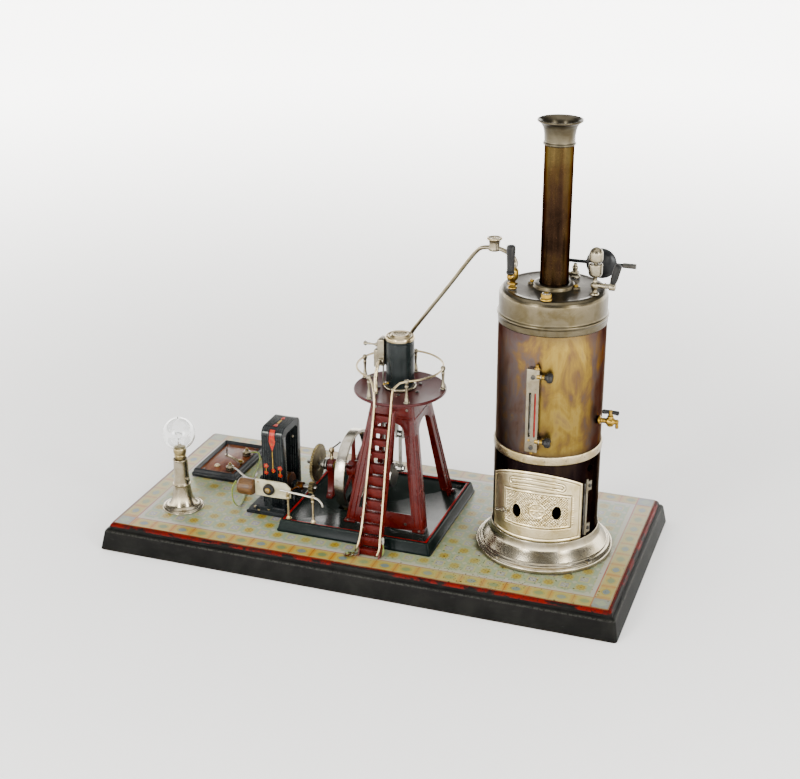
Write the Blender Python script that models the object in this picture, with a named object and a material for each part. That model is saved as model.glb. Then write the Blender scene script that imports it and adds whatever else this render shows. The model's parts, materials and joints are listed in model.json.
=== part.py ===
"""A model steam plant: a vertical boiler, a small engine on a tower, and a dynamo that lights a lamp.

Lengths below are millimetres; the helper functions turn them into metres. +X runs along the base towards
the boiler, +Y to the back and +Z up. The origin is the middle of the base's underside.
"""

from math import cos, pi, radians, sin, sqrt

import bmesh
import bpy
from mathutils import Matrix, Vector

MM = 0.001
GAP = 0.3                       # left between pieces that touch

# Driving dimensions
BASE_HALF = (280.0, 133.6)      # half length and half depth of the base at the floor
PLATE_HALF = (268.0, 122.0)     # printed plate
PLATE_TOP = 28.8
BOILER = (175.7, -10.1)         # boiler axis
SHELL_R = 53.0
DRUM_Z = (150.0, 274.6)
BOILER_TOP = 308.3              # flat top of the nickel cap
CHIMNEY_TOP = 470.4
ENGINE_X = 14.0                 # tower, platform and cylinder axis
TRAY_FLOOR = 38.0
TRAY_RIM = 41.5
TOWER_TOP = 172.7
PLATFORM_Z = (173.0, 176.4)
PLATFORM_R = 48.5
SHAFT_Z = 73.8                  # crankshaft height
CRANK_R = 9.0
CONROD = 40.0
FLYWHEEL_R = 43.7
FLYWHEEL_X = (-45.0, -34.0)
VALVE_X = -4.5                  # eccentric and valve rod
THROW = 3.0                     # eccentric
VALVE_LINK = 60.0
GEAR_X = (-83.0, -80.0)
GEAR_R = 21.0
GEAR_TEETH = 36
PINION_TEETH = 12
DYNAMO_Y = -17.5                # armature axis
DYNAMO_Z = 52.0
LAMP = (-215.3, -62.8)
BOARD = (-213.5, 50.0)          # switchboard middle
PANEL_TOP = 35.2
TERMINAL_FRONT = (-200.0, 23.0)
TERMINAL_REAR = (-199.0, 65.0)
SWITCH_PIVOT = (-195.0, 40.0)
LEVER_TIP = (-219.0, 52.0)
CONTACT = (-219.0, 28.4)

PAINTS = {                      # colour, roughness, metallic
    "black_lacquer": ((0.012, 0.012, 0.014), 0.4, 0.0),
    "printed_tin": ((0.55, 0.57, 0.42), 0.4, 0.0),
    "tray_enamel": ((0.012, 0.03, 0.026), 0.3, 0.0),
    "maroon_enamel": ((0.17, 0.012, 0.014), 0.3, 0.0),
    "nickel": ((0.62, 0.58, 0.5), 0.28, 1.0),
    "heated_brass": ((0.32, 0.22, 0.13), 0.35, 0.9),
    "burnt_brass": ((0.09, 0.06, 0.045), 0.4, 0.8),
    "brass": ((0.5, 0.36, 0.14), 0.35, 1.0),
    "steel": ((0.45, 0.44, 0.42), 0.3, 1.0),
    "black_enamel": ((0.015, 0.018, 0.02), 0.25, 0.0),
    "black_wood": ((0.02, 0.016, 0.014), 0.4, 0.0),
    "brown_fibre": ((0.16, 0.07, 0.03), 0.5, 0.0),
    "cream_card": ((0.75, 0.73, 0.62), 0.6, 0.0),
    "board_panel": ((0.42, 0.13, 0.05), 0.45, 0.0),
    "glass": ((0.85, 0.88, 0.88), 0.05, 0.0),
    "white_lead": ((0.75, 0.74, 0.7), 0.6, 0.0),
    "green_lead": ((0.1, 0.22, 0.06), 0.7, 0.0),
}


# ---------------------------------------------------------------- modelling helpers


def paint(slot):
    """The named material, made the first time it is asked for."""
    found = bpy.data.materials.get(slot)
    if found:
        return found
    colour, roughness, metallic = PAINTS[slot]
    made = bpy.data.materials.new(slot)
    made.use_nodes = True
    shader = made.node_tree.nodes["Principled BSDF"]
    shader.inputs["Base Color"].default_value = (*colour, 1.0)
    shader.inputs["Roughness"].default_value = roughness
    shader.inputs["Metallic"].default_value = metallic
    return made


def finish(name, slot, bm, origin=(0.0, 0.0, 0.0)):
    """Turns a bmesh in world millimetres into an object whose origin is the given point."""
    bmesh.ops.translate(bm, verts=bm.verts, vec=-Vector(origin))
    bmesh.ops.scale(bm, verts=bm.verts, vec=(MM, MM, MM))
    bmesh.ops.recalc_face_normals(bm, faces=bm.faces)
    mesh = bpy.data.meshes.new(name)
    bm.to_mesh(mesh)
    bm.free()
    mesh.materials.append(paint(slot))
    mesh.shade_smooth()
    mesh.set_sharp_from_angle(angle=radians(35))
    made = bpy.data.objects.new(name, mesh)
    made.location = Vector(origin) * MM
    bpy.context.scene.collection.objects.link(made)
    return made


def turn_to(axis):
    """The rotation that takes +Z to the given axis letter."""
    if axis == "X":
        return Matrix.Rotation(pi / 2, 4, "Y")
    if axis == "Y":
        return Matrix.Rotation(-pi / 2, 4, "X")
    if axis == "-Y":
        return Matrix.Rotation(pi / 2, 4, "X")
    return Matrix.Identity(4)


def turned_mesh(profile, at, axis="Z", steps=24, ring=False):
    """A lathe-turned shape: profile holds (radius, height) pairs, from one end of the axis to the other.

    With ring set, the profile is a closed loop around a bore.
    """
    bm = bmesh.new()
    verts = [bm.verts.new((r, 0.0, h)) for r, h in profile]
    pairs = list(zip(verts, verts[1:]))
    if ring:
        pairs.append((verts[-1], verts[0]))
    edges = [bm.edges.new(pair) for pair in pairs]
    bmesh.ops.spin(
        bm, geom=verts + edges, cent=(0, 0, 0), axis=(0, 0, 1), angle=2 * pi, steps=steps, use_merge=True
    )
    bmesh.ops.remove_doubles(bm, verts=bm.verts, dist=1e-4)
    place = Matrix.Translation(Vector(at)) @ turn_to(axis)
    bmesh.ops.transform(bm, matrix=place, verts=bm.verts)
    return bm


def turned(name, slot, profile, at, axis="Z", steps=24, ring=False, origin=None):
    bm = turned_mesh(profile, at, axis, steps, ring)
    return finish(name, slot, bm, at if origin is None else origin)


def rod_profile(radius, length, chamfer=0.0):
    if not chamfer:
        return [(0, 0), (radius, 0), (radius, length), (0, length)]
    inner = radius - chamfer
    return [(0, 0), (inner, 0), (radius, chamfer), (radius, length - chamfer), (inner, length), (0, length)]


def box_mesh(low, high, bevel=0.0):
    bm = bmesh.new()
    bmesh.ops.create_cube(bm, size=1.0)
    size = Vector(high) - Vector(low)
    middle = (Vector(high) + Vector(low)) / 2
    bmesh.ops.scale(bm, verts=bm.verts, vec=size)
    bmesh.ops.translate(bm, verts=bm.verts, vec=middle)
    if bevel:
        bmesh.ops.bevel(bm, geom=bm.edges, offset=bevel, segments=1, affect="EDGES")
    return bm


def box(name, slot, low, high, bevel=0.0, origin=(0, 0, 0)):
    return finish(name, slot, box_mesh(low, high, bevel), origin)


def slab_mesh(outline, start, end, axis):
    """An outline of (u, v) points pushed from start to end along X, Y or Z. For X the points are (y, z)."""
    bm = bmesh.new()
    place = {
        "X": lambda u, v: (start, u, v),
        "Y": lambda u, v: (u, start, v),
        "Z": lambda u, v: (u, v, start),
    }[axis]
    face = bm.faces.new([bm.verts.new(place(u, v)) for u, v in outline])
    pushed = bmesh.ops.extrude_face_region(bm, geom=[face])
    moved = [part for part in pushed["geom"] if isinstance(part, bmesh.types.BMVert)]
    step = {"X": (1, 0, 0), "Y": (0, 1, 0), "Z": (0, 0, 1)}[axis]
    bmesh.ops.translate(bm, verts=moved, vec=Vector(step) * (end - start))
    return bm


def slab(name, slot, outline, start, end, axis, origin=(0, 0, 0)):
    return finish(name, slot, slab_mesh(outline, start, end, axis), origin)


def rounded_rectangle(middle, half, radius, steps=2):
    points = []
    for turn, (sx, sy) in enumerate(((1, 1), (-1, 1), (-1, -1), (1, -1))):
        for step in range(steps + 1):
            angle = (turn + step / steps) * pi / 2
            x = middle[0] + sx * (half[0] - radius) + radius * cos(angle)
            y = middle[1] + sy * (half[1] - radius) + radius * sin(angle)
            points.append((x, y))
    return points


def stacked_mesh(levels, middle, radius, steps=2):
    """Rounded rectangles (half_x, half_y, z) skinned in order and closed at both ends."""
    bm = bmesh.new()
    rings = []
    for half_x, half_y, z in levels:
        outline = rounded_rectangle(middle, (half_x, half_y), radius, steps)
        rings.append([bm.verts.new((x, y, z)) for x, y in outline])
    for lower, upper in zip(rings, rings[1:]):
        for i in range(len(lower)):
            j = (i + 1) % len(lower)
            bm.faces.new((lower[i], lower[j], upper[j], upper[i]))
    bm.faces.new(rings[0])
    bm.faces.new(rings[-1])
    return bm


def smooth_route(points, pieces=4):
    """Points on a Catmull-Rom curve through the given ones."""
    route = [Vector(p) for p in points]
    ends = [route[0] * 2 - route[1], *route, route[-1] * 2 - route[-2]]
    out = []
    for a, b, c, d in zip(ends, ends[1:], ends[2:], ends[3:]):
        for step in range(pieces):
            t = step / pieces
            out.append(
                0.5 * ((2 * b) + (c - a) * t + (2 * a - 5 * b + 4 * c - d) * t * t
                       + (3 * b - a - 3 * c + d) * t ** 3)
            )
    out.append(route[-1])
    return out


def pipe_mesh(route, radius, sides=6):
    """A closed round bar along a list of points, with flat ends."""
    bm = bmesh.new()
    route = [Vector(p) for p in route]
    ways = [(b - a).normalized() for a, b in zip(route, route[1:])]
    ways = [ways[0], *[(a + b).normalized() for a, b in zip(ways, ways[1:])], ways[-1]]
    side = ways[0].orthogonal().normalized()
    rings = []
    for point, way in zip(route, ways):
        side = (side - way * side.dot(way)).normalized()
        other = way.cross(side)
        angles = [2 * pi * i / sides for i in range(sides)]
        rings.append([bm.verts.new(point + (side * cos(a) + other * sin(a)) * radius) for a in angles])
    for lower, upper in zip(rings, rings[1:]):
        for i in range(sides):
            j = (i + 1) % sides
            bm.faces.new((lower[i], lower[j], upper[j], upper[i]))
    bm.faces.new(rings[0])
    bm.faces.new(rings[-1])
    return bm


def pipe(name, slot, route, radius, sides=6, origin=(0, 0, 0)):
    return finish(name, slot, pipe_mesh(route, radius, sides), origin)


def helper(made):
    made.hide_render = True
    made.display_type = "WIRE"
    return made


def with_boolean(base, operation, meshes):
    """Adds one exact Boolean to base for each bmesh of the list."""
    for number, bm in enumerate(meshes):
        other = helper(finish(f"{base.name}_{operation.lower()}_{number}", base.data.materials[0].name, bm))
        made = base.modifiers.new(f"{operation.title()} {number}", "BOOLEAN")
        made.operation = operation
        made.solver = "EXACT"
        made.object = other
    return base


def joined(base, *meshes):
    return with_boolean(base, "UNION", meshes)


def cut(base, *meshes):
    return with_boolean(base, "DIFFERENCE", meshes)


def circle(middle, radius, start, end, steps):
    """Points on an arc, angles in degrees."""
    angles = [radians(start + (end - start) * i / steps) for i in range(steps + 1)]
    return [(middle[0] + radius * cos(a), middle[1] + radius * sin(a)) for a in angles]


# ---------------------------------------------------------------- base and tray


def build_base():
    levels = [
        (BASE_HALF[0], BASE_HALF[1], 0.0),
        (276.6, 129.6, 19.5),
        (275.4, 128.2, 21.5),
        (272.6, 125.6, 22.6),
        (272.2, 125.2, 25.5),
        (271.0, 124.2, 27.2),
        (269.4, 122.8, PLATE_TOP - 0.6 - GAP),
    ]
    finish("base_box", "black_lacquer", stacked_mesh(levels, (0, 0), 3.0))
    plate = [(*PLATE_HALF, PLATE_TOP - 0.6), (*PLATE_HALF, PLATE_TOP)]
    finish("printed_plate", "printed_tin", stacked_mesh(plate, (0, 0), 1.0))


def build_tray():
    """A pressed tray under the engine, with a raised rim and a pit for the flywheel."""
    levels = [
        (85.5, 79.5, PLATE_TOP + GAP),
        (85.5, 79.5, 31.0),
        (82.0, 76.5, TRAY_RIM - 0.8),
        (81.0, 75.8, TRAY_RIM),
        (77.5, 72.3, TRAY_RIM),
        (76.5, 71.3, TRAY_FLOOR),
    ]
    tray = finish("engine_tray", "tray_enamel", stacked_mesh(levels, (-10.5, -2.5), 2.0))
    reach = sqrt(FLYWHEEL_R ** 2 - (SHAFT_Z - TRAY_FLOOR) ** 2) + 4
    cut(tray, box_mesh((FLYWHEEL_X[0] - 2, -reach, 20), (FLYWHEEL_X[1] + 2, reach, 50)))


def build_tray_rail():
    """A bent wire rail on two turned posts at the tray's front left corner."""
    run = [(-94, -74, 73.5), (-80, -74, 72.5), (-60, -74, 71), (-52, -74, 70), (-47, -74, 66), (-45.5, -74, 61)]
    rail = pipe("tray_rail", "nickel", smooth_route(run, 2), 1.2)
    post = [(0, 0), (3.0, 0), (3.0, 1.2), (1.5, 3), (1.3, 24), (1.9, 27), (2.2, 29.5), (1.4, 32), (0, 32)]
    for x in (-84.5, -56.5):
        joined(rail, turned_mesh(post, (x, -74, TRAY_RIM + GAP), steps=8))


# ---------------------------------------------------------------- tower, platform and ladder


def tower_half(z):
    """Half width and half depth of the tapered tower at a height."""
    rise = z - TRAY_FLOOR
    return 43.0 - 0.1577 * rise, 52.0 - 0.198 * rise


def frustum_mesh(bottom, top, inset):
    bm = bmesh.new()
    rings = []
    for z in (bottom, top):
        half_x, half_y = tower_half(z)
        half_x -= inset
        half_y -= inset
        corners = ((1, 1), (-1, 1), (-1, -1), (1, -1))
        rings.append([bm.verts.new((ENGINE_X + sx * half_x, sy * half_y, z)) for sx, sy in corners])
    for i in range(4):
        j = (i + 1) % 4
        bm.faces.new((rings[0][i], rings[0][j], rings[1][j], rings[1][i]))
    bm.faces.new(rings[0])
    bm.faces.new(rings[1])
    return bm


def arch(half_low, half_high, low, spring, apex):
    """A tapering opening with a rounded arch on top."""
    crown = [(half_high * cos(radians(a)), spring + (apex - spring) * sin(radians(a))) for a in range(0, 181, 30)]
    return [(half_low, low), *crown, (-half_low, low)]


def build_tower():
    wall = 1.6
    tower = finish("tower_frame", "maroon_enamel", frustum_mesh(TRAY_FLOOR + GAP, TOWER_TOP, 0.0))
    front = [(ENGINE_X + u, v) for u, v in arch(29.1, 15.5, 54.5, 138, 149)]
    back = [(ENGINE_X + u, v) for u, v in arch(31.0, 15.5, 20.0, 138, 149)]
    sides = arch(40.0, 18.5, 20.0, 134, 146)
    cut(
        tower,
        frustum_mesh(TRAY_FLOOR - 20, TOWER_TOP + 20, wall),
        slab_mesh(front, -80, 0, "Y"),
        slab_mesh(back, -1, 80, "Y"),
        slab_mesh(sides, -60, 90, "X"),
    )


def build_main_bearing():
    """The pedestal that carries the crankshaft inside the tower."""
    outline = [(-9, TRAY_FLOOR + GAP), (9, TRAY_FLOOR + GAP), (9, 41), (5.5, 44), (4.8, 66)]
    head = circle((0, SHAFT_Z), 6.0, -30, 210, 8)
    pedestal = slab("main_bearing", "maroon_enamel", [*outline, *head, (-4.8, 66), (-5.5, 44), (-9, 41)],
                    -16, -11, "X")
    cut(pedestal, turned_mesh(rod_profile(2.8, 20), (-20, 0, SHAFT_Z), "X", 10))


def build_platform():
    low, high = PLATFORM_Z
    disc = [(0, low), (PLATFORM_R - 1.0, low), (PLATFORM_R, low + 0.8), (PLATFORM_R, high - 0.6),
            (PLATFORM_R - 0.7, high), (0, high)]
    platform = turned("platform", "maroon_enamel", disc, (ENGINE_X, 0, 0), steps=24, origin=(0, 0, 0))
    cut(
        platform,
        turned_mesh(rod_profile(2.6, 20), (ENGINE_X, 0, 165), steps=8),
        turned_mesh(rod_profile(1.7, 20), (VALVE_X, 0, 165), steps=8),
    )


RAIL_R = 45.0
RAIL_Z = 200.5
RAIL_POSTS = (-115.0, -62.0, 10.0, 88.0, 165.0)     # places round the platform, in degrees


def build_platform_railing():
    """One wire: up the ladder's left side, round the platform, and down the right side, soldered to five posts."""
    left = [(1.5, -103, 33.5), (4.5, -104, 40), (6.5, -100, 52), (6.8, -91, 74), (6.6, -74, 124),
            (6.2, -58, 168), (5.2, -53.5, 184), (2.0, -48.5, 194), (-1.5, -44.5, 198.8)]
    ring = [(*point, RAIL_Z) for point in circle((ENGINE_X, 0), RAIL_R, RAIL_POSTS[0], RAIL_POSTS[1] - 360, 12)]
    right = [(29.5, -45.0, 199.8), (24.6, -50.5, 194), (23.8, -53.5, 184), (24.0, -58, 168),
             (25.0, -74, 124), (26.8, -91, 74), (27.8, -100, 52), (28.6, -105, 41), (26.5, -107, 34)]
    route = [*smooth_route(left, 2), *ring, *smooth_route(right, 2)]
    wire = pipe("platform_railing", "nickel", route, 1.1, 6)
    base = PLATFORM_Z[1] + GAP
    tall = RAIL_Z - base
    post = [(0, 0), (2.6, 0), (1.4, 5), (1.9, tall - 4.5), (2.4, tall - 2), (2.3, tall + 1), (0, tall + 2.4)]
    for angle in RAIL_POSTS:
        (x, y), _ = circle((ENGINE_X, 0), RAIL_R, angle, angle, 1)
        joined(wire, turned_mesh(post, (x, y, base), steps=8))


LADDER_LOW = Vector((16.2, -99.5, PLATE_TOP + GAP))
LADDER_HIGH = Vector((14.9, -51.5, 171.0))
LADDER_STEPS = 12


def build_ladder():
    """Two pressed side strips with folded treads between them."""
    half = 11.0
    rise = LADDER_HIGH - LADDER_LOW
    treads = []
    for number in range(LADDER_STEPS):
        middle = LADDER_LOW + rise * ((number + 0.55) / LADDER_STEPS)
        low = middle + Vector((-half + 0.4, -3.0, -0.6))
        high = middle + Vector((half - 0.4, 3.0, 0.6))
        treads.append(box_mesh(low, high))
    strips = []
    for side in (-1, 1):
        bm = bmesh.new()
        corners = []
        for end in (LADDER_LOW, LADDER_HIGH):
            for dx, dy in ((-0.6, -3.6), (0.6, -3.6), (0.6, 3.6), (-0.6, 3.6)):
                corners.append(bm.verts.new((end.x + side * half + dx, end.y + dy, end.z)))
        for i in range(4):
            j = (i + 1) % 4
            bm.faces.new((corners[i], corners[j], corners[4 + j], corners[4 + i]))
        bm.faces.new(corners[:4])
        bm.faces.new(corners[4:])
        strips.append(bm)
    ladder = finish("ladder", "maroon_enamel", strips[0])
    joined(ladder, *treads, strips[1])


# ---------------------------------------------------------------- engine


def build_cylinder():
    foot = PLATFORM_Z[1] + GAP
    profile = [(2.6, foot), (17.0, foot), (17.0, 179.4), (14.8, 180.2), (14.8, 229.4), (9.5, 229.4), (9.5, 184),
               (2.6, 184)]
    turned("cylinder", "black_enamel", profile, (ENGINE_X, 0, 0), steps=20, ring=True, origin=(ENGINE_X, 0, foot))
    low = 229.4 + GAP
    cap = [(0, low), (15.4, low), (15.4, 232.6), (14.2, 234.2), (9.2, 234.6), (8.6, 235.6), (0, 235.6)]
    turned("cylinder_cap", "nickel", cap, (ENGINE_X, 0, 0), steps=20, origin=(ENGINE_X, 0, low))


def build_valve_chest():
    """A nickel steam chest on the cylinder's left, with its exhaust pipe."""
    chest = box("valve_chest", "nickel", (-8.8, -7.0, 200.0), (-1.1, 7.0, 228.6), 0.6)
    lug = box_mesh((-13.0, -6.0, 197.5), (-8.0, 6.0, 216.5), 0.5)
    pipe_run = [(-4.5, -6.0, 205.5), (-4.7, -10, 206), (-5.2, -15, 203), (-5.4, -19, 196), (-4.6, -23, 187),
                (-3.2, -26, 180.5), (-3.0, -26.2, PLATFORM_Z[1] + 2 * GAP)]
    joined(chest, lug, pipe_mesh(smooth_route(pipe_run, 3), 1.9, 8))
    cut(chest, turned_mesh(rod_profile(1.8, 30), (VALVE_X, 0, 194), steps=8))


def build_oil_cock():
    profile = [(0, 0), (2.2, 0), (2.2, 2.2), (1.1, 2.8), (1.1, 11), (1.7, 11.6), (2.3, 13.4), (1.7, 15.2), (0, 15.8)]
    spin = turned_mesh([(r, -h) for r, h in profile], (-8.8 - GAP, -4.0, 222.0), "X", 8)
    finish("oil_cock", "nickel", spin, (-8.8 - GAP, -4.0, 222.0))


def clevis(name, slot, x, top_eye, depth, inside, cheek, piece):
    """A long open fork on a rod: it straddles the link below without a pin, so the two can move apart."""
    half_y = 3.0
    outer = inside + cheek
    base = box(name, slot, (x - outer, -half_y, top_eye + depth), (x + outer, half_y, top_eye + depth + 4),
               origin=(x, 0, top_eye))
    parts = []
    for side in (-1, 1):
        lo = min(side * inside, side * outer)
        hi = max(side * inside, side * outer)
        parts.append(box_mesh((x + lo, -half_y, top_eye - 4), (x + hi, half_y, top_eye + depth + 1)))
    return joined(base, *parts, piece)


def build_piston():
    top_eye = SHAFT_Z + CRANK_R + CONROD
    bridge = top_eye + 24.0
    crown = 214.0
    profile = [(0, bridge + 2), (1.8, bridge + 2), (1.8, crown), (9.1, crown), (9.1, crown + 6), (0, crown + 6)]
    rod = turned_mesh(profile, (ENGINE_X, 0, 0), steps=12)
    clevis("piston", "steel", ENGINE_X, top_eye, 24.0, 2.7, 2.0, rod)


def link(name, slot, x, low, length, big, small, half):
    """A flat rod between two eyes, upright: big and small are (outer radius, bore radius)."""
    middle = (x, 0, low)
    base = box(name, slot, (x - half * 0.7, -1.7, low + big[1] + 0.6), (x + half * 0.7, 1.7, low + length - 1.5),
               origin=middle)
    eyes = []
    bores = []
    for z, (outer, bore) in ((low, big), (low + length, small)):
        eyes.append(turned_mesh(rod_profile(outer, 2 * half), (x - half, 0, z), "X", 12))
        bores.append(turned_mesh(rod_profile(bore, 2 * half + 2), (x - half - 1, 0, z), "X", 10))
    joined(base, *eyes)
    return cut(base, *bores)


def build_links():
    link("connecting_rod", "steel", ENGINE_X, SHAFT_Z + CRANK_R, CONROD, (5.0, 2.4), (3.8, 1.6), 2.0)
    link("eccentric_rod", "steel", VALVE_X, SHAFT_Z + THROW, VALVE_LINK, (9.6, 7.4), (2.4, 1.1), 1.5)


def build_valve_rod():
    top_eye = SHAFT_Z + THROW + VALVE_LINK
    profile = [(0, top_eye + 12), (1.1, top_eye + 12), (1.1, 220), (0, 220)]
    rod = turned_mesh(profile, (VALVE_X, 0, 0), steps=8)
    clevis("valve_rod", "steel", VALVE_X, top_eye, 10.0, 2.1, 1.2, rod)


def build_crankshaft():
    shaft = turned("crankshaft", "steel", rod_profile(2.4, 98.0), (-93.0, 0, SHAFT_Z), "X", 10)
    disc = turned_mesh(rod_profile(13.5, 3.0), (4.5, 0, SHAFT_Z), "X", 20)
    eccentric = turned_mesh(rod_profile(7.0, 4.4), (VALVE_X - 2.2, 0, SHAFT_Z + THROW), "X", 14)
    pin = [(0, 0), (2.0, 0), (2.0, 10.2), (3.2, 10.2), (3.2, 12), (0, 12)]
    collar = turned_mesh(rod_profile(4.6, 3.2), (-77.0, 0, SHAFT_Z), "X", 12)
    pulley = [(0, 0), (6.4, 0), (6.4, 0.8), (4.8, 1.8), (6.4, 2.8), (6.4, 3.6), (0, 3.6)]
    groove = turned_mesh(pulley, (-73.5, 0, SHAFT_Z), "X", 12)
    joined(shaft, disc, eccentric, turned_mesh(pin, (6.5, 0, SHAFT_Z + CRANK_R), "X", 8), collar, groove)


def build_flywheel():
    """A nickelled rim on six oval spokes."""
    low, high = FLYWHEEL_X
    width = high - low
    middle = (low + high) / 2
    rim = FLYWHEEL_R - 4.2
    ring = [(rim, 0), (FLYWHEEL_R, 0), (FLYWHEEL_R + 0.2, width / 2), (FLYWHEEL_R, width), (rim, width)]
    wheel = turned("flywheel", "nickel", ring, (low, 0, SHAFT_Z), "X", 28, ring=True)
    hub = [(2.4 + GAP, -1.5), (9.0, -1.5), (9.0, width + 1.5), (2.4 + GAP, width + 1.5)]
    spokes = []
    for number in range(6):
        angle = radians(30 + 60 * number)
        way = Vector((0, cos(angle), sin(angle)))
        start = Vector((middle, 0, SHAFT_Z)) + way * 6.5
        end = Vector((middle, 0, SHAFT_Z)) + way * (rim + 1.5)
        spokes.append(pipe_mesh([start, end], 2.6))
    joined(wheel, turned_mesh(hub, (low, 0, SHAFT_Z), "X", 14, ring=True), *spokes)


def gear_mesh(teeth, tip, root, start, end, y, z):
    outline = []
    for tooth in range(teeth):
        for share, radius in ((0.0, root), (0.28, root), (0.42, tip), (0.86, tip)):
            angle = 2 * pi * (tooth + share) / teeth
            outline.append((y + radius * cos(angle), z + radius * sin(angle)))
    return slab_mesh(outline, start, end, "X")


def build_drive_gear():
    body = gear_mesh(GEAR_TEETH, GEAR_R, GEAR_R - 1.5, *GEAR_X, 0, SHAFT_Z)
    gear = finish("drive_gear", "brass", body, (GEAR_X[0], 0, SHAFT_Z))
    cut(gear, turned_mesh(rod_profile(2.4 + GAP, 20), (GEAR_X[0] - 8, 0, SHAFT_Z), "X", 10))


def build_bearing_standard():
    """A maroon post left of the flywheel, with an oil cup on its head."""
    low = TRAY_FLOOR + GAP
    outline = [(-11, low), (11, low), (11, 41.5), (6.5, 45), (4.6, 60)]
    head = circle((0, SHAFT_Z), 7.5, -25, 205, 8)
    post = slab("bearing_standard", "maroon_enamel", [*outline, *head, (-4.6, 60), (-6.5, 45), (-11, 41.5)],
                -68.0, -61.5, "X")
    cup = [(0, 0), (2.4, 0), (2.4, 3), (1.6, 4), (1.6, 8), (3.0, 9.5), (3.0, 13), (1.0, 14.5), (0, 14.5)]
    lever = [(-64.8, 0, 93.5), (-61, 0, 96.5), (-55, 2, 102)]
    joined(post, turned_mesh(cup, (-64.8, 0, SHAFT_Z + 6.5), steps=8), pipe_mesh(lever, 0.9, 6))
    cut(post, turned_mesh(rod_profile(2.4 + GAP, 20), (-75, 0, SHAFT_Z), "X", 10))


# ---------------------------------------------------------------- dynamo

MAGNET_X = (-129.0, -104.0)
MAGNET_HALF = 23.0
MAGNET_TOP = 125.3
MAGNET_FOOT = 38.0
POLE_R = 14.5


def build_dynamo():
    y = DYNAMO_Y
    floor = PLATE_TOP + GAP
    middle = (MAGNET_X[0] + MAGNET_X[1]) / 2
    foot = [(23.6, 36.0, floor), (23.6, 36.0, 31.6), (21.5, 34.5, 33.0)]
    step = [(18.0, 33.5, 32.0), (17.5, 33.0, MAGNET_FOOT - GAP)]
    base = finish("dynamo_base", "black_enamel", stacked_mesh(foot, (middle - 4.4, y), 1.5, 1))
    half = MAGNET_HALF
    wall = 7.5
    outer = [(y + half, MAGNET_FOOT), *circle((y + half - 9, MAGNET_TOP - 9), 9, 0, 90, 4),
             *circle((y - half + 9, MAGNET_TOP - 9), 9, 90, 180, 4), (y - half, MAGNET_FOOT)]
    inner = [(y - half + wall, MAGNET_FOOT), *circle((y, DYNAMO_Z), POLE_R, 205, 155, 4),
             *circle((y - half + wall + 4, MAGNET_TOP - wall - 4), 4, 180, 90, 2),
             *circle((y + half - wall - 4, MAGNET_TOP - wall - 4), 4, 90, 0, 2),
             *circle((y, DYNAMO_Z), POLE_R, 25, -25, 4), (y + half - wall, MAGNET_FOOT)]
    slab("field_magnet", "black_enamel", [*outer, *inner], *MAGNET_X, "X")
    yokes = []
    for x in (MAGNET_X[0] - 5.0, MAGNET_X[1] + 1.0):
        head = circle((y, DYNAMO_Z), 5.5, -30, 210, 6)
        yokes.append(slab_mesh([(y + 9, MAGNET_FOOT - 2), *head, (y - 9, MAGNET_FOOT - 2)], x, x + 4.0, "X"))
    joined(base, stacked_mesh(step, (middle, y), 1.5, 1), *yokes)
    cut(base, turned_mesh(rod_profile(2.4, 60), (MAGNET_X[0] - 16, y, DYNAMO_Z), "X", 8))


def build_armature():
    """Armature drum, commutator and shaft, with the pinion that the drive gear turns."""
    start = MAGNET_X[0] - 14.0
    low = MAGNET_X[0] + 1.5 - start
    high = MAGNET_X[1] - 1.5 - start
    end = GEAR_X[1] + 4.0 - start
    profile = [(0, 0), (2.0, 0), (2.0, 1.0), (5.2, 1.0), (5.2, 6.4), (2.0, 6.4), (2.0, low), (12.5, low),
               (13.4, low + 1), (13.4, high - 1), (12.5, high), (2.0, high), (2.0, high + 8.0), (4.6, high + 8.0),
               (4.6, high + 14.0), (2.0, high + 14.0), (2.0, end), (0, end)]
    armature = turned("armature", "brass", profile, (start, DYNAMO_Y, DYNAMO_Z), "X", 12)
    reach = sqrt(DYNAMO_Y ** 2 + (SHAFT_Z - DYNAMO_Z) ** 2)
    tip = reach - GEAR_R - 0.35
    pinion = gear_mesh(PINION_TEETH, tip, tip - 1.4, GEAR_X[0] - 1, GEAR_X[1] + 1, DYNAMO_Y, DYNAMO_Z)
    joined(armature, pinion)


def build_brush_gear():
    """The brush plate in front of the magnet, and the turned fibre knob on its left end."""
    y = -55.0
    plate = box("brush_plate", "cream_card", (-131.0, y - 1.0, 54.0), (-90.0, y + 1.0, 72.0), 0.3)
    foot = box_mesh((-118.0, y - 0.5, 37.9), (-112.0, y + 0.5, 56.0))
    screw = [(0, 0), (6.2, 0), (6.2, 3.4), (5.4, 4.4), (2.4, 4.8), (2.4, 6.6), (0, 6.6)]
    joined(plate, foot, turned_mesh(screw, (-114.5, y - 0.5, 62.5), "-Y", 10))
    knob = [(0, 0), (7.0, 0), (9.2, 1.6), (9.2, 17.4), (7.0, 19.0), (0, 19.0)]
    turned("brush_knob", "brown_fibre", knob, (-150.5, y, 61.5), "X", 12)


def build_leads():
    """The white lead from the dynamo to the front terminal, and the green one to the rear terminal."""
    white = [(-133.5, -46.5, 71.0), (-137, -38, 69), (-146, -26, 56), (-160, -10, 46), (-176, 6, 41),
             (-187, 16, 40.4), (-194.2, 22.0, 39.4)]
    pipe("lead_front", "white_lead", smooth_route(white, 3), 1.0)
    green = [(-152.6, -57, 67), (-156.5, -59, 58), (-157.5, -58, 46), (-156, -54, 36), (-156, -44, 30.6),
             (-160, -26, 30.2), (-166, -4, 30.2), (-172, 20, 30.2), (-176.5, 44, 31.5), (-180.0, 60, 37),
             (-185, 65, 41),
             (-193.2, 65.2, 39.6)]
    pipe("lead_rear", "green_lead", smooth_route(green, 2), 0.9)


# ---------------------------------------------------------------- switchboard and lamp


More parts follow.
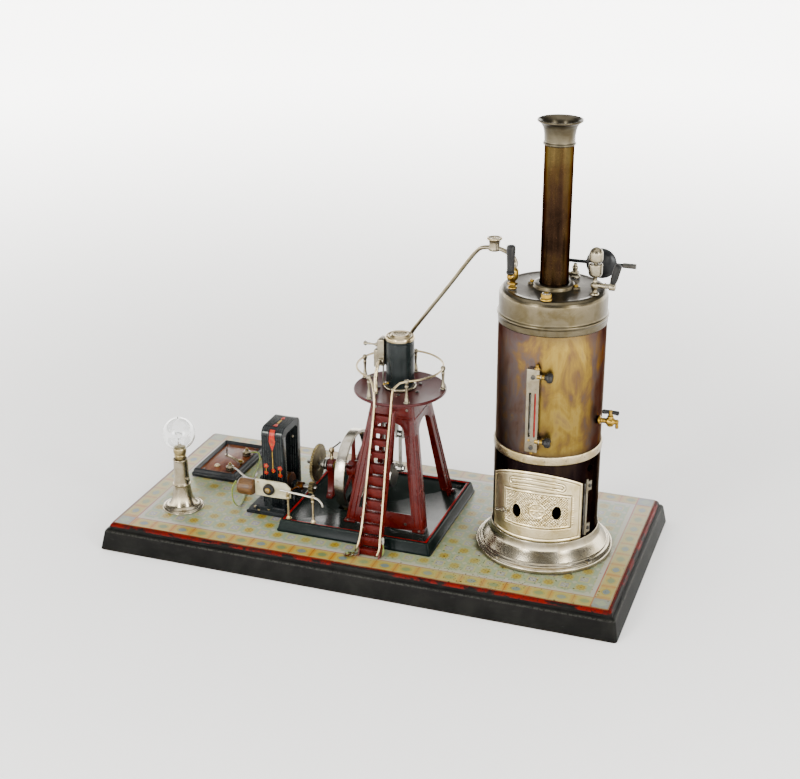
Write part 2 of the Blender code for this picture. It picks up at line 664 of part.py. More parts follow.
def build_switchboard():
    x, y = BOARD
    floor = PLATE_TOP + GAP
    levels = [(27.5, 43.5, floor), (27.5, 43.5, 33.5), (25.5, 41.5, 38.2), (23.5, 39.5, 38.2), (22.0, 38.0, 34.5),
              (21.2, 37.2, 34.5), (21.2, 37.2, 31.5)]
    finish("switchboard_frame", "black_lacquer", stacked_mesh(levels, (x, y), 1.2))
    panel = box_mesh((x - 20.6, y - 36.6, 31.8), (x + 20.6, y + 36.6, PANEL_TOP), 0.3)
    board = finish("switchboard_panel", "board_panel", panel)
    contact = [(0, 0), (3.4, 0), (3.4, 1.4), (2.0, 1.9), (2.0, 2.6), (0, 2.6)]
    joined(board, turned_mesh(contact, (*CONTACT, PANEL_TOP - 0.3), steps=10),
           turned_mesh(rod_profile(1.5, 3.0), (*SWITCH_PIVOT, PANEL_TOP - 0.3), steps=8))
    nut = [(1.6, 0), (4.6, 0), (5.0, 0.8), (5.0, 4.0), (4.4, 4.8), (2.8, 5.2), (2.4, 7.6), (1.6, 7.6)]
    for name, spot in (("terminal_front", TERMINAL_FRONT), ("terminal_rear", TERMINAL_REAR)):
        joined(board, turned_mesh(rod_profile(1.3, 9.6), (*spot, PANEL_TOP - 0.3), steps=8))
        turned(name, "nickel", nut, (*spot, PANEL_TOP + GAP), steps=12, ring=True)
    build_switch_lever()


def build_switch_lever():
    """A blade on a pivot, which swings over to the contact; a pin near its free end is the handle."""
    low = PANEL_TOP + 2.7 + GAP
    pivot = Vector((*SWITCH_PIVOT, low))
    tip = Vector((*LEVER_TIP, low))
    way = (tip - pivot).normalized()
    side = Vector((-way.y, way.x, 0))
    outline = [pivot - way * 4 + side * 2.6, tip + side * 1.9, tip + way * 1.8, tip - side * 1.9,
               pivot - way * 4 - side * 2.6]
    bm = slab_mesh([(p.x, p.y) for p in outline], low, low + 1.2, "Z")
    lever = finish("switch_lever", "brass", bm, pivot)
    handle = [(0, 0), (1.4, 0), (0.8, 1.2), (0.8, 8.0), (1.2, 9.0), (0, 9.6)]
    screw = [(0, 0), (2.6, 0), (2.6, 1.6), (0, 2.2)]
    joined(lever, turned_mesh(handle, tip - way * 1.5 + Vector((0, 0, 0.8)), steps=8),
           turned_mesh(screw, pivot + Vector((0, 0, 0.8)), steps=10))


def build_lamp():
    x, y = LAMP
    floor = PLATE_TOP + GAP
    column = [(0, 0), (22.3, 0), (21.8, 1.8), (15.5, 3.8), (12.0, 8.0), (9.8, 15.0), (9.6, 26.5), (10.4, 28.0),
              (7.6, 30.6), (7.0, 50.0), (8.2, 51.0), (8.4, 58.5), (6.4, 58.5), (6.4, 51.5), (0, 51.5)]
    lamp = turned("lamp_column", "nickel", column, (x, y, floor), steps=16)
    joined(lamp, turned_mesh(rod_profile(1.3, 5.0), (x + 5.5, y - 4, floor + 41), "X", 6))
    low = floor + 51.5 + GAP
    centre = 114.7 - low
    globe = [(17.8 * cos(radians(a)), centre + 17.8 * sin(radians(a))) for a in range(-66, 76, 20)]
    bulb = [(0, 0), (5.9, 0.6), (5.9, 7.4), *globe, (2.0, centre + 18.4), (0, centre + 20.4)]
    turned("bulb", "glass", bulb, (x, y, low), steps=14)


# ---------------------------------------------------------------- boiler


def build_boiler_foot():
    floor = PLATE_TOP + GAP
    profile = [(46, floor), (70.5, floor), (70.5, 33.6), (69.0, 35.0), (64.0, 36.0), (63.0, 39.0), (58.0, 44.0),
               (55.6, 50.0), (55.2, 56.4), (53.9, 56.4), (53.9, 50.0), (46, 50.0)]
    turned("boiler_foot", "nickel", profile, (*BOILER, 0), steps=24, ring=True, origin=(*BOILER, floor))


DOOR_ANGLES = (-146.0, -35.0)   # the door's left and right edges round the boiler, in degrees
DOOR_FOOT = 57.0
DOOR_SIDE = 117.0               # its arched top at the sides
DOOR_CROWN = 133.0              # and at the middle
HINGE_ANGLE = -33.0
AIR_HOLES = (-107.5, -64.5)
LATCH_ANGLE = -124.5


def sector_mesh(inner, outer, start, end, low, high, steps=8):
    """A curved plate round the boiler's axis."""
    arc_out = circle(BOILER, outer, start, end, steps)
    arc_in = circle(BOILER, inner, end, start, steps)
    return slab_mesh([*arc_out, *arc_in], low, high, "Z")


def radial(angle, radius, z):
    return Vector((BOILER[0] + radius * cos(radians(angle)), BOILER[1] + radius * sin(radians(angle)), z))


def radial_bar(angle, inner, outer, z, radius, sides=8):
    return pipe_mesh([radial(angle, inner, z), radial(angle, outer, z)], radius, sides)


def door_top(angle):
    """Height of the door's arched top edge."""
    first, last = DOOR_ANGLES
    share = (2 * angle - first - last) / (last - first)
    return DOOR_CROWN - (DOOR_CROWN - DOOR_SIDE) * share ** 2


def arched_mesh(inner, outer, margin, steps):
    """A curved plate with the door's outline, drawn in all round by a margin. At this radius 1 degree is about 1 mm."""
    bm = bmesh.new()
    start = DOOR_ANGLES[0] + margin
    end = DOOR_ANGLES[1] - margin
    sections = []
    for number in range(steps + 1):
        angle = start + (end - start) * number / steps
        low = DOOR_FOOT + margin
        high = door_top(angle) - margin
        corners = ((inner, low), (outer, low), (outer, high), (inner, high))
        sections.append([bm.verts.new(radial(angle, radius, z)) for radius, z in corners])
    for before, after in zip(sections, sections[1:]):
        for i in range(4):
            j = (i + 1) % 4
            bm.faces.new((before[i], before[j], after[j], after[i]))
    bm.faces.new(sections[0])
    bm.faces.new(sections[-1])
    return bm


def build_firebox():
    low = 50.0 + GAP
    high = 141.0 - GAP
    shell = [(51.6, low), (53.5, low), (53.5, high), (51.6, high)]
    firebox = turned("firebox_shell", "burnt_brass", shell, (*BOILER, 0), steps=24, ring=True, origin=(*BOILER, low))
    holes = [radial_bar(angle, 40, 70, 131.0, 3.8) for angle in (-172, -24, 9, 42, 75, 108, 141)]
    cut(firebox, arched_mesh(40, 70, 6.0, 12), *holes)
    strip = sector_mesh(53.0, 54.8, HINGE_ANGLE + 3.5, HINGE_ANGLE + 11.0, 60.0, 118.0, 2)
    screws = [radial_bar(HINGE_ANGLE + 8.5, 54.0, 56.4, z, 1.7, 10) for z in (65.0, 112.0)]
    joined(firebox, strip, *screws)


def build_door():
    """The stoking door turns on a pin at its right edge. Its latch turns on the door's left edge."""
    pivot = radial(HINGE_ANGLE, 55.6, 0)
    middle = (DOOR_FOOT + DOOR_CROWN) / 2
    door = finish("firebox_door", "nickel", arched_mesh(53.9, 55.3, 0.0, 16), (pivot.x, pivot.y, middle))
    cut(door, *[radial_bar(angle, 48, 62, 89.0, 4.6, 12) for angle in AIR_HOLES])
    build_latch(radial(LATCH_ANGLE, 56.8, 83.0))


def build_latch(at):
    out = Vector((at.x - BOILER[0], at.y - BOILER[1], 0)).normalized()
    across = Vector((-out.y, out.x, 0))
    centre = at + out * 1.6
    bm = pipe_mesh([at - out * 1.2, centre + out * 1.4], 1.5, 10)
    latch = finish("door_latch", "nickel", bm, at)
    wing = 8.5
    wings = []
    for side in (-1, 1):
        tip = centre + across * side * wing
        wings.append(pipe_mesh([centre, centre + across * side * 2.5 + Vector((0, 0, side * 0.8)),
                                tip + Vector((0, 0, side * 1.4))], 1.2, 8))
    joined(latch, *wings)


def build_burner():
    """A flat spirit tank with three wick tubes, standing inside the boiler's foot."""
    floor = PLATE_TOP + GAP
    tank = [(0, floor), (36, floor), (37, floor + 1), (37, 49), (35, 51), (0, 51)]
    burner = turned("spirit_burner", "brass", tank, (*BOILER, 0), steps=20, origin=(*BOILER, floor))
    tubes = []
    for number in range(3):
        angle = radians(90 + 120 * number)
        at = (BOILER[0] + 17 * cos(angle), BOILER[1] + 17 * sin(angle), 49)
        tubes.append(turned_mesh([(0, 0), (5.5, 0), (5.5, 26), (4.6, 26), (4.6, 31), (0, 32)], at, steps=8))
    joined(burner, *tubes)


def build_drum():
    """The pressure shell, open at the top under its cap, with the flue passing through it."""
    low, high = DRUM_Z
    shell = [(14.6, low), (SHELL_R, low), (SHELL_R, high - GAP), (SHELL_R - 1.4, high - GAP), (SHELL_R - 1.4, low + 3),
             (14.6, low + 3)]
    drum = turned("boiler_drum", "heated_brass", shell, (*BOILER, 0), steps=24, ring=True, origin=(*BOILER, low))
    band = [(51.6, 141.0), (54.0, 141.0), (54.4, 142.2), (54.4, 148.8), (54.0, 150.4), (51.6, 150.4)]
    joined(drum, turned_mesh(band, (*BOILER, 0), steps=24, ring=True))
    top = BOILER_TOP
    cap = [(14.6, top - 3), (SHELL_R - 1.4, top - 6), (SHELL_R - 1.4, high), (53.5, high), (53.5, 281.0), (54.6, 282.8),
           (53.2, 285.0), (52.8, 304.0), (50.0, 307.6), (47.0, top), (20.2, top), (19.8, top + 3.2),
           (17.6, top + 4.2), (14.6, top + 4.2)]
    dome = turned("boiler_cap", "nickel", cap, (*BOILER, 0), steps=24, ring=True, origin=(*BOILER, high))
    lugs = []
    for side in (-1, 1):
        at = Vector((BOILER[0] + side * 20.5, BOILER[1] - side * 1.0, top - 1))
        lugs.append(turned_mesh(rod_profile(4.4, 2.6), at, steps=8))
        lugs.append(turned_mesh([(0, 0), (2.4, 0), (2.2, 4.4), (0, 4.8)], at, steps=6))
    joined(dome, *lugs)


def build_chimney():
    tube = [(12.6, 153.6), (14.0, 153.6), (14.0, 446.4), (12.6, 446.4)]
    turned("chimney", "burnt_brass", tube, (*BOILER, 0), steps=20, ring=True, origin=(*BOILER, 153.6))
    low = 446.4 + GAP
    crown = [(12.6, low), (15.2, low), (15.2, 449.0), (14.6, 450.0), (15.0, 459.0), (17.4, 466.0), (21.3, 468.8),
             (21.0, CHIMNEY_TOP), (18.0, 469.6), (14.6, 465.0), (13.0, 455.0)]
    turned("chimney_crown", "nickel", crown, (*BOILER, 0), steps=20, ring=True, origin=(*BOILER, low))


# ---------------------------------------------------------------- boiler fittings

PLUG = (179.3, -54.0)
STOP_VALVE = (140.0, -31.0)
WHISTLE = (218.5, -24.0)
SAFETY = (188.8, 21.5)
LEVER_Z = 325.5


def build_filler_plug():
    profile = [(0, 0), (5.6, 0), (5.6, 1.6), (4.6, 2.2), (4.4, 4.4), (5.0, 5.0), (5.0, 6.6), (3.4, 7.4), (0, 7.4)]
    turned("filler_plug", "nickel", profile, (*PLUG, BOILER_TOP + GAP), steps=10)


def build_stop_valve():
    """The steam valve on the boiler, whose wooden handle turns its plug."""
    base = BOILER_TOP + GAP
    stem = [(0, 0), (4.6, 0), (4.6, 1.6), (2.9, 3.2), (2.9, 7.5), (5.2, 9.6), (5.4, 19.0), (4.2, 20.6), (0, 20.6)]
    valve = turned("stop_valve", "brass", stem, (*STOP_VALVE, base), steps=10)
    boss = turned_mesh(rod_profile(3.4, 13.0, 0.6), (STOP_VALVE[0], STOP_VALVE[1] + 5.5, base + 14), "-Y", 8)
    branch = [(STOP_VALVE[0], STOP_VALVE[1], base + 15), (STOP_VALVE[0], STOP_VALVE[1] + 6.0, base + 16.5)]
    joined(valve, boss, pipe_mesh(branch, 2.8, 10))
    hub = Vector((STOP_VALVE[0], STOP_VALVE[1] - 7.5 - GAP, base + 14))
    grip = [(0, 3.0), (2.2, 3.0), (4.2, 4.0), (3.6, 7.0), (3.9, 16.0), (4.3, 26.0), (3.6, 30.2), (2.0, 31.6), (0, 31.6)]
    handle = turned("stop_valve_handle", "black_wood", grip, (hub.x, hub.y - 2.6, hub.z), steps=10, origin=hub)
    joined(handle, turned_mesh(rod_profile(3.4, 5.4, 0.5), hub, "-Y", 8))


def build_steam_pipe():
    """Steam pipe from the stop valve, over and down to the back of the cylinder, with its lubricator cup."""
    top = 343.5
    run = [(STOP_VALVE[0], STOP_VALVE[1] + 8.2, 326.6), (140.0, -21.0, 331.5), (137.5, -22.5, 337.5),
           (132.0, -24.0, 341.5), (126.0, -25.0, top + 0.8), (119.4, -25.0, top + 1.5), (112.5, -23.5, top + 1.0),
           (105.0, -19.5, top - 1.5), (99.0, -15.5, 337.0), (90.0, -11.0, 326.0), (64.0, 1.2, 290.5),
           (38.0, 12.0, 256.0), (22.5, 18.6, 235.0), (18.0, 20.6, 226.0), (16.0, 21.4, 214.0), (15.2, 20.6, 205.0),
           (14.6, 18.6, 201.2), (14.2, 16.0, 200.4)]
    line = pipe("steam_pipe", "nickel", smooth_route(run, 2), 2.1, 8)
    cup = [(0, 0), (5.6, 0), (6.0, 1.0), (5.4, 2.0), (5.2, 8.5), (5.6, 9.2), (0, 9.2)]
    joined(line, turned_mesh(cup, (119.4, -25.0, top - 1.2), steps=10))
    lid = [(0, 0), (5.0, 0), (5.4, 1.0), (7.4, 2.2), (7.6, 3.2), (6.4, 3.8), (0, 3.8)]
    turned("lubricator_lid", "nickel", lid, (119.4, -25.0, top + 8.0 + GAP), steps=10)


def build_whistle():
    base = BOILER_TOP + GAP
    x, y = WHISTLE
    body = [(0, 0), (4.2, 0), (4.0, 2.0), (2.2, 3.0), (2.4, 6.0), (3.8, 8.0), (3.8, 11.0), (2.0, 12.6), (2.2, 17.0),
            (5.6, 19.0), (6.6, 21.0), (6.6, 30.5), (5.6, 31.0), (2.0, 31.0), (2.0, 33.0), (6.4, 33.4), (6.4, 40.5),
            (5.4, 44.0), (3.2, 46.2), (0, 46.8)]
    whistle = turned("whistle", "nickel", body, (x, y, base), steps=12)
    side = turned_mesh(rod_profile(2.4, 12.0, 0.4), (x + 2.0, y, base + 9.5), "X", 8)
    joined(whistle, side)
    hub = Vector((x + 14.0 + GAP, y, base + 9.5))
    tap = turned("whistle_tap", "nickel", [(0, 0), (3.6, 0), (3.8, 0.8), (3.8, 5.4), (3.2, 6.2), (0, 6.2)], hub, "X", 8)
    grip = [hub + Vector((3.0, 0, 2.4)), hub + Vector((4.4, 0, 8.0)), hub + Vector((6.4, 0, 16.0)),
            hub + Vector((8.2, 0, 23.0))]
    joined(tap, pipe_mesh(grip, 3.6, 10))


def build_safety_valve():
    """A weighted lever on a fulcrum behind the chimney; the weight slides along the lever."""
    x, y = SAFETY
    base = BOILER_TOP + GAP
    seat = [(0, 0), (5.2, 0), (5.2, 2.0), (3.0, 3.2), (2.6, 9.0), (3.0, 10.5), (2.2, 12.0), (2.0, 14.6), (0, 14.6)]
    valve = turned("safety_valve", "nickel", seat, (x, y, base), steps=10)
    fulcrum_x = x - 13.0
    link_bar = pipe_mesh([(x, y, base + 3.0), (fulcrum_x, y, base + 3.0)], 2.0, 8)
    post = box_mesh((fulcrum_x - 2.4, y - 4.6, base + 0.2), (fulcrum_x + 2.4, y - 2.4, LEVER_Z + 2.6))
    other = box_mesh((fulcrum_x - 2.4, y + 2.4, base + 0.2), (fulcrum_x + 2.4, y + 4.6, LEVER_Z + 2.6))
    foot = box_mesh((fulcrum_x - 2.4, y - 4.6, base + 0.2), (fulcrum_x + 2.4, y + 4.6, base + 4.0))
    joined(valve, link_bar, post, other, foot)
    lever = turned("safety_lever", "black_lacquer", rod_profile(1.7, 74.0, 0.4), (fulcrum_x - 5, y, LEVER_Z), "X", 8,
                   origin=(fulcrum_x, y, LEVER_Z))
    tip = turned_mesh(rod_profile(2.5, 13.0, 0.4), (235.5, y, LEVER_Z), "X", 8)
    joined(lever, tip)
    half = [(15.2, 0), (14.6, 1.2), (11.5, 3.6), (7.0, 5.2), (0, 5.6)]
    profile = [*[(r, -h) for r, h in half[:0:-1]], *half]
    weight = turned("safety_weight", "black_lacquer", profile, (214.5, y, LEVER_Z), "Y", 16)
    cut(weight, turned_mesh(rod_profile(1.7 + GAP, 60.0), (186, y, LEVER_Z), "X", 8))


def build_gauge():
    """The water gauge: a channel with a glass between two cocks."""
    x = 173.0
    front = BOILER[1] - SHELL_R
    low, high = 156.5, 243.0
    plate = box("gauge_frame", "nickel", (x - 6.2, front - 6.4, low), (x + 6.2, front - 0.8, high), 0.5)
    slot = box_mesh((x - 2.4, front - 10.0, low + 15), (x + 2.4, front - 2.4, high - 15))
    cut(plate, slot)
    stubs = []
    for z in (236.0, 168.5):
        stubs.append(pipe_mesh([(x + 4.0, front - 5.4, z), (x + 11.0, front - 5.4, z)], 2.3, 8))
    stubs.append(turned_mesh([(0, 0), (2.6, 0), (2.6, 2.4), (1.6, 3.0), (1.6, 5.2), (0, 5.6)],
                             (x + 3.2, front - 3.4, high - 1), steps=8))
    for z in (low + 5, high - 8):
        stubs.append(turned_mesh([(0, 0), (1.9, 0), (1.5, 1.2), (0, 1.4)], (x, front - 6.2, z), "-Y", 8))
    joined(plate, *stubs)
    glass = rod_profile(1.9, high - low - 30.6)
    turned("gauge_glass", "glass", glass, (x, front - 4.6, low + 15.3), steps=8)
    knob = [(0, 0), (2.6, 0), (2.6, 1.4), (4.9, 2.2), (5.2, 4.0), (4.9, 6.6), (3.8, 8.0), (0, 8.2)]
    for name, z in (("gauge_cock_upper", 236.0), ("gauge_cock_lower", 168.5)):
        turned(name, "black_wood", knob, (x + 11.0 + GAP, front - 5.4, z), "X", 10)


def build_drain_cock():
    y = -22.0
    start = BOILER[0] + sqrt(SHELL_R ** 2 - (y - BOILER[1]) ** 2)
    z = 179.5
    profile = [(0, 1.4), (4.4, 1.4), (4.4, 3.4), (2.6, 4.4), (2.6, 9.0), (4.2, 10.0), (4.2, 16.0), (2.6, 17.2),
               (2.2, 21.0), (0, 21.4)]
    cock = turned("drain_cock", "brass", profile, (start, y, z), "X", 10)
    joined(cock, turned_mesh(rod_profile(3.0, 11.0, 0.5), (start + 13.0, y, z - 5.0), steps=8),
           turned_mesh(rod_profile(1.7, 7.0), (start + 19.5, y, z - 7.0), steps=8))
    hub = Vector((start + 13.0, y, z + 6.0 + GAP))
    handle = turned("drain_cock_handle", "black_wood", [(0, 0), (2.2, 0), (2.2, 5.0), (0, 5.6)], hub, steps=8)
    bar = [hub + Vector((-8.5, 0, 3.0)), hub + Vector((-4.0, 0, 3.2)), hub + Vector((4.0, 0, 3.2)),
           hub + Vector((8.5, 0, 3.0))]
    joined(handle, pipe_mesh(bar, 2.1, 8))


# ---------------------------------------------------------------- the whole plant


def clear_scene():
    for old in list(bpy.data.objects):
        bpy.data.objects.remove(old, do_unlink=True)


def main():
    clear_scene()
    build_base()
    build_tray()
    build_tray_rail()
    build_tower()
    build_main_bearing()
    build_platform()
    build_platform_railing()
    build_ladder()
    build_cylinder()
    build_valve_chest()
    build_oil_cock()
    build_piston()
    build_links()
    build_valve_rod()
    build_crankshaft()
    build_flywheel()
    build_drive_gear()
    build_bearing_standard()
    build_dynamo()
    build_armature()
    build_brush_gear()
    build_leads()
    build_switchboard()
    build_lamp()
    build_boiler_foot()
    build_firebox()
    build_door()
    build_burner()
    build_drum()
    build_chimney()
    build_filler_plug()
    build_stop_valve()
    build_steam_pipe()
    build_whistle()
    build_safety_valve()
    build_gauge()
    build_drain_cock()


main()
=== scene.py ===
"""The looks of a model steam plant: a boiler, an engine on a tower, and a dynamo that lights a lamp.

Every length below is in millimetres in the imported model's frame, and make() turns it into metres. A mesh
helper returns a bmesh, make() joins such meshes into one piece, and each piece rides on a CAD body.
"""

import json
import random
from math import atan2, cos, hypot, pi, radians, sin, sqrt

import bmesh
import bpy
from mathutils import Matrix, Vector


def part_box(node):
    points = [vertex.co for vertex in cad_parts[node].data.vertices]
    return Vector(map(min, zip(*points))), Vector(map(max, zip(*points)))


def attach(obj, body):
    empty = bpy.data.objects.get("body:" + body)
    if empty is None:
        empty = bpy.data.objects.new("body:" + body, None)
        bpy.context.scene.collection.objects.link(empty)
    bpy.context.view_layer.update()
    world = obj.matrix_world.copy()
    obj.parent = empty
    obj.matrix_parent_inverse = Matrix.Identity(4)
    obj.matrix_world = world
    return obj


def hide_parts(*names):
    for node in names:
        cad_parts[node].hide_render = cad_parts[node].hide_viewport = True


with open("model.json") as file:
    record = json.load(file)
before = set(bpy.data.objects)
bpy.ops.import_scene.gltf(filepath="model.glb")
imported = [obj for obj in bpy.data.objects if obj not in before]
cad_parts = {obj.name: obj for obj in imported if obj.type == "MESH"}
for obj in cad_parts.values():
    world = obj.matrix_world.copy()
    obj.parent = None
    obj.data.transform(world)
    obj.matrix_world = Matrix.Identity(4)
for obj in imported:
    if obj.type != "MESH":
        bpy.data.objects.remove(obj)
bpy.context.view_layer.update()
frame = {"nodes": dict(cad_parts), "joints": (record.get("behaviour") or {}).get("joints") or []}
MM = 0.001

AXES = {"X": Vector((1, 0, 0)), "-X": Vector((-1, 0, 0)), "Y": Vector((0, 1, 0)), "-Y": Vector((0, -1, 0)),
        "Z": Vector((0, 0, 1)), "-Z": Vector((0, 0, -1))}


# ---------------------------------------------------------------- places, from the frame


def low(node):
    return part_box(node)[0] / MM


def high(node):
    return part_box(node)[1] / MM


def middle(node):
    return (low(node) + high(node)) / 2


def joint_place(name):
    """Where a joint's axis stands, in millimetres."""
    found = next(joint for joint in frame["joints"] if joint["name"] == name)
    return Vector(found["pos_m"]) / MM


PLATE_TOP = high("printed_plate").z
PLATE_HALF = high("printed_plate").xy
BASE_HALF = high("base_box").xy
BOILER = middle("chimney").xy
BOILER_TOP = low("filler_plug").z - 0.3
BOILER_STEPS = 160      # sides of the boiler's round shells
ENGINE_X = middle("cylinder_cap").x
SHAFT_Z = joint_place("crank_turn").z
TRAY_RIM = high("engine_tray").z
TRAY_FLOOR = TRAY_RIM - 3.5
TRAY_MIDDLE = middle("engine_tray").xy
DYNAMO = joint_place("armature_turn")
LAMP = middle("bulb").xy
BOARD = middle("switchboard_frame").xy


# ---------------------------------------------------------------- mesh helpers


def soften(points, reach, ring=False, steps=3):
    """Rounds each corner of an outline with a short curve that starts up to reach before the corner."""
    count = len(points)
    out = []
    for i, point in enumerate(points):
        here = Vector(point)
        if not ring and i in (0, count - 1):
            out.append(here)
            continue
        back = Vector(points[i - 1]) - here
        on = Vector(points[(i + 1) % count]) - here
        cut = min(reach, 0.45 * back.length, 0.45 * on.length)
        if cut < 0.02 or back.angle(on) > radians(165):
            out.append(here)
            continue
        start = here + back.normalized() * cut
        end = here + on.normalized() * cut
        for step in range(steps + 1):
            t = step / steps
            out.append(start * (1 - t) ** 2 + here * (2 * t * (1 - t)) + end * t ** 2)
    return out


def facing(axis):
    """The rotation that takes +Z to an axis, given as a letter or a vector."""
    way = AXES[axis] if isinstance(axis, str) else Vector(axis).normalized()
    return AXES["Z"].rotation_difference(way).to_matrix().to_4x4()


def lathe(profile, at, axis="Z", steps=64, ring=False, soft=0.4):
    """A turned shape from (radius, height) pairs. With ring set, they close a loop round a bore."""
    points = soften(profile, soft, ring) if soft else [Vector(p) for p in profile]
    bm = bmesh.new()
    place = Matrix.Translation(Vector(at)) @ facing(axis)
    rows = []
    for r, h in points:
        count = steps if r > 1e-4 else 1
        row = [bm.verts.new(place @ Vector((r * cos(2 * pi * i / steps), r * sin(2 * pi * i / steps), h)))
               for i in range(count)]
        rows.append(row * steps if count == 1 else row)
    pairs = list(zip(rows, rows[1:])) + ([(rows[-1], rows[0])] if ring else [])
    for one, two in pairs:
        for i in range(steps):
            j = (i + 1) % steps
            corners = list(dict.fromkeys((one[i], one[j], two[j], two[i])))
            if len(corners) > 2:
                bm.faces.new(corners)
    return bm


def rod(radius, length, at, axis="Z", steps=32, edge=0.3):
    return lathe([(0, 0), (radius, 0), (radius, length), (0, length)], at, axis, steps, soft=edge)


def skinned(bm, rings):
    """Faces between rings of vertices, and over both ends."""
    for one, two in zip(rings, rings[1:]):
        for i in range(len(one)):
            j = (i + 1) % len(one)
            bm.faces.new((one[i], one[j], two[j], two[i]))
    bm.faces.new(rings[0])
    bm.faces.new(rings[-1])
    return bm


def bevel_edges(bm, width, segments=2, angle=30):
    sharp = [edge for edge in bm.edges
             if len(edge.link_faces) == 2 and edge.calc_face_angle(0) > radians(angle)]
    bmesh.ops.bevel(bm, geom=sharp, offset=width, segments=segments, affect="EDGES", profile=0.6,
                    clamp_overlap=True)
    return bm


def block(low_corner, high_corner, edge=0.4, segments=2):
    bm = bmesh.new()
    bmesh.ops.create_cube(bm, size=1.0)
    size = Vector(high_corner) - Vector(low_corner)
    bmesh.ops.scale(bm, verts=bm.verts, vec=size)
    bmesh.ops.translate(bm, verts=bm.verts, vec=Vector(low_corner) + size / 2)
    return bevel_edges(bm, edge, segments) if edge else bm


def slab(outline, start, end, axis="Z", edge=0.3, segments=2):
    """A closed outline pushed from start to end along X, Y or Z. For X the outline's points are (y, z)."""
    bm = bmesh.new()
    put = {"X": lambda u, v, w: (w, u, v), "Y": lambda u, v, w: (u, w, v),
           "Z": lambda u, v, w: (u, v, w)}[axis]
    rings = [[bm.verts.new(put(u, v, w)) for u, v in outline] for w in (start, end)]
    for i in range(len(outline)):
        j = (i + 1) % len(outline)
        bm.faces.new((rings[0][i], rings[0][j], rings[1][j], rings[1][i]))
    caps = [bm.faces.new(ring) for ring in rings]
    if edge:
        rims = {e for face in caps for e in face.edges}
        bmesh.ops.bevel(bm, geom=list(rims), offset=edge, segments=segments, affect="EDGES", profile=0.6,
                        clamp_overlap=True)
    return bm


def circle(centre, radius, start=0.0, end=360.0, steps=48):
    """Points on an arc, angles in degrees. A whole turn leaves out its last point."""
    count = steps if end - start == 360.0 else steps + 1
    angles = [radians(start + (end - start) * i / steps) for i in range(count)]
    return [(centre[0] + radius * cos(a), centre[1] + radius * sin(a)) for a in angles]


def on_circle(radius, angle):
    """One point round the engine's axis."""
    return circle((ENGINE_X, 0), radius, angle, angle + 1, 1)[0]


def smooth_route(points, pieces=6):
    """Points on a Catmull-Rom curve through the given ones."""
    route = [Vector(p) for p in points]
    ends = [route[0] * 2 - route[1], *route, route[-1] * 2 - route[-2]]
    out = []
    for a, b, c, d in zip(ends, ends[1:], ends[2:], ends[3:]):
        for step in range(pieces):
            t = step / pieces
            out.append(0.5 * ((2 * b) + (c - a) * t + (2 * a - 5 * b + 4 * c - d) * t * t
                              + (3 * b - a - 3 * c + d) * t ** 3))
    out.append(route[-1])
    return out


def tube(route, radius, sides=14, dome=0.5, flat=1.0):
    """A round bar along a route. radius is one number or one to a point; dome rounds its ends."""
    route = [Vector(p) for p in route]
    radii = list(radius) if hasattr(radius, "__len__") else [radius] * len(route)
    first = (route[1] - route[0]).normalized()
    last = (route[-1] - route[-2]).normalized()
    start_r, end_r = radii[0], radii[-1]
    head = [(route[0] + first * start_r * dome * (1 - cos(a)), start_r * sin(a)) for a in (0.5, 1.0)]
    tail = [(route[-1] - last * end_r * dome * (1 - cos(a)), end_r * sin(a)) for a in (1.0, 0.5)]
    points = [p for p, _ in head] + [route[0] + first * start_r * dome] + route[1:-1]
    points += [route[-1] - last * end_r * dome] + [p for p, _ in tail]
    radii = [r for _, r in head] + radii + [r for _, r in tail]
    bm = bmesh.new()
    inner = [(b - a).normalized() for a, b in zip(route, route[2:])]
    ways = [first] * 3 + inner + [last] * 3
    side = first.orthogonal().normalized()
    rings = []
    for point, way, size in zip(points, ways, radii):
        side = (side - way * side.dot(way)).normalized()
        other = way.cross(side) * flat
        rings.append([bm.verts.new(point + (side * cos(2 * pi * i / sides)
                                            + other * sin(2 * pi * i / sides)) * size)
                      for i in range(sides)])
    return skinned(bm, rings)


def stacked(levels, centre, radius, corner_steps=5, edge=0.4):
    """Rounded rectangles (half_x, half_y, z) skinned in order and closed at both ends."""
    bm = bmesh.new()
    rings = []
    for half_x, half_y, z in levels:
        corners = [(centre[0] + sx * half_x, centre[1] + sy * half_y) for sx, sy in
                   ((1, 1), (-1, 1), (-1, -1), (1, -1))]
        outline = soften(corners, radius, True, corner_steps)
        rings.append([bm.verts.new((x, y, z)) for x, y in outline])
    skinned(bm, rings)
    return bevel_edges(bm, edge, 2, 12) if edge else bm


def shifted(bm, by=(0, 0, 0), turn=0.0, axis="Z", about=(0, 0, 0)):
    """The mesh turned by an angle in degrees about a point, then moved."""
    if turn:
        bmesh.ops.rotate(bm, verts=bm.verts, cent=Vector(about),
                         matrix=Matrix.Rotation(radians(turn), 3, axis))
    bmesh.ops.translate(bm, verts=bm.verts, vec=Vector(by))
    return bm


def placed(bm, at, axis, turn=0.0):
    """The mesh turned about its own Z, in degrees, then set at a place with its Z along an axis."""
    if turn:
        bmesh.ops.rotate(bm, verts=bm.verts, cent=(0, 0, 0), matrix=Matrix.Rotation(radians(turn), 3, "Z"))
    bmesh.ops.transform(bm, verts=bm.verts, matrix=Matrix.Translation(Vector(at)) @ facing(axis))
    return bm


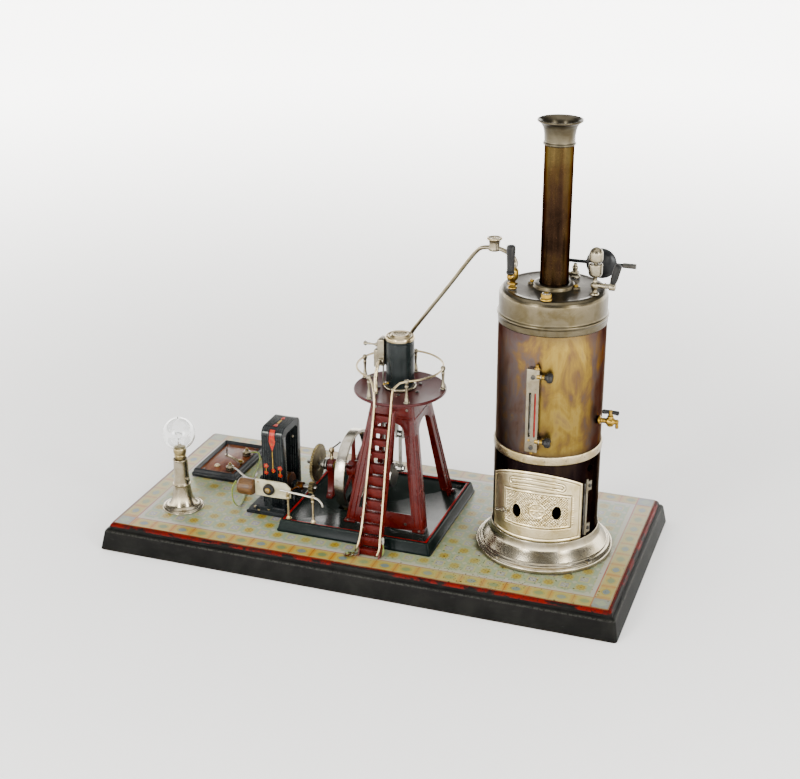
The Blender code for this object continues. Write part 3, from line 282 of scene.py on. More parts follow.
def screw(at, axis, radius, height=None, turn=35.0, slot_share=0.2):
    """A slotted screw head: a thin disc that carries two half-round cheeks with the slot between them."""
    height = height or radius * 0.62
    bm = lathe([(0, 0), (radius, 0), (radius, height * 0.45), (0, height * 0.45)], (0, 0, 0), steps=28,
               soft=0.1)
    gap = radius * slot_share
    for side in (0, 180):
        start = math_angle(gap, radius)
        outline = circle((0, 0), radius * 0.97, start, 180 - start, 12)
        cheek = slab(outline, height * 0.3, height, "Z", radius * 0.13, 2)
        bm = merged([bm, shifted(cheek, turn=side)])
    return placed(bm, at, axis, turn)


def math_angle(gap, radius):
    """Degrees up a circle where a chord stands a gap above its middle."""
    return atan2(gap, sqrt(radius ** 2 - gap ** 2)) * 180 / pi


def hexagon(radius, height, at, axis="Z", sides=6, turn=0.0):
    bm = slab(circle((0, 0), radius, 0, 360, sides), 0, height, "Z", radius * 0.12)
    return placed(bm, at, axis, turn)


def knurled(radius, height, at, axis="Z", ridges=24, depth=0.25):
    """A short cylinder with a milled edge."""
    outline = []
    for i in range(ridges * 4):
        share = (0, 0, -depth, -depth)[i % 4]
        angle = 2 * pi * i / (ridges * 4)
        outline.append(((radius + share) * cos(angle), (radius + share) * sin(angle)))
    bm = slab(outline, 0, height, "Z", min(0.25, height * 0.2), 1)
    return placed(bm, at, axis)


def pour(bm, whole):
    """Adds a bmesh to another and frees it."""
    scratch = bpy.data.meshes.new("scratch")
    bm.to_mesh(scratch)
    bm.free()
    whole.from_mesh(scratch)
    bpy.data.meshes.remove(scratch)


def flute(bm, centre, inside, depth, count):
    """Presses shallow flutes into a knob on an X axis through (y, z), outside a given radius."""
    for vert in bm.verts:
        off = Vector((0, vert.co.y - centre[0], vert.co.z - centre[1]))
        if off.length > inside:
            vert.co -= off.normalized() * depth * (0.5 + 0.5 * cos(count * atan2(off.z, off.y)))


def merged(meshes):
    """One bmesh that holds all of these. They are freed."""
    whole = bmesh.new()
    for bm in meshes:
        pour(bm, whole)
    return whole


def carved(bm, cutters):
    """The mesh with exact Boolean cuts."""
    objects = []
    for part in (bm, *cutters):
        bmesh.ops.recalc_face_normals(part, faces=part.faces)
        mesh = bpy.data.meshes.new("carved")
        part.to_mesh(mesh)
        part.free()
        made = bpy.data.objects.new("carved", mesh)
        bpy.context.scene.collection.objects.link(made)
        objects.append(made)
    for cutter in objects[1:]:
        modifier = objects[0].modifiers.new("Cut", "BOOLEAN")
        modifier.operation = "DIFFERENCE"
        modifier.solver = "EXACT"
        modifier.object = cutter
    bpy.context.view_layer.update()
    graph = bpy.context.evaluated_depsgraph_get()
    out = bmesh.new()
    out.from_mesh(objects[0].evaluated_get(graph).to_mesh())
    for made in objects:
        mesh = made.data
        bpy.data.objects.remove(made)
        bpy.data.meshes.remove(mesh)
    return out


def make(name, body, parts, *replaced, slot=None, sharp=38):
    """One piece from (bmesh, material) pairs. It rides on a body and replaces the CAD nodes named."""
    whole = bmesh.new()
    paints = []
    for bm, paint in parts:
        if paint not in paints:
            paints.append(paint)
        bmesh.ops.recalc_face_normals(bm, faces=bm.faces)
        for face in bm.faces:
            face.material_index = paints.index(paint)
        pour(bm, whole)
    bmesh.ops.scale(whole, verts=whole.verts, vec=(MM, MM, MM))
    mesh = bpy.data.meshes.new(name)
    whole.to_mesh(mesh)
    whole.free()
    for paint in paints:
        mesh.materials.append(paint)
    mesh.shade_smooth()
    mesh.set_sharp_from_angle(angle=radians(sharp))
    piece = bpy.data.objects.new(name, mesh)
    bpy.context.scene.collection.objects.link(piece)
    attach(piece, body)
    if replaced:
        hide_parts(*replaced)
    return piece


# ---------------------------------------------------------------- materials


RICHNESS = 1.45     # how far colours are saturated, because the view transform takes some colour away


class Paint:
    """Builds one material's nodes. An input is a value or a node's socket. Sizes are in millimetres."""

    def __init__(self, name, depth=0.52, **settings):
        """depth darkens all the material's colours: the light is strong enough to whiten the floor."""
        self.depth = depth
        self.material = bpy.data.materials.new(name)
        self.material.use_nodes = True
        self.tree = self.material.node_tree
        self.shader = self.tree.nodes["Principled BSDF"]
        for key, value in settings.items():
            self.shader.inputs[key.replace("_", " ")].default_value = value
        place = self.node("TexCoord").outputs["Object"]
        self.place = self.vector("MULTIPLY", place, (1000.0, 1000.0, 1000.0))
        parts = self.node("SeparateXYZ", {0: self.place})
        self.x, self.y, self.z = parts.outputs

    def deep(self, colour):
        grey = sum(colour[:3]) / 3
        rich = 1.0 if self.depth == 1.0 else RICHNESS
        return *(max(0.0, grey + (c - grey) * rich) * self.depth for c in colour[:3]), 1.0

    def put(self, socket, value):
        if isinstance(value, bpy.types.NodeSocket):
            self.tree.links.new(value, socket)
        elif socket.type == "RGBA":
            socket.default_value = self.deep(value)
        else:
            socket.default_value = value

    def node(self, kind, inputs=None, **settings):
        made = self.tree.nodes.new("ShaderNode" + kind)
        for key, value in settings.items():
            setattr(made, key, value)
        for key, value in (inputs or {}).items():
            self.put(made.inputs[key], value)
        return made

    def math(self, operation, a, b=0.0, clamp=False):
        return self.node("Math", {0: a, 1: b}, operation=operation, use_clamp=clamp).outputs[0]

    def vector(self, operation, a, b):
        return self.node("VectorMath", {0: a, 1: b}, operation=operation).outputs[0]

    def join(self, x, y, z=0.0):
        return self.node("CombineXYZ", {0: x, 1: y, 2: z}).outputs[0]

    def mix(self, share, a, b):
        return self.node("Mix", {0: share, 6: a, 7: b}, data_type="RGBA").outputs[2]

    def between(self, share, a, b):
        return self.node("MapRange", {0: share, 1: 0.0, 2: 1.0, 3: a, 4: b}).outputs[0]

    def rise(self, value, start, end):
        """0 before start and 1 after end, smooth between them. It falls if end is below start."""
        if start < end:
            return self.node("MapRange", {0: value, 1: start, 2: end},
                             interpolation_type="SMOOTHSTEP").outputs[0]
        return self.math("SUBTRACT", 1.0, self.rise(value, end, start))

    def band(self, value, first, last, blur):
        up = self.rise(value, first - blur, first + blur)
        down = self.rise(value, last + blur, last - blur)
        return self.math("MULTIPLY", up, down)

    def noise(self, scale, detail=3.0, rough=0.55, stretch=(1.0, 1.0, 1.0), warp=0.0):
        where = self.vector("MULTIPLY", self.place, stretch)
        inputs = {"Vector": where, "Scale": scale, "Detail": detail, "Roughness": rough, "Distortion": warp}
        return self.node("TexNoise", inputs).outputs[0]

    def cells(self, scale):
        return self.node("TexVoronoi", {"Vector": self.place, "Scale": scale}, feature="F1")

    def ramp(self, value, *stops):
        made = self.node("ValToRGB", {0: value})
        elements = made.color_ramp.elements
        while len(elements) < len(stops):
            elements.new(0.5)
        for element, (at, colour) in zip(elements, stops):
            element.position = at
            element.color = self.deep(colour)
        return made.outputs[0]

    def add(self, a, b):
        return self.math("ADD", a, b)

    def less(self, a, b):
        return self.math("SUBTRACT", a, b)

    def over(self, a, b):
        return self.math("DIVIDE", a, b)

    def size(self, a):
        return self.math("ABSOLUTE", a)

    def both(self, a, b):
        return self.math("MULTIPLY", a, b)

    def either(self, a, b):
        return self.math("MAXIMUM", a, b)

    def length(self, vector):
        return self.node("VectorMath", {0: vector}, operation="LENGTH").outputs["Value"]

    def shade_corners(self, colour, dark, distance=2.5, share=0.8):
        """The colour darkened in the corners and seams: painted shade."""
        return self.mix(self.both(self.corner_shade(distance), share), colour, dark)

    def corner_shade(self, distance):
        """1 in corners and seams, 0 on open faces, from ambient occlusion: the mask of painted shade."""
        inputs = {"Distance": distance * MM}
        shade = self.node("AmbientOcclusion", inputs, samples=4).outputs["AO"]
        return self.rise(shade, 0.75, 0.25)

    def finish(self, colour, rough=0.4, height=None, depth=0.1, metal=None):
        """height is a 0 to 1 relief, depth its size in millimetres."""
        self.put(self.shader.inputs["Base Color"], colour)
        self.put(self.shader.inputs["Roughness"], rough)
        if metal is not None:
            self.put(self.shader.inputs["Metallic"], metal)
        if height is not None:
            bump = self.node("Bump", {"Height": height, "Distance": depth * MM, "Strength": 1.0})
            self.put(self.shader.inputs["Normal"], bump.outputs[0])
        return self.material


DOOR_FACE = 54.7    # the stoking door's face, measured from the boiler's axis


def plated(name, bright, dull, rough=(0.2, 0.36), grain=(1.0, 1.0, 6.0), depth=0.52, recess_shade=False):
    """Worn plating or bare metal: cloudy tarnish, dark specks, painted shade in the seams (and, if asked,
    in the door's pressed hollows) and fine turning marks.
    """
    p = Paint(name, depth, Metallic=1.0)
    cloud = p.noise(0.06, 4.0, 0.6, warp=0.6)
    colour = p.mix(p.rise(cloud, 0.38, 0.7), bright, dull)
    fine = p.noise(1.6, 2.0, 0.6)
    speck = p.both(p.rise(fine, 0.66, 0.74), 0.5)
    colour = p.mix(speck, colour, tuple(c * 0.3 for c in dull))
    # Painted shade in the seams; the same mask also makes the seams rougher.
    shade_mask = p.corner_shade(2.5)
    # Painted shade also in the hollows pressed below the door's face.
    if recess_shade:
        axis = p.vector("SUBTRACT", p.join(p.x, p.y), (BOILER.x, BOILER.y, 0.0))
        out = p.length(axis)
        shade_mask = p.either(shade_mask, p.rise(out, DOOR_FACE, DOOR_FACE - 0.28))
    colour = p.mix(p.both(shade_mask, 0.85), colour, tuple(c * 0.16 for c in dull))
    marks = p.noise(0.9, 3.0, 0.7, stretch=grain)
    share = p.math("ADD", p.both(marks, 0.7), p.both(cloud, 0.5), clamp=True)
    rough_now = p.add(p.between(share, *rough), p.both(shade_mask, 0.25))
    height = p.add(p.both(marks, 0.5), p.both(fine, 0.5))
    return p.finish(colour, rough_now, height, 0.012)


DARK_EDGE = (0.35, 0.3, 0.25, 1.0)     # tint of burnt brass at a grazing angle


def heat_tinted():
    """The boiler's brass, baked to mottled gold, purple-brown and blue-grey."""
    p = Paint("heat_tinted_brass", 0.38, Metallic=1.0, Specular_Tint=DARK_EDGE)
    around = p.math("ARCTAN2", p.less(p.y, BOILER.y), p.less(p.x, BOILER.x))
    gold_side = p.rise(p.size(p.add(around, 1.12)), 0.95, 0.1)
    patches = p.noise(0.035, 5.0, 0.62, stretch=(1.0, 1.0, 0.7), warp=0.8)
    streaks = p.noise(0.12, 4.0, 0.6, stretch=(1.0, 1.0, 0.12))
    share = p.add(p.both(patches, 0.85), p.both(streaks, 0.35))
    share = p.add(share, p.both(gold_side, 0.26))
    share = p.less(share, 0.2)
    colour = p.ramp(share, (0.22, (0.045, 0.032, 0.034)), (0.36, (0.14, 0.10, 0.085)),
                    (0.44, (0.14, 0.118, 0.115)),
                    (0.52, (0.20, 0.135, 0.085)), (0.62, (0.33, 0.235, 0.105)), (0.72, (0.44, 0.33, 0.15)),
                    (0.84, (0.29, 0.21, 0.13)))
    rim = p.either(p.rise(p.z, high("boiler_drum").z - 14, high("boiler_drum").z), p.rise(p.z, 158, 150))
    colour = p.mix(p.both(rim, 0.55), colour, (0.07, 0.048, 0.05))
    fine = p.noise(1.2, 3.0, 0.65)
    colour = p.mix(p.both(p.rise(fine, 0.6, 0.75), 0.45), colour, (0.08, 0.055, 0.04))
    # Painted shade in the corners and seams.
    colour = p.shade_corners(colour, (0.02, 0.015, 0.012), 4.0, 0.8)
    rough = p.between(p.add(p.both(patches, 0.6), p.both(fine, 0.4)), 0.22, 0.46)
    brushed = p.noise(0.6, 3.0, 0.6, stretch=(1.0, 1.0, 5.0))
    return p.finish(colour, rough, p.add(p.both(brushed, 0.5), p.both(patches, 0.5)), 0.02)


def burnt(name, tones, rough=(0.2, 0.4), depth=0.11):
    """Dark heat-blackened brass with long bronze streaks."""
    p = Paint(name, depth, Metallic=1.0, Specular_Tint=DARK_EDGE)
    streaks = p.noise(0.1, 4.0, 0.6, stretch=(1.0, 1.0, 0.1))
    patches = p.noise(0.03, 4.0, 0.6, warp=0.5)
    share = p.add(p.both(streaks, 0.5), p.both(patches, 0.5))
    colour = p.ramp(share, (0.34, tones[0]), (0.46, tones[1]), (0.56, tones[2]), (0.68, tones[3]))
    fine = p.noise(1.4, 3.0, 0.65)
    colour = p.mix(p.both(p.rise(fine, 0.62, 0.74), 0.4), colour, tuple(c * 0.4 for c in tones[0]))
    # Painted shade in the corners and seams.
    colour = p.shade_corners(colour, (0.012, 0.009, 0.008), 3.0, 0.8)
    rings = p.noise(0.5, 3.0, 0.6, stretch=(1.0, 1.0, 6.0))
    rough_now = p.between(p.add(p.both(patches, 0.5), p.both(fine, 0.5)), *rough)
    return p.finish(colour, rough_now, rings, 0.015)


def chimney_paint():
    """Like burnt brass, but golden near its top, where it stayed cooler."""
    p = Paint("chimney_brass", 0.12, Metallic=1.0, Specular_Tint=DARK_EDGE)
    streaks = p.noise(0.09, 4.0, 0.6, stretch=(1.0, 1.0, 0.07))
    patches = p.noise(0.03, 4.0, 0.6, warp=0.5)
    share = p.add(p.both(streaks, 0.55), p.both(patches, 0.45))
    top = p.rise(p.z, 395, 446)
    share = p.add(share, p.both(top, 0.16))
    colour = p.ramp(share, (0.36, (0.035, 0.022, 0.016)), (0.48, (0.085, 0.052, 0.036)),
                    (0.58, (0.14, 0.09, 0.05)), (0.74, (0.24, 0.18, 0.095)))
    fine = p.noise(1.4, 3.0, 0.65)
    colour = p.mix(p.both(p.rise(fine, 0.62, 0.74), 0.4), colour, (0.02, 0.013, 0.01))
    # Painted shade in the corners and seams.
    colour = p.shade_corners(colour, (0.012, 0.009, 0.008), 3.0, 0.8)
    rings = p.noise(0.5, 3.0, 0.6, stretch=(1.0, 1.0, 6.0))
    return p.finish(colour, p.between(fine, 0.2, 0.38), rings, 0.012)


def enamel(name, colour, worn, under=(0.03, 0.02, 0.018), rough=(0.16, 0.4), chips=0.72, coat=0.06,
           depth=0.42):
    """Gloss paint: slightly uneven, with painted shade in the corners, and chipped here and there."""
    p = Paint(name, depth, Specular_IOR_Level=0.14, Coat_Weight=coat, Coat_Roughness=0.12)
    cloud = p.noise(0.05, 4.0, 0.6, warp=0.4)
    tone = p.mix(p.rise(cloud, 0.35, 0.7), colour, worn)
    fine = p.noise(0.9, 4.0, 0.7)
    tone = p.mix(p.both(p.rise(fine, 0.55, 0.75), 0.35), tone, tuple(c * 0.45 for c in colour))
    chip = p.both(p.rise(p.noise(0.55, 5.0, 0.75), chips, chips + 0.03), 0.9)
    tone = p.mix(chip, tone, under)
    # Painted shade in the corners.
    shade_mask = p.corner_shade(3.0)
    tone = p.mix(p.both(shade_mask, 0.7), tone, tuple(c * 0.25 for c in under))
    rough_now = p.add(p.between(cloud, *rough), p.both(chip, 0.3))
    height = p.less(p.both(p.noise(0.35, 3.0, 0.5), 0.6), p.both(chip, 0.5))
    return p.finish(tone, rough_now, height, 0.05)


def stained_wood(name, dark, light, along=(1.0, 1.0, 0.08), rough=(0.32, 0.5)):
    """Turned, stained wood with grain along one axis and rubbed edges."""
    p = Paint(name, Specular_IOR_Level=0.15, Coat_Weight=0.05, Coat_Roughness=0.25)
    grain = p.noise(1.1, 5.0, 0.7, stretch=along, warp=0.3)
    tone = p.mix(p.rise(grain, 0.42, 0.72), dark, light)
    rub = p.noise(0.25, 4.0, 0.65)
    tone = p.mix(p.both(p.rise(rub, 0.58, 0.72), 0.4), tone, tuple(min(1.0, c * 2.2) for c in light))
    # Painted shade in the corners and seams.
    tone = p.shade_corners(tone, tuple(c * 0.3 for c in dark), 2.5, 0.7)
    return p.finish(tone, p.between(rub, *rough), grain, 0.05)


def base_lacquer():
    """The wooden base: worn black lacquer, with a rubbed red band above its shoulder."""
    p = Paint("base_lacquer", 0.35, Specular_IOR_Level=0.04, Coat_Weight=0.005, Coat_Roughness=0.3)
    cloud = p.noise(0.03, 5.0, 0.65, warp=0.5)
    fine = p.noise(0.5, 5.0, 0.7)
    black = p.mix(p.rise(cloud, 0.35, 0.72), (0.0065, 0.0065, 0.0058), (0.018, 0.018, 0.016))
    scuff = p.rise(p.noise(0.16, 6.0, 0.75, stretch=(0.35, 0.35, 1.6)), 0.62, 0.74)
    black = p.mix(p.both(scuff, 0.45), black, (0.05, 0.052, 0.05))
    dent = p.rise(p.noise(0.2, 5.0, 0.8), 0.73, 0.77)
    black = p.mix(p.both(dent, 0.6), black, (0.09, 0.075, 0.055))
    # A lighter line along the rounded shoulder, broken up by noise: edge wear, and a painted highlight.
    edge = p.both(p.band(p.z, 19.7, 21.3, 0.5), p.rise(fine, 0.35, 0.6))
    black = p.mix(p.both(edge, 0.4), black, (0.13, 0.13, 0.115))
    red = p.mix(p.rise(cloud, 0.4, 0.65), (0.21, 0.03, 0.022), (0.12, 0.018, 0.013))
    long_wear = p.noise(0.018, 4.0, 0.7, stretch=(1.0, 1.0, 2.0))
    kept = p.both(p.rise(long_wear, 0.54, 0.46), p.rise(fine, 0.66, 0.5))
    red_zone = p.both(p.rise(p.z, 24.6, 25.6),
                      p.either(kept, p.both(p.rise(p.z, 27.2, 28.2), p.rise(fine, 0.62, 0.46))))
    tone = p.mix(red_zone, black, red)
    foot = p.both(p.rise(p.z, 2.2, 0.4), p.rise(fine, 0.4, 0.6))
    tone = p.mix(p.both(foot, 0.5), tone, (0.11, 0.085, 0.06))
    rough = p.add(p.between(cloud, 0.3, 0.5), p.both(scuff, 0.15))
    height = p.less(p.both(fine, 0.6), p.both(dent, 0.6))
    return p.finish(tone, rough, height, 0.12)


TILE = 16.25                    # printed floor tiles
TILE_START = (-140.1, -73.5)    # middle of one tile with an ochre rosette
BORDER = 18.0
LOZENGE = 22.8                  # spacing along the border
LOZENGE_START = (174.4, -90.0)
CREAM = (0.62, 0.57, 0.33)
OCHRE = (0.42, 0.30, 0.05)
TURQUOISE = (0.39, 0.47, 0.34)
LAVENDER = (0.40, 0.39, 0.42)
LINE_RED = (0.40, 0.05, 0.025)


def tile_field(p):
    """Cream tiles between turquoise bars, with ochre rosettes and lavender squares by turns."""
    u = p.over(p.less(p.x, TILE_START[0]), TILE)
    v = p.over(p.less(p.y, TILE_START[1]), TILE)
    cell_u = p.math("FLOOR", p.add(u, 0.5))
    cell_v = p.math("FLOOR", p.add(v, 0.5))
    across = p.both(p.less(u, cell_u), TILE)
    along = p.both(p.less(v, cell_v), TILE)
    odd = p.both(p.math("FRACT", p.both(p.add(cell_u, cell_v), 0.5)), 2.0)
    wide = p.size(across)
    deep = p.size(along)
    square = p.either(wide, deep)
    radius = p.math("SQRT", p.add(p.both(across, across), p.both(along, along)))
    petal = p.both(p.math("COSINE", p.both(p.math("ARCTAN2", along, across), 8.0)), 0.55)
    bloom = p.less(radius, petal)
    colour = p.mix(p.rise(square, 5.4, 5.9), CREAM, TURQUOISE)
    corner = p.rise(p.add(wide, deep), 13.0, 13.8)
    colour = p.mix(corner, colour, (0.62, 0.60, 0.50))
    ochre = p.mix(p.rise(radius, 1.3, 1.8), (0.30, 0.17, 0.04), (0.56, 0.45, 0.13))
    ochre = p.mix(p.rise(radius, 2.3, 2.8), ochre, OCHRE)
    rosette = p.mix(p.rise(bloom, 4.9, 4.4),
                    p.mix(p.band(bloom, 5.3, 5.8, 0.2), colour, (0.34, 0.33, 0.14)), ochre)
    plain = p.mix(p.rise(square, 4.3, 3.8), colour, LAVENDER)
    star = p.both(p.math("COSINE", p.both(p.math("ARCTAN2", along, across), 4.0)), 0.9)
    plain = p.mix(p.rise(p.less(radius, star), 2.5, 1.9), plain, (0.62, 0.62, 0.60))
    plain = p.mix(p.rise(radius, 0.9, 0.6), plain, (0.40, 0.30, 0.16))
    return p.mix(odd, rosette, plain)


def border_strip(p, along, start, depth):
    """Ochre strip with blue-grey and green lozenges between dividers. depth runs in from the edge."""
    place = p.over(p.less(along, start), LOZENGE)
    cell = p.math("FLOOR", p.add(place, 0.5))
    step = p.both(p.size(p.less(place, cell)), LOZENGE)
    odd = p.both(p.math("FRACT", p.both(cell, 0.5)), 2.0)
    off = p.size(p.less(depth, BORDER / 2))
    shape = p.add(p.math("POWER", p.over(step, 5.0), 1.6),
                   p.math("POWER", p.over(off, 3.9), 1.6))
    colour = p.mix(p.rise(step, 7.0, 10.0), (0.57, 0.45, 0.17), (0.60, 0.33, 0.09))
    colour = p.mix(p.rise(off, 6.4, 7.2), colour, (0.52, 0.46, 0.24))
    colour = p.mix(p.band(shape, 1.0, 1.5, 0.1), colour, (0.40, 0.34, 0.12))
    inner = p.mix(odd, (0.20, 0.25, 0.26), (0.21, 0.27, 0.14))
    colour = p.mix(p.rise(shape, 1.0, 0.85), colour, inner)
    return p.mix(p.rise(step, LOZENGE / 2 - 0.7, LOZENGE / 2 - 0.3), colour, (0.36, 0.14, 0.05))


def specks(p, scale, size, share):
    """Small random dots: scale is cells per millimetre, size the dot's share of its cell."""
    cells = p.cells(scale)
    chosen = p.node("SeparateXYZ", {0: cells.outputs["Color"]}).outputs
    dot = p.rise(cells.outputs["Distance"], size, size * 0.7)
    return p.both(dot, p.math("LESS_THAN", chosen[0], share)), chosen[1]


def printed_tin():
    """The base's top: printed tinplate, a lozenge border round a tiled field, rubbed and sooty."""
    p = Paint("printed_tin", 0.32, Specular_IOR_Level=0.12, Coat_Weight=0.04, Coat_Roughness=0.25)
    from_side = p.less(PLATE_HALF.x, p.size(p.x))
    from_front = p.less(PLATE_HALF.y, p.size(p.y))
    edge = p.math("MINIMUM", from_side, from_front)
    field = tile_field(p)
    field = p.mix(p.rise(edge, 23.2, 22.6), field, (0.64, 0.62, 0.54))
    front = border_strip(p, p.x, LOZENGE_START[0], from_front)
    side = border_strip(p, p.y, LOZENGE_START[1], from_side)
    strip = p.mix(p.math("LESS_THAN", from_side, from_front), front, side)
    colour = p.mix(p.rise(edge, BORDER + 0.2, BORDER - 0.2), field, strip)
    corner = p.both(p.rise(from_side, BORDER, BORDER - 0.3), p.rise(from_front, BORDER, BORDER - 0.3))
    spot = p.add(p.size(p.less(from_side, BORDER / 2)),
                  p.size(p.less(from_front, BORDER / 2)))
    corner_colour = p.mix(p.rise(spot, 6.5, 5.8), (0.27, 0.30, 0.32), (0.36, 0.42, 0.34))
    colour = p.mix(corner, colour, corner_colour)
    line = p.either(p.band(from_side, BORDER - 0.7, BORDER + 0.7, 0.15),
                    p.band(from_front, BORDER - 0.5, BORDER + 0.5, 0.15))
    colour = p.mix(p.both(line, 0.9), colour, LINE_RED)
    colour = p.mix(p.rise(edge, 1.3, 0.7), colour, (0.24, 0.07, 0.03))
    return aged_print(p, colour)


def aged_print(p, colour):
    """Fading, small rubbed spots, brown stains round the boiler and soot in front of it."""
    fade = p.noise(0.012, 4.0, 0.6, warp=0.5)
    colour = p.mix(p.rise(fade, 0.42, 0.68), colour, p.mix(0.4, colour, (0.56, 0.58, 0.34)))
    rubbed = p.rise(p.noise(0.09, 6.0, 0.72), 0.57, 0.70)
    colour = p.mix(p.both(rubbed, 0.35), colour, (0.58, 0.56, 0.40))
    grain = p.noise(0.7, 4.0, 0.7)
    colour = p.mix(p.both(p.rise(grain, 0.52, 0.75), 0.35), colour, (0.24, 0.24, 0.16))
    off = p.vector("SUBTRACT", p.join(p.x, p.y), (BOILER.x, BOILER.y, 0.0))
    far = p.length(off)
    foot = high("boiler_foot").x - BOILER.x
    stain = p.both(p.rise(far, foot + 6, foot), p.rise(p.noise(0.12, 4.0, 0.7), 0.45, 0.6))
    colour = p.mix(p.both(stain, 0.7), colour, (0.14, 0.09, 0.04))
    spread = p.noise(0.03, 3.0, 0.6)
    near = p.vector("MULTIPLY", p.vector("SUBTRACT", p.join(p.x, p.y), (150.0, -90.0, 0.0)),
                    (1 / 72, 1 / 34, 0.0))
    reach = p.length(near)
    sooty = p.both(p.rise(reach, 1.35, 0.35), p.rise(spread, 0.3, 0.6))
    few, tint = specks(p, 0.16, 0.2, 0.5)
    many, tint_b = specks(p, 0.42, 0.30, 0.55)
    soot = p.either(p.both(many, p.rise(sooty, 0.12, 0.35)), p.both(few, p.rise(reach, 2.6, 0.8)))
    soot_colour = p.ramp(p.either(tint, tint_b), (0.5, (0.012, 0.012, 0.010)), (0.8, (0.05, 0.06, 0.02)),
                         (1.0, (0.12, 0.06, 0.015)))
    colour = p.mix(p.both(soot, 0.92), colour, soot_colour)
    rare, _ = specks(p, 0.05, 0.045, 0.5)
    colour = p.mix(p.both(rare, 0.8), colour, (0.04, 0.03, 0.02))
    # Painted shade in the corners and seams.
    colour = p.shade_corners(colour, (0.05, 0.045, 0.03), 5.0, 0.6)
    rough = p.add(p.between(fade, 0.3, 0.5), p.both(soot, 0.3))
    height = p.add(p.both(grain, 0.3), p.both(soot, 0.7))
    return p.finish(colour, rough, height, 0.08)


def tray_enamel():
    """Near-black green enamel, a red line round the rim's inner edge, and a paler, glossy floor."""
    p = Paint("tray_enamel", 0.3, Specular_IOR_Level=0.04, Coat_Weight=0.01, Coat_Roughness=0.12)
    half = (high("engine_tray") - low("engine_tray")) / 2
    reach_x = p.less(p.size(p.less(p.x, TRAY_MIDDLE.x)), half.x)
    reach_y = p.less(p.size(p.less(p.y, TRAY_MIDDLE.y)), half.y)
    out = p.either(reach_x, reach_y)
    cloud = p.noise(0.04, 4.0, 0.6, warp=0.4)
    fine = p.noise(0.8, 4.0, 0.7)
    colour = p.mix(p.rise(cloud, 0.35, 0.7), (0.006, 0.011, 0.010), (0.014, 0.021, 0.019))
    floor = p.mix(p.rise(cloud, 0.4, 0.7), (0.022, 0.030, 0.026), (0.036, 0.046, 0.040))
    colour = p.mix(p.rise(out, -8.4, -9.0), colour, floor)
    line = p.both(p.band(out, -7.7, -5.5, 0.15), p.rise(p.z, TRAY_RIM - 1.0, TRAY_RIM - 0.5))
    worn = p.rise(p.noise(0.3, 5.0, 0.7), 0.64, 0.54)
    colour = p.mix(p.both(line, p.both(worn, 0.95)), colour, (0.46, 0.055, 0.02))
    edge = p.both(p.band(p.z, TRAY_RIM - 1.0, TRAY_RIM - 0.2, 0.3), p.rise(out, -4.8, -4.0))
    colour = p.mix(p.both(p.both(edge, p.rise(fine, 0.42, 0.6)), 0.55), colour, (0.12, 0.14, 0.12))
    colour = p.mix(p.both(p.rise(fine, 0.6, 0.75), 0.3), colour, (0.05, 0.055, 0.045))
    # Painted shade in the corners and seams.
    colour = p.shade_corners(colour, (0.006, 0.006, 0.005), 4.0, 0.7)
    return p.finish(colour, p.between(cloud, 0.14, 0.34), fine, 0.03)


def board_print():
    """The switchboard's mottled orange-brown panel, with a thin pale border line."""
    p = Paint("board_panel", 0.22, Specular_IOR_Level=0.2, Coat_Weight=0.1, Coat_Roughness=0.2)
    half = (high("switchboard_panel") - low("switchboard_panel")) / 2
    out = p.either(p.less(p.size(p.less(p.x, BOARD.x)), half.x),
                   p.less(p.size(p.less(p.y, BOARD.y)), half.y))
    grain = p.noise(0.14, 6.0, 0.75, stretch=(1.0, 0.35, 1.0), warp=1.2)
    colour = p.ramp(grain, (0.36, (0.13, 0.035, 0.016)), (0.48, (0.30, 0.085, 0.033)),
                    (0.60, (0.42, 0.15, 0.06)), (0.74, (0.48, 0.24, 0.12)))
    line = p.band(out, -3.1, -2.5, 0.1)
    colour = p.mix(p.both(line, 0.55), colour, (0.52, 0.42, 0.26))
    fine = p.noise(1.0, 4.0, 0.7)
    colour = p.mix(p.both(p.rise(fine, 0.56, 0.72), 0.4), colour, (0.10, 0.035, 0.02))
    # Painted shade in the corners and seams.
    colour = p.shade_corners(colour, (0.02, 0.012, 0.008), 3.0, 0.75)
    return p.finish(colour, p.between(fine, 0.28, 0.5), grain, 0.03)


def magnet_lacquer():
    """Black lacquer with fine grey pinstripes down the magnet's front and back faces."""
    p = Paint("magnet_lacquer", 0.3, Specular_IOR_Level=0.1, Coat_Weight=0.05, Coat_Roughness=0.12)
    centre = middle("field_magnet").x
    off = p.size(p.less(p.x, centre))
    cloud = p.noise(0.05, 4.0, 0.6)
    fine = p.noise(0.9, 4.0, 0.7)
    colour = p.mix(p.rise(cloud, 0.35, 0.7), (0.008, 0.010, 0.011), (0.020, 0.024, 0.025))
    facing_out = p.size(p.node("SeparateXYZ", {0: p.node("TexCoord").outputs["Normal"]}).outputs[0])
    stripes = p.either(p.either(p.band(off, 10.0, 10.5, 0.1), p.band(off, 7.6, 7.9, 0.1)),
                       p.band(off, 4.9, 5.2, 0.1))
    stripes = p.both(stripes, p.math("LESS_THAN", facing_out, 0.5))
    stripes = p.both(stripes, p.rise(p.noise(0.25, 4.0, 0.7), 0.62, 0.5))
    colour = p.mix(p.both(stripes, 0.5), colour, (0.20, 0.21, 0.20))
    colour = p.mix(p.both(p.rise(fine, 0.62, 0.75), 0.35), colour, (0.05, 0.055, 0.055))
    # Painted shade in the corners and seams.
    colour = p.shade_corners(colour, (0.004, 0.004, 0.004), 3.0, 0.6)
    return p.finish(colour, p.between(cloud, 0.14, 0.32), fine, 0.02)


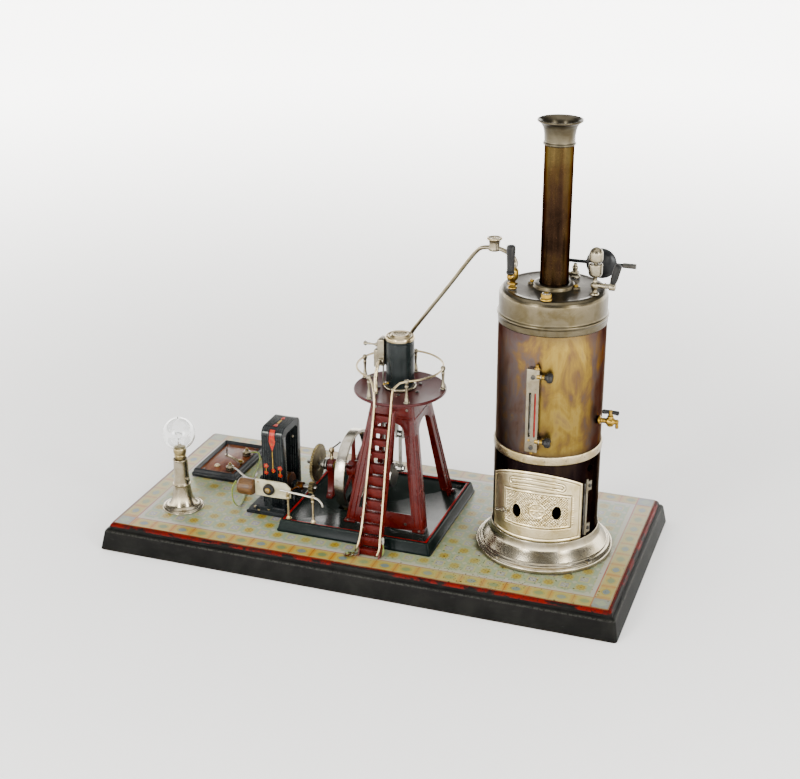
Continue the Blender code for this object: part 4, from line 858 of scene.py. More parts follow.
def cream_card():
    """Yellowed insulating card with small stains and painted shade in its corners. It has no print."""
    p = Paint("cream_card", Coat_Weight=0.1, Coat_Roughness=0.4)
    cloud = p.noise(0.12, 5.0, 0.65, warp=0.5)
    colour = p.mix(p.rise(cloud, 0.4, 0.7), (0.66, 0.62, 0.47), (0.46, 0.43, 0.29))
    blot = p.rise(p.noise(0.45, 5.0, 0.75), 0.60, 0.68)
    colour = p.mix(p.both(blot, 0.55), colour, (0.17, 0.14, 0.08))
    # Painted shade in the corners and seams.
    colour = p.shade_corners(colour, (0.07, 0.055, 0.03), 2.0, 0.8)
    return p.finish(colour, p.between(cloud, 0.45, 0.65), p.noise(1.5, 4.0, 0.7), 0.04)


def striped_fibre():
    """Turned brown fibre, with fine streaks along the barrel."""
    p = Paint("brown_fibre", 0.4, Specular_IOR_Level=0.25, Coat_Weight=0.08, Coat_Roughness=0.3)
    streak = p.noise(0.8, 4.0, 0.7, stretch=(0.06, 1.0, 1.0))
    cloud = p.noise(0.1, 4.0, 0.6)
    colour = p.ramp(streak, (0.35, (0.055, 0.028, 0.014)), (0.5, (0.125, 0.066, 0.032)),
                    (0.66, (0.23, 0.14, 0.07)))
    colour = p.mix(p.rise(cloud, 0.5, 0.75), colour, (0.10, 0.062, 0.036))
    # Painted shade in the corners and seams.
    colour = p.shade_corners(colour, (0.018, 0.012, 0.008), 2.5, 0.7)
    return p.finish(colour, p.between(streak, 0.34, 0.5), streak, 0.05)


def cotton_lead(name, colour, dark, rough=0.8):
    """Braided cotton or woven cover on a thin lead."""
    p = Paint(name, Sheen_Weight=0.3)
    thread = p.cells(2.4).outputs["Distance"]
    cloud = p.noise(0.12, 4.0, 0.6)
    tone = p.mix(p.rise(thread, 0.25, 0.55), colour, dark)
    tone = p.mix(p.rise(cloud, 0.5, 0.7), tone, tuple(c * 0.6 for c in colour))
    return p.finish(tone, p.between(cloud, rough - 0.1, rough), p.less(1.0, thread), 0.12)


def clear_glass():
    p = Paint("clear_glass", depth=1.0, Transmission_Weight=1.0, IOR=1.45, Roughness=0.0)
    film = p.noise(0.08, 4.0, 0.6)
    return p.finish(p.mix(p.rise(film, 0.5, 0.8), (0.985, 0.99, 0.99), (0.93, 0.945, 0.945)),
                    p.between(film, 0.0, 0.03))


def red_ornament(name, colour, pale):
    """Transfer print on the lacquer, paler in cloudy patches, and flaking."""
    p = Paint(name, Specular_IOR_Level=0.2, Coat_Weight=0.1, Coat_Roughness=0.12)
    cloud = p.noise(0.35, 5.0, 0.7)
    tone = p.mix(p.rise(cloud, 0.45, 0.65), colour, pale)
    tone = p.mix(p.rise(p.noise(1.1, 4.0, 0.75), 0.60, 0.68), tone, (0.03, 0.02, 0.015))
    return p.finish(tone, p.between(cloud, 0.2, 0.4), cloud, 0.01)


nickel = plated("nickel", (0.56, 0.51, 0.41), (0.38, 0.33, 0.24), (0.17, 0.33), depth=0.36)
warm_nickel = plated("warm_nickel", (0.60, 0.52, 0.38), (0.38, 0.31, 0.19), (0.18, 0.34), depth=0.62)
# The chimney crown's and the cap's nickel are darkened copies of the nickel: painted shade. The door's
# nickel is a brightened copy: painted highlight.
shaded_crown_nickel = plated("shaded_crown_nickel", (0.56, 0.50, 0.38), (0.30, 0.25, 0.17), (0.24, 0.4), depth=0.11)
shaded_cap_nickel = plated("shaded_cap_nickel", (0.56, 0.49, 0.36), (0.36, 0.30, 0.19), (0.2, 0.36), depth=0.14)
lit_door_nickel = plated("lit_door_nickel", (0.66, 0.58, 0.42), (0.46, 0.38, 0.24), (0.22, 0.36), depth=0.95,
                     recess_shade=True)
turned_nickel = plated("turned_nickel", (0.58, 0.53, 0.43), (0.40, 0.35, 0.26), (0.15, 0.3),
                       (1.0, 1.0, 8.0))
rim_nickel = plated("rim_nickel", (0.66, 0.62, 0.55), (0.48, 0.44, 0.36), (0.16, 0.3), (6.0, 0.6, 0.6))
pale_brass = plated("pale_brass", (0.50, 0.43, 0.28), (0.32, 0.26, 0.15), (0.2, 0.38))
brass = plated("brass", (0.46, 0.32, 0.13), (0.26, 0.17, 0.07), (0.2, 0.38))
gear_brass = plated("gear_brass", (0.24, 0.20, 0.12), (0.12, 0.10, 0.065), (0.3, 0.5))
steel = plated("steel", (0.42, 0.41, 0.38), (0.26, 0.25, 0.22), (0.2, 0.38))
dark_steel = plated("dark_steel", (0.13, 0.125, 0.115), (0.07, 0.065, 0.06), (0.3, 0.5))
white_metal = plated("wire_silver", (0.80, 0.78, 0.72), (0.60, 0.57, 0.50), (0.25, 0.4))
black_iron = enamel("black_iron", (0.010, 0.0105, 0.011), (0.020, 0.021, 0.022), (0.05, 0.04, 0.03),
                    (0.22, 0.4), depth=0.3)
copper = plated("copper_wire", (0.32, 0.13, 0.06), (0.13, 0.055, 0.03), (0.3, 0.5), (5.0, 1.0, 1.0),
                depth=0.22)
boiler_brass = heat_tinted()
fire_brass = burnt("burnt_brass", ((0.022, 0.016, 0.017), (0.055, 0.038, 0.040), (0.095, 0.066, 0.060),
                                   (0.15, 0.105, 0.075)))
flue_brass = chimney_paint()
maroon = enamel("maroon_enamel", (0.072, 0.010, 0.009), (0.105, 0.018, 0.015), (0.03, 0.012, 0.012))
# A lighter copy of the maroon enamel for the raised ribs and ladder strips: a painted highlight, and some
# rubbed paint.
lit_rib_maroon = enamel("lit_maroon_ribs", (0.095, 0.013, 0.011), (0.135, 0.024, 0.019), (0.05, 0.012, 0.012))
floor_maroon = enamel("platform_enamel", (0.065, 0.016, 0.017), (0.09, 0.028, 0.028), (0.025, 0.012, 0.012),
                      (0.26, 0.46))
black = enamel("black_enamel", (0.008, 0.010, 0.011), (0.018, 0.022, 0.023), (0.03, 0.028, 0.025))
cylinder_black = enamel("cylinder_enamel", (0.012, 0.0155, 0.0155), (0.022, 0.027, 0.027),
                        (0.04, 0.035, 0.028), (0.14, 0.3), 0.76)
black_wood = stained_wood("black_wood", (0.008, 0.008, 0.008), (0.022, 0.02, 0.018))
frame_black = stained_wood("frame_black", (0.007, 0.008, 0.009), (0.02, 0.022, 0.024), (1.0, 0.3, 1.0),
                           (0.28, 0.45))
lacquer = base_lacquer()
tin = printed_tin()
tray_paint = tray_enamel()
panel_paint = board_print()
magnet_paint = magnet_lacquer()
card = cream_card()
fibre = striped_fibre()
white_lead = cotton_lead("white_lead", (0.62, 0.60, 0.54), (0.30, 0.28, 0.22))
green_lead = cotton_lead("green_lead", (0.34, 0.42, 0.06), (0.10, 0.13, 0.02))
glass = clear_glass()
gauge_back = red_ornament("gauge_red_line", (0.30, 0.02, 0.012), (0.42, 0.05, 0.03))
print_red = red_ornament("print_red", (0.38, 0.05, 0.02), (0.46, 0.11, 0.05))
print_pink = red_ornament("print_pink", (0.25, 0.05, 0.04), (0.30, 0.14, 0.09))
print_gold = red_ornament("print_gold", (0.42, 0.27, 0.07), (0.55, 0.42, 0.16))
print_grey = red_ornament("print_grey", (0.22, 0.235, 0.22), (0.34, 0.35, 0.32))


# ---------------------------------------------------------------- camera, lights and floor


CAMERA_PLACE = (0.4863, -1.3160, 0.7573)    # metres
CAMERA_TURN, CAMERA_TILT, CAMERA_ROLL = 19.75, 67.33, -0.16     # degrees
CAMERA_LENS, CAMERA_SENSOR = 65.42, 36.0    # millimetres
LIT_HEIGHT = 0.12                           # metres up the plant that the lights aim at
# name, azimuth and elevation in degrees, distance and size in metres, watts
LIGHTS = (("left_softbox", -19.0, 24.0, 1.7, (0.36, 0.62), 22.0),
          ("right_softbox", 59.0, 22.0, 1.7, (0.36, 0.62), 19.0),
          ("overhead", 0.0, 89.9, 2.1, (3.0, 3.0), 76.0))
ROOM_GREY = (0.20, 0.20, 0.195, 1.0)
FLOOR_LEVEL = -0.1      # just under the plant's feet
FLOOR_GLOW = 5.0        # strength of the glow at the floor's far edge


def add_camera():
    data = bpy.data.cameras.new("camera")
    data.lens = CAMERA_LENS
    data.sensor_width = CAMERA_SENSOR
    camera = bpy.data.objects.new("camera", data)
    bpy.context.scene.collection.objects.link(camera)
    turn = Matrix.Rotation(radians(CAMERA_TURN), 4, "Z") @ Matrix.Rotation(radians(CAMERA_TILT), 4, "X")
    roll = Matrix.Rotation(radians(CAMERA_ROLL), 4, "Z")
    camera.matrix_world = Matrix.Translation(CAMERA_PLACE) @ turn @ roll
    bpy.context.scene.camera = camera


def add_light(name, azimuth, elevation, distance, size, watts):
    """An area light aimed at the plant. Azimuth: degrees from -Y towards +X. Lengths: metres."""
    data = bpy.data.lights.new(name, "AREA")
    data.shape = "RECTANGLE"
    data.size, data.size_y = size
    data.energy = watts
    light = bpy.data.objects.new(name, data)
    bpy.context.scene.collection.objects.link(light)
    flat = cos(radians(elevation)) * distance
    around = radians(azimuth)
    light.location = (flat * sin(around), -flat * cos(around),
                      LIT_HEIGHT + sin(radians(elevation)) * distance)
    way = Vector((0.0, 0.0, LIT_HEIGHT)) - Vector(light.location)
    light.rotation_euler = way.to_track_quat("-Z", "Y").to_euler()
    light.visible_camera = False


def add_lights():
    for light in LIGHTS:
        add_light(*light)
    world = bpy.data.worlds.new("studio")
    bpy.context.scene.world = world
    world.use_nodes = True
    background = world.node_tree.nodes["Background"]
    background.inputs["Color"].default_value = ROOM_GREY
    background.inputs["Strength"].default_value = 1.0


def add_floor():
    """A wide floor that curves up into a low wall all round, and glows a little towards it."""
    radius, curve, wall = 2700, 900, 1150
    profile = [(reach, FLOOR_LEVEL) for reach in (0.0, 600, 1500, radius)]
    profile += [(radius + curve * sin(radians(a)), curve + FLOOR_LEVEL - curve * cos(radians(a)))
                for a in range(10, 91, 10)]
    profile.append((radius + curve, wall))
    bm = lathe(profile, (0, 0, 0), steps=96, soft=0)
    bmesh.ops.scale(bm, verts=bm.verts, vec=(MM, MM, MM))
    mesh = bpy.data.meshes.new("floor")
    bm.to_mesh(mesh)
    bm.free()
    mesh.shade_smooth()
    paper = Paint("paper", depth=1.0, Emission_Color=(1.0, 0.985, 0.96, 1.0))
    cloud = paper.noise(0.004, 3.0, 0.5)
    far = paper.length(paper.join(paper.x, paper.y))
    paper.put(paper.shader.inputs["Emission Strength"],
              paper.both(paper.rise(far, 250.0, radius), FLOOR_GLOW))
    white = paper.mix(cloud, (0.86, 0.85, 0.83), (0.90, 0.89, 0.87))
    mesh.materials.append(paper.finish(white, 0.8, paper.noise(0.6, 3.0, 0.6), 0.05))
    floor = bpy.data.objects.new("floor", mesh)
    bpy.context.scene.collection.objects.link(floor)


# ---------------------------------------------------------------- base and tray


def carry(node, paint, edge=0.25):
    """Keeps a CAD node, with a finished material and its edges broken."""
    piece = frame["nodes"][node]
    piece.data.materials.clear()
    piece.data.materials.append(paint)
    if edge:
        bevel = piece.modifiers.new("Edges", "BEVEL")
        bevel.width = edge * MM
        bevel.segments = 2
        bevel.limit_method = "ANGLE"
        bevel.angle_limit = radians(40)
        bevel.harden_normals = False
    return piece


def build_base():
    half = BASE_HALF
    plate_low = low("printed_plate").z
    levels = [(half.x - 0.6, half.y - 0.6, 0.0), (half.x, half.y, 0.7), (276.6, 129.6, 19.5),
              (276.2, 129.2, 20.4),
              (275.4, 128.2, 21.5), (272.6, 125.6, 22.6), (272.2, 125.2, 25.5), (271.0, 124.2, 27.2),
              (269.4, 122.8, plate_low - 0.3)]
    make("base", "plant", [(stacked(levels, (0, 0), 4.0, 5, 0.3), lacquer)], "base_box",
         slot="black_lacquer")
    plate = [(PLATE_HALF.x, PLATE_HALF.y, plate_low), (PLATE_HALF.x, PLATE_HALF.y, PLATE_TOP - 0.15),
             (PLATE_HALF.x - 0.25, PLATE_HALF.y - 0.25, PLATE_TOP)]
    make("printed_top", "plant", [(stacked(plate, (0, 0), 1.4, 4, 0), tin)], "printed_plate",
         slot="printed_tin")


def build_tray():
    bottom = low("engine_tray").z
    wheel = low("flywheel"), high("flywheel")
    half_x, half_y = 85.5, 79.5
    levels = [(half_x, half_y, bottom), (half_x, half_y, 30.6), (half_x - 0.8, half_y - 0.7, 31.4),
              (82.6, 77.0, TRAY_RIM - 1.4), (82.0, 76.5, TRAY_RIM - 0.4), (81.3, 76.0, TRAY_RIM),
              (77.8, 72.6, TRAY_RIM), (77.2, 72.0, TRAY_RIM - 0.5), (76.7, 71.5, TRAY_FLOOR + 0.5),
              (76.0, 70.8, TRAY_FLOOR)]
    reach = sqrt(high("flywheel").y ** 2 - (SHAFT_Z - TRAY_FLOOR) ** 2) + 4
    pit = block((wheel[0].x - 0.6, -reach, 20), (wheel[1].x + 0.6, reach, 60), 0)
    tray = carved(stacked(levels, TRAY_MIDDLE, 3.0, 5, 0), [pit])
    parts = [(tray, tray_paint)]
    for sx in (-1, 1):
        for sy in (-1, 1):
            at = (TRAY_MIDDLE.x + sx * 70.5, TRAY_MIDDLE.y + sy * 65.0, TRAY_FLOOR)
            parts.append((screw(at, "Z", 2.4, 1.5, 30 * sx + 50 * sy), dark_steel))
    make("tray", "plant", parts, "engine_tray", slot="tray_enamel")


def build_tray_rail():
    run = [(-94, -74, 73.5), (-80, -74, 72.5), (-60, -74, 71), (-52, -74, 70), (-47, -74, 66),
           (-45.5, -74, 61)]
    parts = [(tube(smooth_route(run, 6), 1.15, 14, 0.8), white_metal)]
    post = [(0, 0), (3.0, 0), (3.1, 0.8), (2.2, 1.4), (1.6, 3), (1.3, 8), (1.25, 20), (1.4, 23),
            (2.0, 24.2), (1.6, 25.4), (1.9, 27), (2.3, 28.4), (2.3, 30.2), (1.5, 31.4), (0, 32)]
    for x in (-84.5, -56.5):
        parts.append((lathe(post, (x, -74, TRAY_RIM + 0.3), steps=32, soft=0.5), warm_nickel))
        parts.append((rod(0.9, 5.4, (x, -76.7, 72.2), "Y", 16, 0.4), warm_nickel))
    make("front_rail", "plant", parts, "tray_rail", slot="nickel")


# ---------------------------------------------------------------- tower, platform and ladder


def tower_half(z):
    """Half width and half depth of the tapered tower at a height."""
    rise = z - TRAY_FLOOR
    return 43.0 - 0.1577 * rise, 52.0 - 0.198 * rise


def frustum(bottom, top, inset):
    bm = bmesh.new()
    rings = []
    for z in (bottom, top):
        half_x, half_y = tower_half(z)
        corners = ((1, 1), (-1, 1), (-1, -1), (1, -1))
        rings.append([bm.verts.new((ENGINE_X + sx * (half_x - inset), sy * (half_y - inset), z))
                      for sx, sy in corners])
    return skinned(bm, rings)


def arch(half_low, half_high, start, spring, apex):
    """A tapering opening with a rounded arch on top."""
    crown = [(half_high * cos(radians(a)), spring + (apex - spring) * sin(radians(a)))
             for a in range(0, 181, 10)]
    return [(half_low, start), *crown, (-half_low, start)]


def on_front(x, z, proud=0.0, side=-1):
    return Vector((ENGINE_X + x, side * (tower_half(z)[1] + proud), z))


def on_side(y, z, proud=0.0, side=1):
    return Vector((ENGINE_X + side * (tower_half(z)[0] + proud), y, z))


def bead(start, end, radius):
    return tube([start, start.lerp(end, 0.5), end], radius, 8, 0.8)


def tower_ribs():
    """Raised beads: one loop up each leg and over its arch, and a frame on the upper panel."""
    foot, spring, crown, brow = TRAY_FLOOR + 4, 137.0, 153.0, 168.5
    ribs = []
    for side in (-1, 1):
        for place, leg in ((on_front, 0), (on_side, 1)):
            for edge in (0, 1):
                low_half = tower_half(foot)[leg] - (2.6, 8.4)[edge]
                high_half = tower_half(spring)[leg] - (2.4, 6.6)[edge]
                for turn in (-1, 1):
                    ribs.append(bead(place(turn * low_half, foot, 0.1, side),
                                     place(turn * high_half, spring, 0.1, side), 0.62))
            width = tower_half(brow)[leg] - 2.6
            wide = tower_half(crown)[leg] - 2.6
            loop = [place(-wide, crown, 0.1, side), place(wide, crown, 0.1, side),
                    place(width, brow, 0.1, side), place(-width, brow, 0.1, side)]
            for one, two in zip(loop, loop[1:] + loop[:1]):
                ribs.append(bead(one, two, 0.55))
    return merged(ribs)


def build_tower():
    wall = 1.6
    top = high("tower_frame").z
    front = [(ENGINE_X + u, v) for u, v in arch(29.1, 15.5, 54.5, 138, 149)]
    back = [(ENGINE_X + u, v) for u, v in arch(31.0, 15.5, 20.0, 138, 149)]
    sides = arch(40.0, 18.5, 20.0, 134, 146)
    shell = carved(frustum(TRAY_FLOOR + 0.3, top, 0.0), [
        frustum(TRAY_FLOOR - 20, top + 20, wall), slab(front, -80, 0, "Y", 0), slab(back, -1, 80, "Y", 0),
        slab(sides, -60, 90, "X", 0)])
    shell = bevel_edges(shell, 0.45, 2, 28)
    parts = [(shell, maroon), (tower_ribs(), lit_rib_maroon)]
    lower_x, lower_y = tower_half(TRAY_FLOOR)
    for sx in (-1, 1):
        for sy in (-1, 1):
            x = ENGINE_X + sx * (lower_x - 5.0)
            y = sy * (lower_y - 1.0)
            parts.append((stacked([(6.6, 3.4, TRAY_FLOOR + 0.3), (6.6, 3.4, TRAY_FLOOR + 1.8),
                                   (5.8, 2.6, TRAY_FLOOR + 2.4)],
                                  (x, y), 1.2, 3, 0.15), maroon))
            parts.append((screw((x + sx * 1.5, y + sy * 2.3, TRAY_FLOOR + 1.6), "Z", 1.5, 1.3, 20 * sx),
                          steel))
    for x in (-25.0, 23.5):
        parts.append((screw(on_front(x, 44.5, 0.1), "-Y", 1.5, 1.0, 60), steel))
    for x in (-17.0, 17.0):
        parts.append((screw(on_front(x, 163.0, 0.1), "-Y", 1.4, 0.9, 15), steel))
    parts.append((bead(on_front(-24.6, 155.5, 0.5), on_front(24.6, 155.5, 0.5), 0.5), lit_rib_maroon))
    make("tower", "plant", parts, "tower_frame", slot="maroon_enamel")


def build_platform():
    bottom, top = low("platform").z, high("platform").z
    radius = (high("platform").x - low("platform").x) / 2
    disc = [(0, bottom), (radius - 1.2, bottom), (radius - 0.2, bottom + 0.6), (radius, bottom + 1.2),
            (radius, top - 0.9), (radius - 0.3, top - 0.3), (radius - 0.9, top), (radius - 2.4, top - 0.25),
            (0, top - 0.25)]
    plate = lathe(disc, (ENGINE_X, 0, 0), steps=96, soft=0.3)
    valve_x = middle("valve_rod").x
    plate = carved(plate, [rod(2.6, 20, (ENGINE_X, 0, 165), steps=24, edge=0),
                           rod(1.7, 20, (valve_x, 0, 165), steps=20, edge=0)])
    parts = [(plate, floor_maroon)]
    parts.append((screw((ENGINE_X - 6, -44.6, bottom - 0.6), "-Z", 1.6, 0.9, 0), steel))
    for angle in (-75, -20, 40, 130, 205):
        x, y = on_circle(22.5, angle)
        parts.append((hexagon(1.9, 1.4, (x, y, top - 0.3), "Z", 6, angle), dark_steel))
    make("platform_top", "plant", parts, "platform", slot="maroon_enamel")


RAIL_R = 45.0
RAIL_POSTS = (-115.0, -62.0, 10.0, 88.0, 165.0)


def build_railing():
    """One wire: up the ladder's left side, round the platform, and down the right side, with five posts."""
    rail_z = 200.5
    left = [(1.5, -103, 33.5), (4.5, -104, 40), (6.5, -100, 52), (6.8, -91, 74), (6.6, -74, 124),
            (6.2, -58, 168), (5.2, -53.5, 184), (2.0, -48.5, 194), (-1.5, -44.5, 198.8)]
    ring = [(*point, rail_z) for point in circle((ENGINE_X, 0), RAIL_R, RAIL_POSTS[0], RAIL_POSTS[1] - 360,
                                                 36)]
    right = [(29.5, -45.0, 199.8), (24.6, -50.5, 194), (23.8, -53.5, 184), (24.0, -58, 168),
             (25.0, -74, 124), (26.8, -91, 74), (27.8, -100, 52), (28.6, -105, 41), (26.5, -107, 34)]
    route = [*smooth_route(left, 5), *ring, *smooth_route(right, 5)]
    parts = [(tube(route, 1.1, 12, 0.8), warm_nickel)]
    base = high("platform").z + 0.3
    tall = rail_z - base
    post = [(0, 0), (2.9, 0), (3.0, 0.7), (2.2, 1.5), (2.6, 2.4), (2.1, 5), (1.35, 9.5), (1.3, 12.5),
            (1.75, tall - 6.5),
            (2.1, tall - 5.6), (1.5, tall - 4.6), (1.8, tall - 3.2), (2.45, tall - 1.6), (2.6, tall),
            (2.3, tall + 1.4), (1.2, tall + 2.2), (0, tall + 2.4)]
    for angle in RAIL_POSTS:
        x, y = on_circle(RAIL_R, angle)
        parts.append((lathe(post, (x, y, base), steps=28, soft=0.5), nickel))
    make("railing", "plant", parts, "platform_railing", slot="nickel")


LADDER_STEPS = 12


def build_ladder():
    """A folded sheet of treads between two pressed side strips. The upper risers are pierced."""
    start = Vector((16.2, -99.5, PLATE_TOP + 0.3))
    rise = Vector((14.9, -51.5, 171.0)) - start
    half = 11.0
    pitch = rise.z / LADDER_STEPS
    treads, webs = [], []
    for number in range(LADDER_STEPS):
        at = start + rise * ((number + 0.55) / LADDER_STEPS)
        treads.append(block(at + Vector((-half + 0.5, -3.2, -0.5)), at + Vector((half - 0.5, 3.0, 0.6)),
                            0.25))
        treads.append(block(at + Vector((-half + 0.5, -3.6, -5.6)), at + Vector((half - 0.5, -2.9, 0.4)),
                            0.2))
        window = 5.4 if number > LADDER_STEPS - 6 else 8.4
        fall = max(at.z - pitch, PLATE_TOP + 1.0) - at.z
        for side in (-1, 1):
            xs = sorted((side * (half - 0.5), side * window))
            webs.append(block(at + Vector((xs[0], -2.9, fall)), at + Vector((xs[1], -2.2, -0.2)), 0.1))
        if number < LADDER_STEPS - 4:
            treads.append(block(at + Vector((-half + 0.5, -2.2, fall + 2.4)),
                                at + Vector((half - 0.5, -1.6, 0)), 0.1))
    strips = []
    for side in (-1, 1):
        bm = bmesh.new()
        rings = [[bm.verts.new((end.x + side * half + dx, end.y + dy, end.z))
                  for dx, dy in ((-0.7, -4.0), (0.7, -4.0), (0.7, 3.8), (-0.7, 3.8))]
                 for end in (start, start + rise)]
        strips.append(bevel_edges(skinned(bm, rings), 0.3, 2))
    parts = [(merged(treads), maroon), (merged(webs), maroon), (merged(strips), lit_rib_maroon)]
    for number in (4, 8):
        at = start + rise * ((number + 0.5) / LADDER_STEPS)
        for side in (-1, 1):
            parts.append((lathe([(0, 0), (1.0, 0), (0.8, 0.5), (0, 0.7)],
                                at + Vector((side * 8.4, -3.6, -1.6)), "-Y", 16),
                          steel))
    make("ladder_steps", "plant", parts, "ladder", slot="maroon_enamel")


def build_wire_ends():
    """The loose ends of two wires at the ladder's foot."""
    rng = random.Random(4)
    parts = []
    for number in range(7):
        centre = Vector((rng.uniform(-7, 4), rng.uniform(-110, -104), PLATE_TOP + 2.6))
        size = rng.uniform(2.2, 4.6)
        turn = rng.uniform(0, 6.28)
        lean = rng.uniform(-0.35, 0.35)
        points = []
        for step in range(9):
            angle = turn + step * 0.72
            points.append(centre + Vector((size * cos(angle), size * 0.8 * sin(angle),
                                           0.3 * step * abs(lean) + 1.2 * sin(angle * 1.3))))
        parts.append((tube(smooth_route(points, 4), 0.42, 8, 0.8),
                      (copper, green_lead, nickel)[number % 3]))
    parts.append((tube(smooth_route([(-8, -106, 30.0), (-3, -108, 31.4), (1.6, -105, 33.4)], 5), 0.6, 8,
                       0.8), copper))
    make("wire_tangle", "plant", parts, slot="green_lead")
    sprig = [(30.6, -101.5, 33), (31.4, -100, 39), (30.4, -99.0, 44.5)]
    make("wire_end", "plant", [(tube(smooth_route(sprig, 5), 0.7, 10, 0.8), green_lead),
                               (lathe([(0, 0), (1.1, 0.4), (1.5, 2.2), (1.3, 4.6), (1.6, 6.4), (0.8, 7.8),
                                       (0, 8)],
                                      (30.3, -98.9, 44), steps=16), white_lead)], slot="white_lead")


# ---------------------------------------------------------------- engine


def build_cylinder():
    foot = low("cylinder").z
    flange = [(2.6, foot), (17.0, foot), (17.0, foot + 2.2), (16.4, foot + 2.9), (15.0, foot + 3.2),
              (2.6, foot + 3.2)]
    barrel = [(14.0, foot + 3.0), (14.8, foot + 3.2), (14.8, 226.4), (14.4, 226.8), (14.4, 227.6),
              (14.8, 228.0), (14.8, 229.4), (9.5, 229.4), (9.5, 184), (14.0, 184)]
    parts = [(lathe(flange, (ENGINE_X, 0, 0), steps=72, ring=True), turned_nickel),
             (lathe(barrel, (ENGINE_X, 0, 0), steps=96, ring=True, soft=0.3), cylinder_black)]
    for angle in (-100, -40, 20, 80, 140, 200):
        x, y = on_circle(15.9, angle)
        parts.append((screw((x, y, foot + 2.6), "Z", 1.0, 0.8, angle), steel))
    cock = [(0, 0), (1.5, 0), (1.5, 1.2), (0.9, 1.8), (0.9, 4.0), (1.4, 4.6), (1.4, 6.0), (0, 6.4)]
    way = Vector((-0.62, -0.78, 0.0))
    parts.append((lathe(cock, Vector((ENGINE_X, 0, foot + 7)) + way.normalized() * 14.2, way, 20), brass))
    make("cylinder_body", "plant", parts, "cylinder", slot="black_enamel")
    base = low("cylinder_cap").z
    cap = [(0, base), (15.2, base), (15.4, base + 0.6), (15.4, 232.3), (15.0, 233.4), (14.0, 234.2),
           (12.6, 234.4),
           (11.6, 233.7), (10.6, 233.7), (9.6, 234.6), (9.0, 235.3), (8.2, 235.6), (7.4, 235.3),
           (6.6, 235.0), (0, 235.0)]
    make("cylinder_lid", "plant", [(lathe(cap, (ENGINE_X, 0, 0), steps=96, soft=0.35), warm_nickel)],
         "cylinder_cap", slot="nickel")


def build_valve_chest():
    chest = block((-8.8, -7.0, 200.0), (-1.1, 7.0, 228.6), 1.0, 3)
    lug = block((-13.0, -6.0, 197.5), (-8.0, 6.0, 216.5), 0.9, 3)
    bore = rod(1.8, 30, (middle("valve_rod").x, 0, 194), steps=20, edge=0)
    chest = carved(chest, [bore])
    run = [(-4.5, -6.0, 205.5), (-4.7, -10, 206), (-5.2, -15, 203), (-5.4, -19, 196), (-4.6, -23, 187),
           (-3.2, -26, 180.5), (-3.0, -26.2, high("platform").z + 0.6)]
    parts = [(chest, nickel), (lug, nickel), (tube(smooth_route(run, 7), 1.9, 20, 0.4), warm_nickel),
             (lathe([(0, 0), (3.2, 0), (3.2, 1.4), (2.4, 2.0), (0, 2.0)], (-4.5, -6.8, 205.5), "-Y", 32),
              nickel),
             (lathe([(0, 0), (2.8, 0), (2.6, 1.6), (0, 1.6)], (-3.0, -26.2, high("platform").z + 0.3), "Z",
                    32), nickel)]
    for z in (203.5, 225.2):
        for y in (-4.6, 4.6):
            parts.append((screw((-8.7, y, z), "-X", 1.2, 0.8, z), steel))
    parts.append((screw((-12.9, -2.0, 207.0), "-X", 1.7, 1.0, 40), steel))
    parts.append((tube([(-14.5, -16.5, 190.0), (-10, -18, 192.0), (-5.6, -19.0, 193.6)], 1.0, 12, 0.8),
                  dark_steel))
    make("steam_chest", "plant", parts, "valve_chest", slot="nickel")
    profile = [(0, 0), (2.2, 0), (2.3, 0.5), (2.2, 2.0), (1.3, 2.8), (1.0, 4.0), (1.0, 8.5), (1.5, 9.2),
               (1.1, 10.0), (1.2, 11.2), (2.0, 12.2), (2.4, 13.6), (2.0, 15.0), (1.0, 15.7), (0, 15.8)]
    place = joint_place("oil_cock_turn")
    face = high("oil_cock").x
    make("oil_tap", "oil_cock", [(lathe(profile, (face, place.y, place.z), "-X", 32, soft=0.3), nickel),
                                 (rod(0.7, 5.6, (face - 13.6, place.y, place.z - 2.8), "Z", 14, 0.3),
                                  nickel)],
         "oil_cock", slot="nickel")


def build_wheelwork():
    """The flywheel, and the CAD's own running gear inside the tower."""
    start, end = low("flywheel").x + 1.5, high("flywheel").x - 1.5
    width = end - start
    radius = high("flywheel").y - 0.2
    rim = radius - 4.2
    centre = (start, 0, SHAFT_Z)
    ring = [(rim, 0.8), (rim + 0.8, 0), (radius - 0.5, 0), (radius, 0.5), (radius + 0.2, width / 2),
            (radius, width - 0.5),
            (radius - 0.5, width), (rim + 0.8, width), (rim, width - 0.8), (rim - 0.6, width / 2)]
    hub = [(2.7, -1.5), (5.0, -1.5), (5.6, -0.9), (9.0, 0.6), (9.4, width / 2), (9.0, width - 0.6),
           (5.6, width + 0.9), (5.0, width + 1.5), (2.7, width + 1.5)]
    parts = [(lathe(ring, centre, "X", 128, ring=True, soft=0.3), rim_nickel),
             (lathe(hub, centre, "X", 48, ring=True, soft=0.4), maroon)]
    mid = start + width / 2
    for number in range(6):
        angle = radians(30 + 60 * number)
        way = Vector((0, cos(angle), sin(angle)))
        route = [Vector((mid, 0, SHAFT_Z)) + way * reach
                 for reach in (6.5, 10, 14, 24, 33, rim - 1.5, rim + 1.0)]
        parts.append((tube(route, (3.6, 3.1, 2.5, 2.2, 2.3, 2.9, 3.8), 18, 0.2, 0.62), maroon))
    parts.append((screw((mid + 1.6, 0, SHAFT_Z + 9.0), "Z", 1.3, 1.2, 10), steel))
    make("flywheel_body", "crank", parts, "flywheel", slot="flywheel_iron")
    for node in ("crankshaft", "connecting_rod", "eccentric_rod", "piston", "valve_rod"):
        carry(node, steel, 0.2)
    carry("main_bearing", maroon, 0.3)
    carry("spirit_burner", brass, 0.4)


